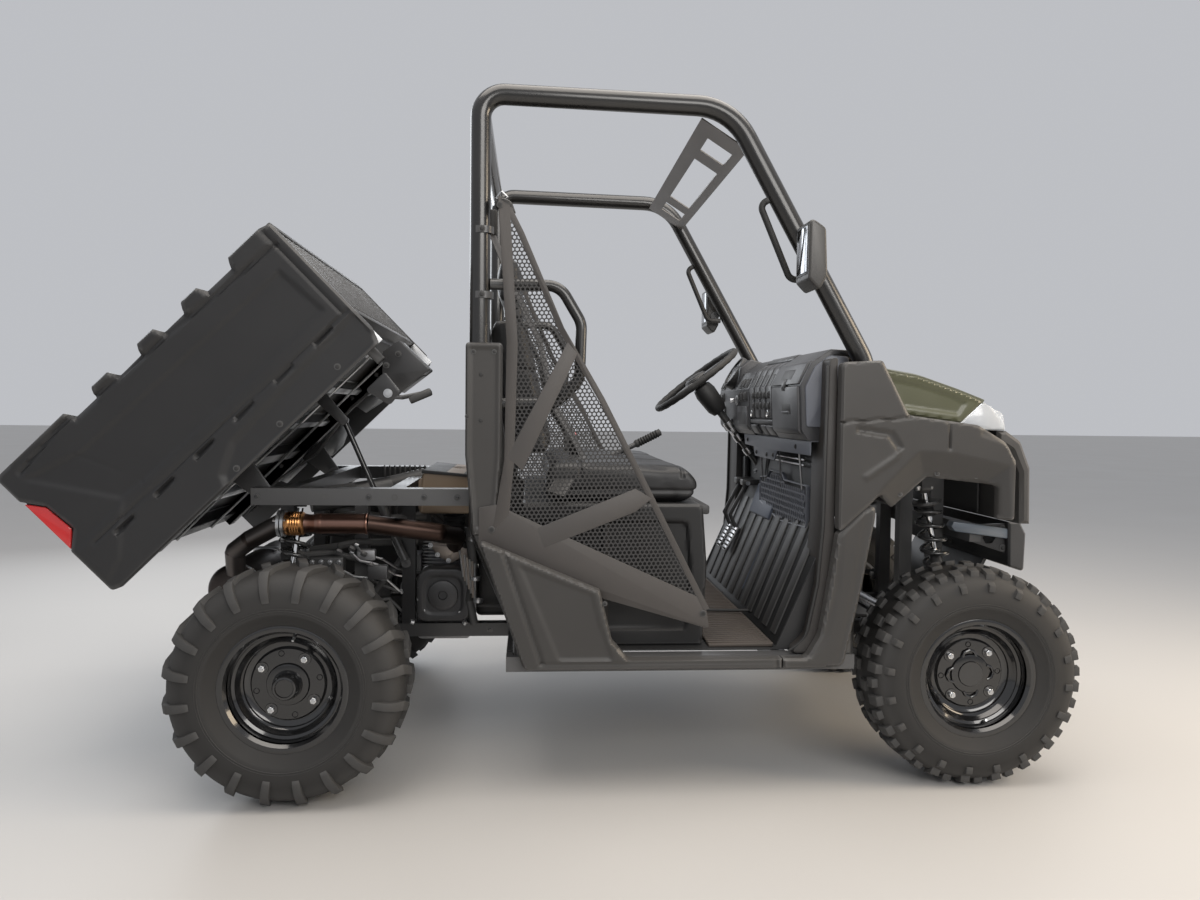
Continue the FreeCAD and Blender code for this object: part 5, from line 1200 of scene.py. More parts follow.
def netBands(name):
    piece = Piece(name)
    y0, y1 = -624.6, -622.4
    piece.slab("netBand", [(1092, 522), (1106, 444, 8), (815, 528), (486, 664, 6), (486, 770, 6),
        (532, 778, 6)], y0, y1, bevel=0.8)
    piece.slab("netBand", [(530, 1590, 6), (562, 1560, 10), (585, 1200), (578, 893), (566, 752), (520, 700),
        (552, 893), (556, 1207)], y0 - 0.3, y1 + 0.3, bevel=0.8)
    edge = [(566, 1556), (600, 1490), (706, 1246), (816, 1060), (929, 842), (1104, 500)]
    inner = [(x - 15, z - 7) for x, z in edge]
    piece.slab("netBand", edge + inner[::-1], y0 - 0.1, y1 + 0.1, bevel=0.6)
    # sewn sashes across the netting
    piece.slab("netBand", [(560, 905), (600, 868), (742, 1178), (716, 1208)], y0 - 0.5, y1 + 0.5, bevel=0.8)
    piece.slab("netBand", [(640, 716), (660, 664), (900, 760), (945, 796), (900, 822)], y0 - 0.4, y1 + 0.4,
        bevel=0.8)
    for number in range(8):
        z = 1560 - number * 3
        piece.lathe("webbing", [(-3, 20 - number), (0, 23 - number), (3, 20 - number)],
            (548 + number * 2, -606, z + 10), (0.3, 0.2, 1), 14)
    piece.tube("zinc", [(540, -600, 1600), (526, -596, 1584), (540, -606, 1570), (556, -610, 1584),
        (540, -600, 1600)], 3, 8)
    for x, z in ((1088, 486), (520, 712), (536, 1560)):
        piece.lathe("rubber", [(0, 0), (0, 9), (1.5, 8), (2, 4), (2, 0)], (x, -624.8, z), toRight, 18)
    return piece


for side, sign in (("Right", -1), ("Left", 1)):
    bands = netBands(f"netBands{side}")
    if sign > 0:
        bands.flip(bands.mesh)
    bandItem = bands.done(slot="net_black", sharp=40)
    netItem = netSheet(f"sideNet{side}", sign)
    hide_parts("side_nets")
print("nets and belts made")

# dash: its face leans, so each tile on it follows that face
dashSizes = {"half": 545, "buttonPitch": 48, "buttonRows": 2, "buttonsAcross": 5, "slats": 4,
    "slatPitch": 76}
faceLine = [(950, 1392), (980, 1372), (1108, 1366), (1168, 1394), (1207, 1450)]


dash = Piece("dashShell")


def dashX(z):
    for (z0, x0), (z1, x1) in zip(faceLine, faceLine[1:]):
        if z <= z1:
            return x0 + (x1 - x0) * (z - z0) / (z1 - z0)
    return faceLine[-1][1]


def tile(look, y0, y1, z0, z1, proud, deep, bevel):
    # one moulded field of the dash, from y0 to y1 and from z0 to z1
    heights = [z0, *[z for z, _ in faceLine if z0 + 4 < z < z1 - 4], z1]
    rows = [(dashX(z) - proud, z) for z in heights] + [(dashX(z) + deep, z) for z in reversed(heights)]
    dash.slab(look, rows, y0, y1, bevel=bevel)


body = [(x + 10, z, 8) for z, x in faceLine] + [(1500, 1202, 14), (1556, 1179), (1556, 1166), (1464, 1184),
    (1464, 950)]
dash.slab("darkPlastic", body, -541, 541, bevel=4)
face = [(x, z, 8) for z, x in faceLine] + [(1500, 1205, 14), (1552, 1182), (1552, 1176), (1480, 1196),
    (1460, 1190), (1460, 954)]
dash.slab("dashGrey", face, -dashSizes["half"], -240, bevel=7, segments=3)
dash.slab("dashGrey", face, 68, dashSizes["half"], bevel=7, segments=3)
dash.slab("dashGrey", [(1430, 1196, 10), (1450, 1210, 12), (1500, 1208, 14), (1552, 1184), (1552, 1176),
    (1440, 1176)], -236, 64, bevel=4)
tile("dashGrey", -530, -256, 968, 1104, 7, 6, 5)
tile("dashGrey", -530, -256, 1110, 1176, 7, 6, 5)
tile("darkPlastic", -450, -336, 1124, 1154, 8, 4, 3)
tile("darkPlastic", -408, -376, 1092, 1128, 9, 4, 3)
tile("dashGrey", -402, -382, 1096, 1122, 11, 2, 3)
tile("darkPlastic", -462, -372, 1030, 1056, 7.8, 4, 3)
tile("dashGrey", -456, -378, 1026, 1034, 12, 4, 2)
endCap = [(1384, 990, 8), (1378, 1100, 14), (1404, 1158, 14), (1446, 1190, 14), (1500, 1186, 10),
    (1500, 990, 8)]
for y in (-551, 540):
    dash.slab("dashPale", endCap, y, y + 11, bevel=4)
for number in range(dashSizes["slats"]):
    y = -230 + dashSizes["slatPitch"] * number
    tile("dashGrey", y, y + 60, 1010, 1188, 1, 16, 5)
    tile("darkPlastic", y + 12, y + 48, 1112, 1150, 3, 4, 3)
tile("dashGrey", -230, 58, 992, 1006, 0, 16, 4)
for y0, y1 in ((-230, -150), (-144, -84), (-20, 58)):
    tile("dashGrey", y0, y1, 956, 988, 0, 16, 4)
for row in range(dashSizes["buttonRows"]):
    for column in range(dashSizes["buttonsAcross"]):
        y = -196 + dashSizes["buttonPitch"] * column
        z = 1050 + 34 * row
        tile("darkPlastic", y - 15, y + 15, z - 12, z + 12, 4, 4, 2)
        tile("rubber", y - 10, y + 10, z - 8, z + 8, 7, 2, 2.5)
for y, z in ((-190, 1024), (20, 1024)):
    dash.lathe("zinc", [(-4, 0), (-4, 11), (4, 12), (5, 10), (0, 8), (0, 0)], (dashX(z) - 1, y, z), toBack,
        24)
# the driver's side: pod with a round gauge, rockers and the ignition switch
leanX, leanZ = -0.6157, 0.788
dash.hull("dashGrey", prism(((1372, 1124), (1380, 1190), (1420, 1222), (1480, 1205), (1480, 1160),
    (1400, 1120)), (262, 438)), bevel=9, segments=3)
gauge = {"centre": (1384, 350, 1174), "axis": (-0.85, 0, 0.53)}
dash.lathe("darkPlastic", [(-40, 0), (-40, 60), (4, 64), (12, 62), (12, 54), (2, 52), (2, 0)],
    gauge["centre"], gauge["axis"], 48)
dash.lathe("chrome", [(3, 50), (5, 53), (7, 52), (6, 49)], gauge["centre"], gauge["axis"], 48, closed=True)
dash.lathe("lensClear", [(4, 0), (4, 50), (6, 50), (7.5, 0)], gauge["centre"], gauge["axis"], 32)
for number, (y0, y1) in enumerate(((92, 128), (136, 172), (180, 216), (468, 500), (506, 536))):
    for z0, z1 in ((1066, 1100), (1112, 1146)):
        tile("darkPlastic", y0, y1, z0, z1, 4, 4, 3)
        tile("rubber", y0 + 6, y1 - 6, z0 + 5, z1 - 5, 9 if number % 2 else 7, 2, 3)
dash.lathe("zinc", [(-6, 0), (-6, 17), (3, 18), (5, 15), (5, 9), (2, 8), (2, 0)],
    (dashX(1070) - 2, 236, 1070), toBack, 28)
dash.hull("steel", [(dashX(1070) - x, 236 + y, 1070 + z) for x in (4, 30) for y in (-1.5, 1.5)
    for z in (-8, 8)], bevel=1)
tile("dashGrey", 84, 230, 966, 1050, 6, 4, 5)
tile("dashGrey", 452, 534, 966, 1050, 6, 4, 5)
tile("darkPlastic", 100, 214, 984, 1030, 7, 4, 4)
# bracket, wire guard and pierced plate under the dash
dash.slab("dashPale", [(-540, 952, 3), (262, 952, 3), (240, 912, 6), (116, 910, 6), (92, 878, 8),
    (-164, 876, 8), (-194, 908, 6), (-540, 910, 3)], 1398, 1402, bevel=1.2, plane="yz")
dash.block("dashPale", 1398, 1452, -540, 262, 948, 952, bevel=1)
for y, z in ((-150, 892), (-70, 890), (70, 892), (-400, 930), (200, 930)):
    dash.bolt("rubber", (1397.8, y, z), toBack, radius=5, height=3)
for y in (120, -120, -350):
    dash.tube("steel", [(1424, y, 906), (1440, y, 890, 14), (1440, y, 600, 14), (1452, y, 590)], 3.6, 10)
for z in (888, 872, 612):
    dash.tube("steel", [(1440, -352, z), (1440, 122, z)], 3.4, 10)
plateRows = [(150, 800, 4), (60, 808, 6), (16, 832, 6), (-130, 832, 6), (-160, 812, 4), (-400, 812, 4),
    (-400, 690, 4), (-100, 676), (150, 716, 4)]
mesh = grown("netting", {"Wide": 1.3, "Long": 0.5, "Pitch": 0.021, "Open": 0.8,
    "Finish": stuff["dashPale"]})
part = bmesh.new()
part.from_mesh(mesh)
bpy.data.meshes.remove(mesh)
for vert in part.verts:
    vert.co = (1436, -125 + vert.co.x * 1000, 755 + vert.co.y * 1000)
far = farFrom(np.array([v.co.y for v in part.verts]), np.array([v.co.z for v in part.verts]),
    rounded(plateRows))
part.verts.ensure_lookup_table()
bmesh.ops.delete(part, geom=[v for v, d in zip(part.verts, far) if d > -6], context="VERTS")
bmesh.ops.recalc_face_normals(part, faces=part.faces)
bmesh.ops.solidify(part, geom=part.faces[:], thickness=4)
bmesh.ops.recalc_face_normals(part, faces=part.faces)
dash.take(part, "dashPale", smooth=False)
edges = rounded(plateRows)
dash.tube("dashPale", [(1438, p[0], p[1]) for p in edges], 7, 8, closed=True, flat=0.45)
dash.block("darkPlastic", 1454, 1462, -520, 160, 620, 904)
dash.hull("darkPlastic", boxed((0, 0, 0), (1444, 1462), (440, 530), (700, 860)), bevel=6)
for y, rows in ((60, (940, 820, 700)), (90, (944, 800, 640)), (-300, (940, 860, 650))):
    dash.tube("rubber", [(1450, y, rows[0]), (1448, y + 12, rows[1], 60), (1450, y + 50, rows[2])], 7, 10)
dash.done("dash", slot="panel_grey")
print("dash made")

# steering wheel: a padded rim with finger grips, three spokes and a hub pad
steering = {"radius": 175, "grip": 12.6, "fingers": 24, "sides": 72, "columnLength": 470}
hub = Vector((1233, 350, 1146))
lean = Vector((leanX, 0, leanZ))
flatWay, sideWay = Vector((leanZ, 0, -leanX)), Vector((0, 1, 0))
wheel = Piece("wheelRim", "steering_wheel")
ringRows = []
for k in range(steering["sides"]):
    angle = 2 * pi * k / steering["sides"]
    ringRows.append(hub + steering["radius"] * (flatWay * cos(angle) + sideWay * sin(angle)))


def gripped(t):
    # radius of the rim, with finger grips on both sides of its top and foot
    wave = cos(2 * pi * steering["fingers"] * t) if 0.06 < t % 0.5 < 0.44 else 0
    return steering["grip"] + 0.9 * wave


wheel.tube("rubber", ringRows, gripped, 18, closed=True)
for turn in (0, 120, 240):
    angle = radians(90 + turn)
    way = flatWay * cos(angle) + sideWay * sin(angle)
    across = lean.cross(way)
    corners = []
    for reach, wide, low, high in ((30, 24, -14, 4), (110, 15, -7, 5), (168, 12, -5, 5)):
        corners.append([hub + way * reach + across * side * wide + lean * rise for side in (-1, 1)
            for rise in (low, high)])
    wheel.hull("framePaint", corners[0] + corners[1], bevel=3)
    wheel.hull("framePaint", corners[1] + corners[2], bevel=3)
wheel.lathe("darkPlastic", [(-22, 0), (-22, 34), (-12, 44), (4, 46), (12, 40), (15, 24), (15, 0)], hub,
    lean, 48)
wheel.lathe("rubber", [(14, 0), (14, 27), (16.5, 26), (18, 18), (18, 0)], hub, lean, 32)
wheel.done("steering_wheel", slot="wheel_foam", sharp=40)

column = Piece("columnTube")
low = hub - lean * steering["columnLength"]
column.tube("framePaint", [hub - lean * 100, low], 14, 20)
column.lathe("darkPlastic", [(-150, 0), (-150, 26), (-128, 36), (-60, 40), (-34, 34), (-26, 20), (-24, 0)],
    hub, lean, 36)
column.hull("darkPlastic", [hub - lean * a + sideWay * b + flatWay * c for a in (60, 110) for b in (26, 96)
    for c in (-7, 7)], bevel=5)
column.lathe("rubber", [(-110, 0), (-110, 11), (-60, 9), (-60, 0)], hub - lean * 85 + sideWay * 20,
    -sideWay, 14)
for along in (210, 268, 330):
    column.lathe("steel", [(-14, 0), (-14, 19), (-6, 20), (6, 20), (14, 19), (14, 0)], hub - lean * along,
        lean, 24)
for along, way in ((232, sideWay), (246, flatWay)):
    column.hull("steel", [hub - lean * (along + a) + way * b + lean.cross(way) * c for a in (-14, 14)
        for b in (-17, 17) for c in (-9, 9)], bevel=4)
for k in range(5):
    column.lathe("rubber", [(-4, 14), (-4, 24 + k), (0, 32 + 2 * k), (4, 24 + k), (4, 14)],
        low + lean * (64 - 9 * k), lean, 28, closed=True)
column.slab("framePaint", [(1440, 870), (1466, 870), (1466, 930, 6), (1440, 930, 6)], 335, 365)
column.done("steering_column", slot="frame_black", sharp=36)

# floor: ribbed mat, sloped toe board with beads, tunnel
mat = {"ribs": 46, "pitch": 0.0235, "beadPitch": 96}
floorPan = Piece("floorMat")
toe = [(560, 370), (1314, 370), (1470, 756, 20), (1470, 1098), (1466, 1098), (1466, 758, 20), (1311, 374),
    (560, 374)]
floorPan.slab("darkPlastic", toe, -565, 565, bevel=1)
# ribbed floor mat; its brown colour is a painted reflection
floorPan.slab("mat", [(1120, 374.5), (1300, 374.5), (1304, 384), (1120, 382)], -548, 548)
strip = Piece("strip")
strip.block("mat", -90, 86, -4.5, 4.5, 0, 5)
rowed(floorPan, strip, "mat", mat["ribs"], (0, mat["pitch"], 0), (0, 0, 0),
    Matrix.Translation((1210, -529, 381.5)))
slope = Vector((156, 0, 386)).normalized()
outOf = Vector((-slope.z, 0, slope.x))
for y in range(-480, 481, mat["beadPitch"]):
    start, end = Vector((1322, y, 396)), Vector((1448, y, 708))
    floorPan.hull("darkPlastic", [p + outOf * d + Vector((0, a, 0)) for p in (start, end) for a in (-26, 26)
        for d in (1, 7)], bevel=5)
for side in (-1, 1):
    # door jamb and the kick wall beside the toe board
    floorPan.slab("panelDeep", [(1446, 1180, 8), (1424, 1176, 14), (1420, 720, 60), (1408, 560, 80),
        (1380, 420, 60), (1330, 374, 10), (1446, 374)], *sorted((side * 480, side * 617)), bevel=6)
    floorPan.slab("rubber", [(1424, 1160), (1416, 1156), (1412, 720, 60), (1400, 560, 80), (1370, 414, 60),
        (1326, 380), (1336, 380), (1378, 410, 60), (1408, 560, 80), (1420, 720, 60)],
        *sorted((side * 606, side * 616)))
    floorPan.slab("darkPlastic", [(1290, 372), (1440, 372), (1440, 700), (1424, 652), (1306, 384)],
        *sorted((side * 562, side * 570)), bevel=1)
floorPan.hull("dashBlue", prism(((1330, 430), (1426, 660), (1446, 650), (1370, 428)), (-34, 30)), bevel=10,
    segments=3)
floorPan.hull("dashBlue", prism(((1418, 668), (1452, 770), (1462, 770), (1462, 640)), (-20, 250)), bevel=8,
    segments=3)
floorPan.done("floor_pan", slot="frame_black")

pedalSet = Piece("pedalPads")
for y, half in ((300, 30), (400, 22)):
    pad = [(1335, 518, 5), (1343, 515, 5), (1392, 600, 5), (1380, 604, 5)]
    pedalSet.slab("steel", pad, y - half + 2, y + half - 2, bevel=1.5)
    for k in range(6):
        t = (k + 0.5) / 6
        x, z = 1333 + 46 * t, 520 + 80 * t
        pedalSet.hull("rubber", [(x + a, y + b, z + c) for a,
            c in ((-5, 5), (4, -2), (1, -7), (-8, 1)) for b in (-half, half)], bevel=1.5)
    pedalSet.tube("framePaint", [(1386, y, 590), (1398, y, 640, 40), (1420, y, 762)], 7, 14, flat=0.7)
    pedalSet.block("framePaint", 1400, 1466, y - 20, y + 20, 758, 780, bevel=3)
    pedalSet.pin("zinc", -26, 26, 8, (1420, y, 766), toLeft, 18)
pedalSet.done("pedals", slot="frame_black", sharp=36)

seatBox = Piece("seatBox")
boxRows = [(600, 374), (1106, 374, 10), (1116, 600, 30), (1102, 771, 14), (600, 771, 6)]
moulded(seatBox, "darkPlastic", boxRows, -527, -400, [
    (9, 10, [(640, 420, 16), (1060, 420, 16), (1068, 600, 20), (1058, 720, 16), (640, 720, 16)]),
    (-6, 8, [(820, 400), (836, 400), (836, 740), (820, 740)]),
], step=6, roll=8)
seatBox.slab("darkPlastic", boxRows, -404, 530, bevel=8, segments=3)
for y0, y1 in ((-380, -40), (20, 420)):
    seatBox.hull("darkPlastic", prism(((1108, 430), (1122, 436), (1126, 590), (1116, 600)), (y0, y1)),
        bevel=6)
seatBox.block("darkPlastic", 1090, 1122, -520, 520, 742, 768, bevel=6)
seatBox.done("seat_base", slot="frame_black")
print("cab fittings made")

# body panels beside the cab and over the front wheels
nose = {"axle": 1854, "panelIn": 620, "panelOut": 658}


def ahead(rows):
    return [(nose["axle"] + row[0], *row[1:]) for row in rows]


fenders = Piece("fenderSkins")
skin = ahead([
    (-408, 1165, 14), (-298, 1172, 12), (-222, 1026, 20), (-30, 1002, 30), (51, 955, 20), (80, 905, 15),
    (80, 744, 10), (40, 744, 10), (38, 838, 14),
    (-156, 858, 10), (-252, 774, 8), (-292, 810, 8), (-306, 800, 10), (-408, 706, 10),
])
archLine = ahead([(-400, 600), (-310, 806), (-285, 836), (-191, 930), (-90, 924), (62, 892), (72, 740),
    (72, 600)])
chevron = ahead([(-363, 994), (-266, 981), (-238, 940), (-250, 928), (-279, 967), (-363, 980)])
warmEdge = ahead([(-345, 862), (-262, 918), (-240, 945), (-252, 908), (-335, 850)])
seamLine = ahead([(-113, 1020), (-109, 1020), (-105, 935), (-109, 935)])
moulded(fenders, "panel", skin, -nose["panelOut"], -nose["panelIn"], [
    (5, 8, chevron), (-2.5, 12, warmEdge), (5, 4, seamLine),
    (4, 4, ahead([(-410, 1008), (-214, 1022), (-214, 1018), (-410, 1004)])),
    (4, 12, ahead([(-20, 990), (66, 940), (76, 900), (70, 940), (50, 955), (-20, 976)])),
    (5, 5, ahead([(-420, 1006), (-398, 1008), (-398, 1002), (-420, 1000)])),
], step=5, roll=6, curve=lambda x, z: np.clip(-farFrom(x, z, archLine), 0, 62) * 0.5)
liner = ahead([(-250, 778), (-156, 862), (36, 842), (36, 850), (-158, 871), (-256, 786)])
fenders.slab("darkPlastic", liner, -622, -440, bevel=1.5)
for x, z in ahead([(-232, 812), (-130, 868), (-20, 862), (58, 800)]):
    fenders.bolt("rubber", (x, -630, z), (0, -1, 0.2), radius=5, height=2.5)
fenders.slab("darkPlastic", [(1512, 1005), (1542, 1005), (1542, 1035), (1512, 1035)], -622, -612.5, bevel=1)
fenders.mirrored().done("fenders", slot="panel_grey")

rockers = Piece("rockerSkins")
rocker = [(486, 688, 10), (608, 341, 20), (1300, 341), (1300, 369), (885, 369, 20), (841, 420, 10),
    (807, 554, 10)]
moulded(rockers, "panel", rocker, -658, -620, [
    (5, 6, [(548, 655), (650, 358), (662, 358), (560, 655)]),
    (4, 10, [(596, 620), (700, 372), (842, 372), (805, 470), (786, 545)]),
    (3, 6, [(650, 362), (1290, 362), (1290, 356), (650, 356)]),
    (3, 5, [(1284, 341), (1288, 341), (1288, 369), (1284, 369)]),
], step=5, roll=9)
rockers.bolts("rubber", -652, ((520, 640), (820, 520), (700, 352), (980, 355), (1220, 355)), radius=4.5,
    height=2.5)
rockers.mirrored().done("rockers", slot="panel_grey")

blades = Piece("pillarSkins")
blade = ahead([(-551, 341), (-386, 345, 25), (-340, 560, 60), (-296, 812, 26), (-408, 704), (-424, 590, 60),
    (-450, 430, 60), (-486, 369, 25), (-551, 369)])
moulded(blades, "panel", blade, -658, -620, [
    (2, 8, ahead([(-404, 700), (-396, 706), (-402, 560), (-432, 420), (-470, 372), (-482, 372), (-446, 430),
    (-416, 560)])),
    (2, 14, ahead([(-336, 790), (-308, 800), (-350, 560), (-398, 352), (-408, 352), (-368, 560)])),
    (3, 4, ahead([(-545, 341), (-541, 341), (-541, 369), (-545, 369)])),
], step=5.5, roll=8)
blades.bolt("rubber", (nose["axle"] - 500, -653, 355), toRight, radius=4.5, height=2.5)
blades.mirrored().done("front_pillar_panels", slot="panel_grey")
print("side panels made")

# hood: a crowned deck with a raised middle, and its two cheeks
hood = Piece("hoodSkin", "hood")
deck = [(-286, 1170), (-241, 1157), (-155, 1143), (-39, 1105), (33, 1078)]


def deckHeight(x):
    for (x0, z0), (x1, z1) in zip(deck, deck[1:]):
        if x <= x1:
            return z0 + (z1 - z0) * max(0, (x - x0)) / (x1 - x0)
    return deck[-1][1]


hoodSizes = {"half": 560, "start": -286, "length": 319, "lengthSteps": 65, "widthStep": 10, "raised": 7,
    "wall": 12}
acrossSteps = 2 * hoodSizes["half"] // hoodSizes["widthStep"]
part = bmesh.new()
rows = []
for i in range(hoodSizes["lengthSteps"] + 1):
    x = hoodSizes["start"] + hoodSizes["length"] * i / hoodSizes["lengthSteps"]
    row = []
    for k in range(acrossSteps + 1):
        y = -hoodSizes["half"] + hoodSizes["widthStep"] * k
        rise = hoodSizes["raised"] * max(0, min(1, (302 - abs(y)) / 26))
        rise *= max(0, min(1, (x + 284) / 30)) * max(0, min(1, (33 - x) / 30))
        fall = 7 * max(0, (abs(y) - 515) / 45) ** 2
        fold = 3 * exp(-((abs(y) - (420 + 0.25 * x)) / 9) ** 2)
        smooth = deckHeight(x)
        if -270 < x < 18:
            smooth = (deckHeight(x - 12) + smooth + deckHeight(x + 12)) / 3
        row.append(part.verts.new((nose["axle"] + x, y, smooth + rise - fall - fold)))
    rows.append(row)
for a, b in zip(rows, rows[1:]):
    for k in range(acrossSteps):
        part.faces.new((a[k], b[k], b[k + 1], a[k + 1]))
bmesh.ops.recalc_face_normals(part, faces=part.faces)
if part.faces[:][0].normal.z < 0:
    bmesh.ops.reverse_faces(part, faces=part.faces)
bmesh.ops.solidify(part, geom=part.faces[:], thickness=hoodSizes["wall"])
hood.take(part, "hoodGreen")
cheek = ahead([(-286, 1162), (-241, 1148), (-155, 1134), (-39, 1096), (32, 1069), (-28, 1006, 12),
    (-212, 1030, 16)])
moulded(hood, "hoodGreen", cheek, -560, -546, [
    (4, 9, ahead([(-250, 1128), (-160, 1112), (-60, 1082), (-20, 1062), (-40, 1030), (-200, 1050)])),
    (-2, 8, ahead([(-286, 1160), (-155, 1134), (-39, 1096), (20, 1072), (20, 1064), (-39, 1086),
    (-155, 1124), (-286, 1150)])),
], step=5.2, roll=5)
hood.slab("hoodGreen", cheek, 546, 560, bevel=3)
arm = ahead([(6, 1078), (30, 1068), (56, 1060), (52, 1044), (14, 1056)])
for low, high in ((-362, -350), (350, 362)):
    hood.slab("framePaint", arm, low, high, bevel=1)
    hood.collar("framePaint", 0, 12, 6, 12, (1908, low, 1052), toLeft, 24)
for y in (-470, 470):
    hood.block("rubber", 1572, 1592, y - 16, y + 16, 1146, 1158, bevel=3)
hood.done("hood", slot="hood_green")

# headlamps: a clear cover over two reflectors and a dark bezel
lamps = Piece("headlampUnits")
lamps.slab("darkPlastic", ahead([(40, 987), (70, 987), (66, 1044), (40, 1056)]), -552, -386)
lamps.slab("darkPlastic", ahead([(66, 986), (98, 986), (94, 994), (66, 996)]), -554, -384)
lamps.slab("lampSilver", ahead([(-40, 1001, 4), (31, 1066, 6), (52, 1052, 8), (82, 1012, 10), (84, 990, 5),
    (24, 988, 5)]), -557, -538, bevel=3)
lamps.slab("lensClear", ahead([(-36, 1002, 4), (31, 1063, 6), (54, 1052, 8), (90, 1012, 10), (92, 990, 5),
    (24, 989, 5)]), -561, -555)
for y, radius in ((-508, 21), (-452, 20), (-410, 14)):
    lamps.lathe("chrome", [(-4, 4), (-2, radius * 0.6), (8, radius * 0.9), (18, radius), (19, radius + 3),
        (0, radius + 3)], (1922, y, 1017), (1, 0, 0.2), 32)
    lamps.lathe("lensClear", [(0, 0), (0, 5), (9, 4), (12, 0)], (1921, y, 1016), (1, 0, 0.2), 16)
lamps.mirrored().done("headlamps", slot="lamp_clear", sharp=40)
covers = Piece("headlampCovers")
covers.slab("lensClear", ahead([(42, 986, 3), (100, 986, 6), (90, 1034, 12), (42, 1056, 5)]), -555, -382,
    bevel=6, segments=3)
covers.mirrored().done(slot="lamp_clear", sharp=40)

# grille behind the fascia slots, fascia trim and bumper fittings
face = Piece("fasciaTrim")
face.block("darkPlastic", 1990, 1996, -330, 330, 726, 850, bevel=1)
face.slab("darkPlastic", ahead([(150, 948), (158, 944), (176, 884), (168, 882)]), -430, 430)
for y in (-500, -410, 410, 500):
    face.bolt("rubber", (2033.5, y, 760), toFront, radius=5, height=2)
for y in (-402, 402):
    for x, z in ((1962, 684), (2032, 690), (2034, 632)):
        side = -1 if y < 0 else 1
        face.bolt("rubber", (x, y + side * 7.2, z), (0, side, 0), radius=7)
    # upper bumper bar, its pale blue colour a painted sky reflection
    face.slab("barSkyReflection", [(1876, 712, 5), (2078, 686, 5), (2090, 676, 6), (2090, 654, 5), (1880, 682, 6),
        (1868, 696, 6)], y - 20, y + 20, bevel=4)
face.tube("framePaint", [(2040, -60, 600), (2076, -60, 600, 18), (2076, 60, 600, 18), (2040, 60, 600)], 8,
    14)
face.slab("darkPlastic", [(1926, 1008, 4), (2004, 950, 4), (2000, 938, 3), (1914, 1000, 3)], -340, 340,
    bevel=3)
for number in range(9):
    y = -384 + 96 * number
    face.block("darkPlastic", 2092.5, 2094.5, y - 30, y + 30, 600, 650, bevel=0.8)
face.done(slot="panel_grey")

mirrors = Piece("mirrorShells")
shell = ahead([(-532, 1530, 14), (-488, 1500, 18), (-482, 1380, 16), (-502, 1341, 12), (-532, 1372, 12)])
mirrors.slab("panel", shell, -744, -626, bevel=9, segments=4)
mirrors.slab("darkPlastic", ahead([(-533, 1515, 10), (-530, 1515, 10), (-530, 1384, 10), (-533, 1384, 10)]),
    -734, -636, bevel=0.6)
mirrors.slab("mirrorGlass", ahead([(-534, 1508, 6), (-531, 1508, 6), (-531, 1390, 6), (-534, 1390, 6)]),
    -728, -642, bevel=0.5)
mirrors.tube("framePaint", [(1352, -612.5, 1412), (1362, -622, 1414, 6), (1362, -640, 1416)], 9, 14)
mirrors.lathe("framePaint", [(0, 0), (0, 17), (8, 17), (10, 12), (10, 0)], (1352, -612.6, 1412),
    (0.2, -1, 0), 24)
mirrors.mirrored().done("side_mirrors", slot="panel_grey")

pillars = Piece("pillarShells")
cover = [(449, 1204, 10), (545, 1204, 10), (545, 908, 60), (528, 695, 8), (470, 695, 8), (449, 908, 60)]
moulded(pillars, "panel", cover, -622, -560, [(3, 8,
    [(462, 1190), (532, 1190), (532, 910), (518, 715), (480, 715), (462, 910)])], step=4.5, roll=8)
pillars.bolts("rubber", -619.5, ((470, 1180), (524, 1180), (492, 720), (455, 1010)), radius=4.5, height=2)
pillars.mirrored().done("pillar_covers", slot="panel_grey")
print("front made")

# engine, air box and exhaust
engineSizes = {"fins": 9, "finPitch": 0.0107, "coverBolts": 12, "coverX": 358, "coverZ": 462}
engine = Piece("engineCastings")
engine.slab("cast", [(275, 312, 14), (436, 312, 14), (436, 500, 16), (418, 519, 8), (292, 519, 8),
    (275, 500, 16)], -188, 188, bevel=4)
engine.slab("cast", [(292, 516), (418, 516), (412, 621, 8), (298, 621, 8)], -108, 108, bevel=4)
fin = Piece("fin")
fin.slab("cast", [(279, -125, 12), (431, -125, 12), (431, 125, 12), (279, 125, 12)], 0, 4.5, bevel=0.8,
    plane="xy", segments=1)
rowed(engine, fin, "cast", engineSizes["fins"], (0, 0, engineSizes["finPitch"]), (0, 0, 0),
    Matrix.Translation((0, 0, 529)))
# belt cover with its ribs, rim screws and plain cap
coverRows = [(277, 380, 30), (277, 544, 50), (439, 544, 50), (439, 380, 30)]
moulded(engine, "darkCast", coverRows, -252, -188, [
    (4, 8, [(300, 404, 30), (300, 520, 40), (416, 520, 40), (416, 404, 30)]),
    (-5, 7, [(318, 430, 30), (318, 500, 36), (398, 500, 36), (398, 430, 30)]),
], step=4, roll=8)
for k in range(engineSizes["coverBolts"]):
    angle = 2 * pi * k / engineSizes["coverBolts"] + 0.2
    x, z = engineSizes["coverX"] + 76 * cos(angle), engineSizes["coverZ"] + 72 * sin(angle)
    engine.bolt("zinc", (x, -247, z), toRight, radius=4.5, height=3.5, washer=False)
engine.lathe("darkCast", [(0, 0), (0, 46), (6, 44), (9, 36), (9, 14), (4, 12), (4, 0)],
    (engineSizes["coverX"], -251, engineSizes["coverZ"]), toRight, 48)
engine.lathe("cast", [(0, 0), (0, 68), (8, 70), (30, 66), (36, 54), (36, 20), (28, 16), (28, 0)],
    (355, 189, 452), toLeft, 48)
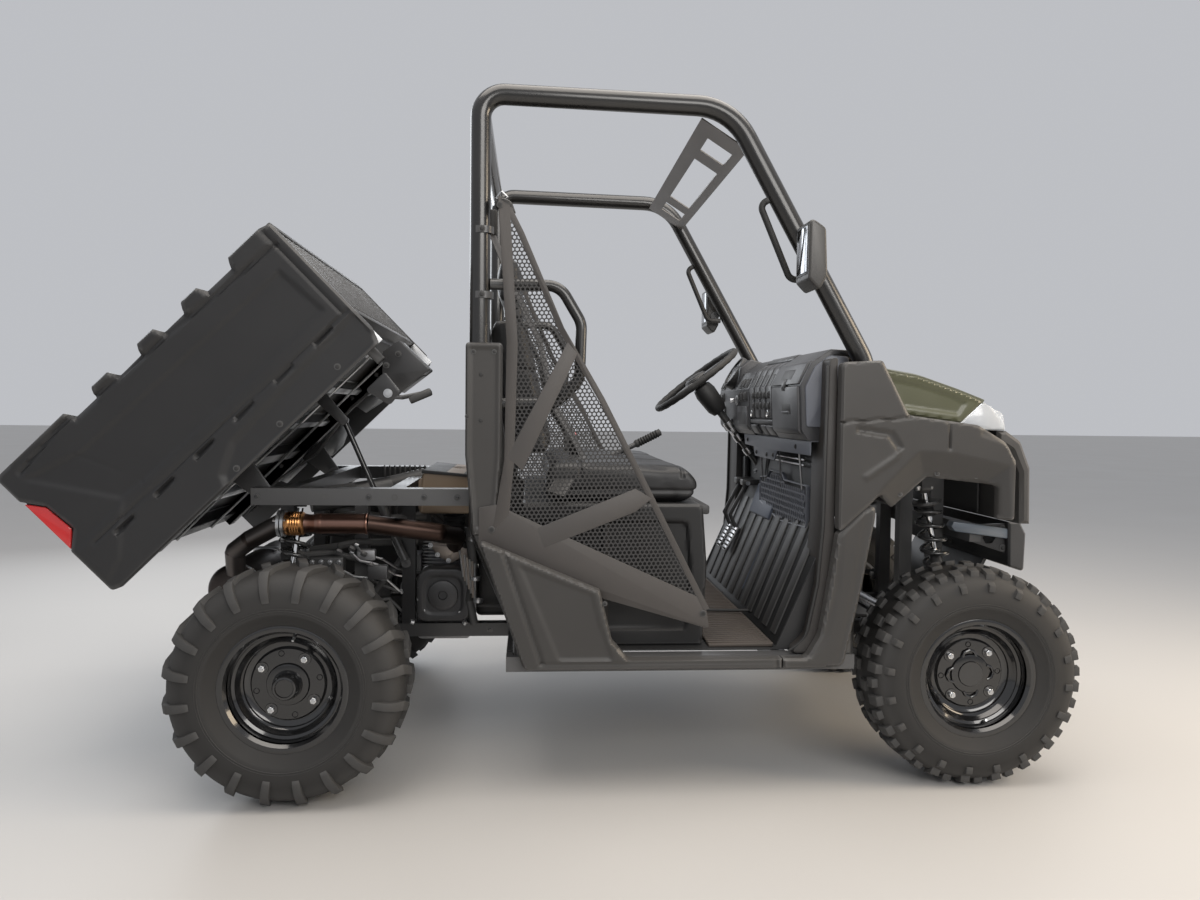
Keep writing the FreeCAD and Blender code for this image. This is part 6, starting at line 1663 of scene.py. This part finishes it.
# bracket castings and pulleys seen behind the rear wheel
cast = [(303, 614, 10), (404, 606, 12), (404, 560, 12), (372, 545, 10), (330, 572, 10)]
engine.slab("castWarm", cast, -176, -150, bevel=4)
engine.slab("castWarm", [(312, 606, 8), (392, 599, 8), (366, 560, 8), (334, 578, 8)], -182, -172)
engine.bolts("zinc", -181, ((312, 604), (394, 598), (368, 556), (334, 574)), radius=5)
for x, y, z, radius in ((252, -150, 470, 34), (244, -120, 548, 24)):
    engine.lathe("cast", [(0, 0), (0, radius), (5, radius), (8, radius * 0.8), (12, radius), (17, radius),
        (17, radius * 0.4), (22, radius * 0.3), (22, 0)], (x, y, z), toRight, 36)
    engine.pin("darkCast", 0, 30, 12, (x, y + 40, z), toRight, 20)
engine.tube("rubber", [(244, -136, 574), (252, -160, 506, 60), (254, -162, 438)], 5, 8, flat=0.5)
engine.block("darkCast", 236, 280, -140, -60, 420, 570, bevel=5)
engine.slab("castWarm", [(404, 600, 6), (428, 596, 6), (436, 520, 6), (412, 516, 6)], -190, -126, bevel=3)
for y in (-160, -90, 90, 160):
    engine.bolt("zinc", (436.5, y, 480), toFront, radius=7)
    engine.bolt("zinc", (436.5, y, 340), toFront, radius=7)
for k in range(5):
    engine.lathe("zinc", [(0, 0), (0, 9), (3, 9), (3, 6), (11, 6), (11, 0)], (300 + 26 * k, -184, 530),
        (0, -1, 0.2), 6)
for x, y in ((310, -80), (400, -80), (310, 80), (400, 80)):
    engine.bolt("zinc", (x, y, 620.5), upright, radius=7, height=5)
engine.lathe("rubber", [(0, 0), (0, 9), (30, 7), (44, 5), (44, 0)], (292, 0, 580), (-1, 0, 0.3), 16)
engine.done("engine", slot="cast_grey")

# hoses, cables and pipes round the engine
lines = Piece("engineLines")
routes = [
    # finish, radius, route rows of x, y, z and bend radius
    ("rubber", 11, [(296, -90, 600), (250, -200, 640, 40), (120, -300, 628, 60), (40, -310, 618, 40),
    (-40, -250, 600)]),
    ("rubber", 9, [(-103, -330, 646), (-40, -330, 640, 60), (66, -320, 615, 60), (140, -240, 560)]),
    ("rubber", 7, [(430, -130, 560), (446, -220, 590, 40), (430, -280, 640, 40), (340, -300, 690, 40),
    (300, -180, 716)]),
    ("rubber", 6, [(440, -60, 540), (462, -200, 500, 60), (470, -260, 420, 60), (420, -250, 372)]),
    ("steel", 4, [(89, -300, 602), (130, -300, 590, 20), (156, -290, 545, 20), (230, -260, 520, 30),
    (276, -200, 500)]),
    ("steel", 4, [(100, -286, 622), (140, -286, 606, 20), (170, -280, 560, 20), (240, -240, 540, 30),
    (276, -180, 520)]),
    ("rubber", 5, [(-60, -250, 560), (40, -270, 520, 60), (160, -260, 470, 60), (272, -200, 440)]),
    ("rubber", 5, [(-80, -240, 520), (60, -250, 480, 60), (180, -250, 410, 60), (270, -230, 372)]),
    ("copper", 5, [(436, -110, 600), (452, -170, 640, 30), (452, -240, 690, 30), (452, -300, 730)]),
    ("rubber", 8, [(420, 100, 600), (460, 180, 560, 60), (460, 240, 480, 60), (430, 236, 372)]),
    ("rubber", 6, [(60, 240, 560), (160, 260, 500, 60), (272, 200, 470)]),
    ("zinc", 3.5, [(-130, -300, 610), (0, -320, 600, 60), (120, -316, 580, 60), (220, -300, 530, 30),
    (236, -260, 470)]),
]
for look, radius, rows in routes:
    lines.tube(look, rows, radius, 10)
    for end, near in ((rows[0], rows[1]), (rows[-1], rows[-2])):
        way = Vector(near[:3]) - Vector(end[:3])
        lines.lathe("zinc", [(2, radius), (2, radius + 1.8), (12, radius + 1.8), (12, radius)], end[:3],
            way, 14, closed=True)
for x, y, z in ((96, -304, 612), (130, -302, 596), (152, -296, 560), (180, -280, 520), (60, -312, 604)):
    lines.lathe("darkCast", [(-9, 0), (-9, 7), (-6, 9), (6, 9), (9, 7), (9, 0)], (x, y, z), (1, 0.2, -0.5),
        6)
lines.hull("darkCast", boxed((170, -292, 540), (-30, 30), (-12, 14), (-22, 22)), bevel=6)
lines.hull("cast", boxed((132, -270, 585), (-26, 28), (-16, 16), (-12, 20)), bevel=5)
lines.hull("darkPlastic", boxed((20, -280, 560), (-50, 50), (-20, 24), (-30, 26)), bevel=7)
for k in range(4):
    lines.bolt("zinc", (-20 + 26 * k, -301, 572), toRight, radius=5)
# inner splash shield, ducts and boxes that close the bay from behind; the dark shield plate and its ribs
# stand in for the dark parts deeper in the bay and are partly painted shade there
lines.slab("darkPlastic", [(-128, 448, 20), (112, 448), (128, 376, 10), (604, 376), (604, 752),
    (-128, 752, 10)], 234, 240, bevel=1)
for k in range(6):
    lines.slab("darkPlastic", [(-96 + 118 * k, 468 if k < 2 else 400),
        (-84 + 118 * k, 468 if k < 2 else 400), (-84 + 118 * k, 736), (-96 + 118 * k, 736)], 226, 236,
        bevel=3)
lines.hull("darkPlastic", prism(((452, 380), (560, 380), (560, 700), (470, 730)), (-180, 200)), bevel=16,
    segments=3)
lines.hull("darkPlastic", prism(((-60, 480), (210, 470), (230, 640), (-40, 690)), (60, 190)), bevel=20,
    segments=3)
lines.tube("darkPlastic", [(300, 30, 800), (150, 0, 800, 60), (30, -60, 780, 60), (-60, -150, 740)], 38, 24)
for k in range(9):
    lines.lathe("darkPlastic", [(-4, 36), (0, 42), (4, 36)], (270 - 16 * k, 26 - 2.4 * k, 800),
        (1, 0.15, 0), 32)
for rows in ([(300, -200, 700), (200, -280, 660, 50), (60, -260, 690, 50), (-90, -200, 660)],
        [(430, -200, 660), (452, -300, 560, 50), (470, -280, 430, 50), (452, -240, 372)],
        [(280, -210, 640), (200, -230, 560, 40), (150, -200, 470), (120, -180, 380)]):
    lines.tube("rubber", rows, 13, 14)
for x, y, z in ((452, -300, 640), (458, -290, 520), (466, -276, 450)):
    lines.collar("zinc", -5, 5, 12, 15, (x, y, z), (0.1, 0, 1), 20)
for k in range(7):
    lines.tube("castWarm" if k % 2 else "zinc",
        [(408 + 8 * k, -262 - 4 * k, 600 - 6 * k), (412 + 8 * k, -270 - 4 * k, 560 - 9 * k, 10),
        (420 + 6 * k, -262 - 3 * k, 520 - 12 * k)], 3.4, 8)
lines.done(slot="cast_grey")

# gear cases
cases = Piece("gearCastings")
cases.slab("cast", [(-118, 242, 24), (69, 242, 24), (69, 372, 20), (40, 389, 10), (-90, 389, 10),
    (-118, 360, 20)], -104, 104, bevel=6)
cases.slab("cast", ahead([(-59, 246, 20), (35, 246, 20), (35, 360, 20), (20, 374, 8), (-40, 374, 8),
    (-59, 356, 16)]), -94, 94, bevel=6)
for x, z, half in ((0, 312, 104), (1854, 304, 94)):
    for side in (-1, 1):
        cases.lathe("cast", [(-8, 0), (-8, 48), (0, 48), (6, 42), (12, 26), (16, 22), (16, 0)],
            (x, side * (half - 0.5) - side * 2, z), (0, side, 0), 40)
        for k in range(6):
            angle = pi * k / 3
            cases.bolt("zinc", (x + 42 * cos(angle), side * (half + 0.5), z + 42 * sin(angle)),
                (0, side, 0), radius=5, washer=False)
for k in range(6):
    cases.hull("cast", boxed((0, 0, 0), (-110 + 34 * k, -104 + 34 * k), (-106, 106), (262, 374)), bevel=1)
cases.slab("cast", [(1764, 371), (1794, 371), (1794, 401, 10), (1764, 401, 10)], -99, 99, bevel=3)
cases.done("gear_cases", slot="cast_grey")

# air box with ribs, clips and its inlet
airbox = Piece("airboxShell")
shellRows = [(291, 716, 10), (444, 716, 10), (444, 834, 25), (300, 847, 25)]
moulded(airbox, "tanPlastic", shellRows, -100 - 8, 0,
    [(5, 8, [(306, 730, 8), (430, 730, 8), (430, 815, 14), (310, 828, 14)])], step=5, roll=6)
airbox.slab("tanPlastic", shellRows, -309 + 8, 98, bevel=8, segments=3)
for k in range(7):
    y = -280 + 56 * k
    airbox.hull("tanPlastic", [(x, y + a, z) for x, z in ((287, 730), (287, 812)) for a in (-3, 3)]
        + [(292, y + a, z) for a in (-4, 4) for z in (724, 820)]
        + [(448, y + a, z) for a in (-3, 3) for z in (732, 808)], bevel=1)
airbox.slab("darkPlastic", [(296, 838, 4), (442, 826, 4), (442, 834, 4), (302, 847, 4)], -306, 96)
airbox.tube("rubber", [(370, 0, 624), (370, 0, 670, 10), (370, 0, 716)], lambda t: 34, 28)
for k in range(4):
    airbox.lathe("rubber", [(-3, 34), (0, 37), (3, 34)], (370, 0, 640 + 18 * k), upright, 32)
airbox.done("airbox", slot="panel_grey")

# exhaust: header, side pipe with its bulge and flanges, elbow and muffler
exhaust = Piece("exhaustPipes")
pipe = {"radius": 27, "y": -420, "z": 701, "mufflerX": -225, "mufflerZ": 500, "bolts": 3}
pipeAt = (0, pipe["y"], pipe["z"])
exhaust.tube("copperDark", [(380, -127, 585), (396, -250, 592, 50), (424, -420, 701, 60), (160, -420, 701)],
    pipe["radius"], 32)
exhaust.tube("copper", [(160, -420, 701), (20, -420, 701)], pipe["radius"] + 2, 32)
exhaust.lathe("copper", [(-4, 20), (-4, 30), (-1.5, 31), (1.5, 31), (4, 30), (4, 20)], (160, -420, 701),
    toFront, 36, closed=True)
exhaust.lathe("flexTan", [(-66, 23), (-64, 31), (-58, 34),
    *[(-52 + 7 * k + d, 34.5 - d * 0.5) for k in range(5) for d in (0, 3.5)], (-16, 33), (-10, 28),
    (-8, 22)], pipeAt, toFront, 44, closed=True)
exhaust.lathe("copper", [(-12, 22), (-10, 28), (4, 26), (16, 26.5), (34, 30), (40, 28)], pipeAt, toFront,
    40, closed=True)
for start, size in ((-84, 38), (-73, 37)):
    exhaust.lathe("zinc", [(start, 23), (start, size), (start + 8, size), (start + 8, 23)], pipeAt, toFront,
        40, closed=True)
for k in range(pipe["bolts"]):
    angle = pi * (0.2 + 2 * k / pipe["bolts"])
    exhaust.lathe("steel", [(-92, 0), (-92, 5.5), (-84, 5.5), (-84, 3.5), (-58, 3.5), (-58, 0)],
        (0, pipe["y"] + 31 * cos(angle), pipe["z"] + 31 * sin(angle)), toFront, 6)
exhaust.tube("exhaustDark", [(-80, -420, 701), (-212, -420, 701, 64), (-212, -412, 604, 30),
    (-218, -366, 552)], pipe["radius"], 30, steps=14)
exhaust.lathe("exhaustDark", [(0, 0), (4, 60), (12, 71), (24, 75), (490, 75), (506, 71), (516, 60),
    (520, 0)], (pipe["mufflerX"], -380, pipe["mufflerZ"]), toLeft, 64)
for y in (-356, 116):
    exhaust.collar("zinc", 0, 14, 74, 76, (pipe["mufflerX"], y, pipe["mufflerZ"]), toLeft, 64)
exhaust.tube("exhaustDark", [(-250, 140, 470), (-290, 150 - 14, 450, 20), (-296, 120, 440)], 14, 20)
exhaust.slab("zinc", [(-262, 566), (-190, 566), (-190, 578, 4), (-262, 578, 4)], -60, -30, bevel=1)
exhaust.done("exhaust", slot="exhaust_steel", sharp=40)
print("engine made")

# springs, arms, shafts and knuckles; the right side is made, then mirrored
gear = {"wheelbase": 1854, "kingpin": 470, "lowEye": 203, "highEye": 419, "rackX": 1774, "rackZ": 396,
    "frameSide": 231}

shocks = Piece("coilShocks")
shockRows = [
    # foot, head, where the spring starts and ends along it, turns
    ((1878, -375, 425), (1800, -372, 820), 0.15, 0.86, 6.5),
    ((-85, -402, 285), (-42, -330, 770), 0.3, 0.88, 7.5),
]
for foot, head, first, last, turns in shockRows:
    foot, head = Vector(foot), Vector(head)
    run = head - foot
    start, end = foot + run * first, foot + run * last
    shocks.tube("springBlack", [foot + run * 0.04, foot + run * 0.5], 19, 24)
    shocks.tube("chrome", [foot + run * 0.45, foot + run * 0.93], 9, 18)
    shocks.lathe("chrome", [(-20, 14), (-20, 20), (20, 20), (22, 14)], foot + run * 0.3, run, 28,
        closed=True)
    for place, radius in ((start, 43), (end, 42)):
        shocks.lathe("framePaint", [(-5, 8), (-5, radius), (0, radius + 1.5), (4, radius), (4, 8)], place,
            run, 36, closed=True)
    shocks.lathe("zinc", [(-8, 18), (-8, 27), (-4, 29), (10, 29), (12, 27), (12, 18)],
        foot + run * (first + 0.03), run, 32, closed=True)
    shocks.lathe("rubber", [(-30, 0), (-30, 15), (-18, 20), (-8, 16), (0, 21), (8, 21), (8, 0)],
        end - run.normalized() * 12, run, 24)
    height = (end - start).length - 12
    coil = grown("coil", {"Turns": turns, "Radius": 0.036, "Height": height / 1000, "Wire": 0.0062,
        "Finish": stuff["springBlack"]})
    addMesh(shocks, coil, "springBlack", aimed(start + run.normalized() * 6, end))
    for place in (foot + run * 0.025, head - run * 0.025):
        shocks.collar("framePaint", -14, 14, 9, 19, place, (1, 0.05, 0), 28)
        shocks.lathe("zinc", [(-26, 0), (-26, 8), (-22, 9), (22, 9), (26, 8), (26, 0)], place, (1, 0.05, 0),
            16)
        shocks.pin("zinc", -24, -16, 13, place, (1, 0.05, 0), 6)
shocks.mirrored().done("shocks", slot="bright_steel", sharp=40)

arms = Piece("armTubes")
hubX = gear["wheelbase"]
armRows = [
    # inner end, outer end, radius
    ((hubX - 114, -gear["frameSide"], 337), (hubX - 14, -455, 208), 12),
    ((hubX + 58, -gear["frameSide"], 337), (hubX + 8, -455, 208), 12),
    ((hubX - 55, -gear["frameSide"], 437), (hubX - 10, -452, 420), 11),
    ((hubX + 55, -gear["frameSide"], 437), (hubX + 10, -452, 420), 11),
    ((-99, -gear["frameSide"], 339), (-24, -447, 264), 14),
    ((99, -gear["frameSide"], 339), (24, -447, 264), 14),
    ((-99, -gear["frameSide"], 416), (-24, -447, 386), 12),
    ((96, -gear["frameSide"], 416), (22, -447, 386), 12),
]
for start, end, radius in armRows:
    arms.tube("framePaint", [start, end], radius, 20)
    arms.lathe("rubber", [(-24, 10), (-24, 20), (-18, 21), (-18, 18), (18, 18), (18, 21), (24, 20),
        (24, 10)], (start[0], start[1] - 4, start[2]), toFront, 24, closed=True)
    arms.pin("zinc", -34, 34, 8, (start[0], start[1] - 4, start[2]), toFront, 12)
for x, low, high in ((hubX, 196, 414), (0, 262, 386)):
    arms.hull("framePaint", [(x + a, y, low + b) for a,
        y in ((-40, -372), (40, -372), (-18, -446), (18, -446)) for b in (0, 12)], bevel=3)
    arms.hull("framePaint", [(x + a, y, high + b) for a,
        y in ((-30, -390), (30, -390), (-14, -446), (14, -446)) for b in (0, 9)], bevel=3)
for z in (gear["lowEye"] + 8, gear["highEye"]):
    arms.lathe("springBlack", [(-14, 0), (-14, 19), (-8, 22), (8, 22), (14, 18), (14, 0)], (hubX, -452, z),
        upright, 28)
arms.slab("framePaint", [(-99, 268), (-40, 268), (-40, 290, 8), (-99, 290, 8)], -418, -386)
arms.tube("rubber", [(hubX - 60, -240, 470), (hubX - 40, -330, 500, 60), (hubX - 30, -420, 460, 50),
    (hubX - 30, -446, 400)], 4.5, 10)
arms.tube("rubber", [(-60, -240, 450), (-40, -330, 460, 60), (-30, -400, 430, 40), (-30, -438, 400)], 4.5,
    10)
arms.mirrored().done("suspension_arms", slot="frame_black", sharp=36)

shafts = Piece("shaftBoots")
for x, z, inner, outer in ((0, 312, 108, 445), (hubX, 304.5, 98, 436)):
    shafts.tube("steel", [(x, -inner, z), (x, -outer, z)], 12.5, 24)
    shafts.lathe("cast", [(0, 0), (0, 36), (26, 38), (34, 34), (36, 0)], (x, -inner, z), toRight, 36)
    for base, way in ((inner + 34, -1), (outer - 4, 1)):
        rows = [(0, 12)]
        for k in range(6):
            size = 38 - 4 * k
            rows += [(4 + 11 * k, size), (9.5 + 11 * k, size - 9)]
        rows += [(72, 16), (72, 12)]
        shafts.lathe("rubber", rows, (x, -base, z), (0, way, 0), 40, closed=True)
        shafts.lathe("zinc", [(5, 38), (5, 39.2), (11, 38), (11, 34)], (x, -base, z), (0, way, 0), 36,
            closed=True)
shafts.mirrored().done("half_shafts", slot="zinc_steel", sharp=36)


def knuckle(name, side):
    piece = Piece(name, "knuckle_left" if side > 0 else "knuckle_right")
    y = -gear["kingpin"]
    piece.hull("darkCast", [(hubX + a, b, c) for a, b,
        c in ((-28, y + 13, 236), (28, y + 13, 236), (-22, y + 13, 300), (22, y + 13, 300),
        (-30, y - 28, 262), (30, y - 28, 262), (-26, y - 12, 236), (26, y - 12, 236), (-26, y - 28, 345),
        (26, y - 28, 345))], bevel=7)
    piece.hull("darkCast", [(hubX + a, b, c) for a, b,
        c in ((-24, y - 26, 330), (24, y - 26, 330), (-24, y + 13, 300), (24, y + 13, 300),
        (-20, y + 13, 404), (20, y + 13, 404), (-20, y - 14, 404), (20, y - 14, 404))], bevel=7)
    piece.lathe("darkCast", [(-8, 0), (-8, 46), (18, 44), (26, 32), (40, 28), (40, 0)],
        (hubX, y - 20, 304.5), toRight, 36)
    piece.pin("steel", 0, 70, 19.6, (hubX, y - 40, 304.5), toRight, 28)
    piece.slab("darkCast", [(1760, -456), (1846, -456, 6), (1854, -425), (1770, -425, 10), (1760, -436, 8)],
        328, 346, bevel=3, plane="xy")
    piece.hull("castWarm", [(hubX + a, b, c) for a in (34, 76) for b in (y - 34, y - 2)
        for c in (300, 380)], bevel=8)
    piece.hull("castWarm", [(hubX + a, b, c) for a in (20, 60) for b in (y - 16, y + 4)
        for c in (312, 368)], bevel=5)
    for z in (318, 362):
        piece.bolt("zinc", (hubX + 76, y - 18, z), toFront, radius=5, height=4)
    if side > 0:
        piece.flip(piece.mesh)
    piece.done("knuckle_left" if side > 0 else "knuckle_right", slot="cast_grey", sharp=36)


knuckle("knuckleRight", -1)
knuckle("knuckleLeft", 1)

carriers = Piece("carrierCastings")
carriers.hull("darkCast", [(a, b, c) for a, b,
    c in ((-38, -450, 240), (38, -450, 240), (-38, -450, 398), (38, -450, 398), (-30, -490, 262),
    (30, -490, 262), (-30, -490, 372), (30, -490, 372))], bevel=9)
carriers.lathe("darkCast", [(0, 0), (0, 50), (14, 48), (22, 34), (34, 28), (34, 0)], (0, -486, 312),
    toRight, 36)
carriers.pin("steel", 0, 60, 19.6, (0, -510, 312), toRight, 28)
carriers.hull("castWarm", [(a, b, c) for a in (36, 74) for b in (-500, -462) for c in (320, 396)], bevel=8)
carriers.mirrored().done("rear_carriers", slot="cast_grey", sharp=36)

rack = Piece("rackAndTies", "steering_rack")
rack.tube("steel", [(gear["rackX"], -160, gear["rackZ"]), (gear["rackX"], 160, gear["rackZ"])], 13.4, 24)
for side in (-1, 1):
    inner, outer = (gear["rackX"], 162 * side, gear["rackZ"]), (gear["rackX"], 452 * side, 362)
    rack.tube("steel", [inner, outer], 7.5, 18)
    way = Vector(outer) - Vector(inner)
    rows = [(0, 8)]
    for k in range(7):
        rows += [(3 + 9 * k, 24 - 1.4 * k), (7.5 + 9 * k, 17 - 1.0 * k)]
    rows += [(68, 11), (68, 8)]
    rack.lathe("rubber", rows, inner, way, 32, closed=True)
    rack.collar("zinc", 0, 26, 8, 11, (gear["rackX"], 400 * side, 368), way, 6)
    rack.lathe("springBlack", [(-10, 0), (-10, 13), (-4, 14), (6, 14), (9, 9), (9, 0)],
        (gear["rackX"], 455 * side, 362), upright, 24)
rack.done("steering_rack", slot="bright_steel", sharp=36)

# the bed's gas strut: a black cylinder with a rod
dress("strut_cylinder", "springBlack")
dress("strut_rod", "springBlack")

# bolts, brackets and stays on the frame
fittings = Piece("frameFittings")
for x in (-120, 180, 330, 420):
    fittings.bolt("springBlack", (x, -505.2, 785), toRight, radius=6, height=4)
for x in (60, 250):
    fittings.pin("darkPlastic", 0, 0.6, 9, (x, -505, 785), toRight, 24)
fittings.bolts("springBlack", -230.3, ((-60, 350), (120, 350), (500, 350), (700, 350), (900, 350),
    (1100, 350), (1500, 350), (1700, 350)), radius=6, height=4)
for height in (1500, 1330, 1120, 1000):
    fittings.collar("framePaint", -9, 9, 24, 30, (490, -585, height), upright, 28)
    fittings.bolt("rubber", (490, -616, height), toRight, radius=6, height=4)
fittings.mirrored()
fittings.tube("rubber", [(1700, 200, 372), (1500, 215, 366, 40), (900, 215, 366, 40), (460, 215, 372)], 6,
    10)
fittings.tube("rubber", [(1700, -200, 380), (1500, -214, 372, 40), (800, -214, 372, 40), (460, -205, 420)],
    5, 10)
fittings.done(slot="frame_black", sharp=36)
print("running gear made")
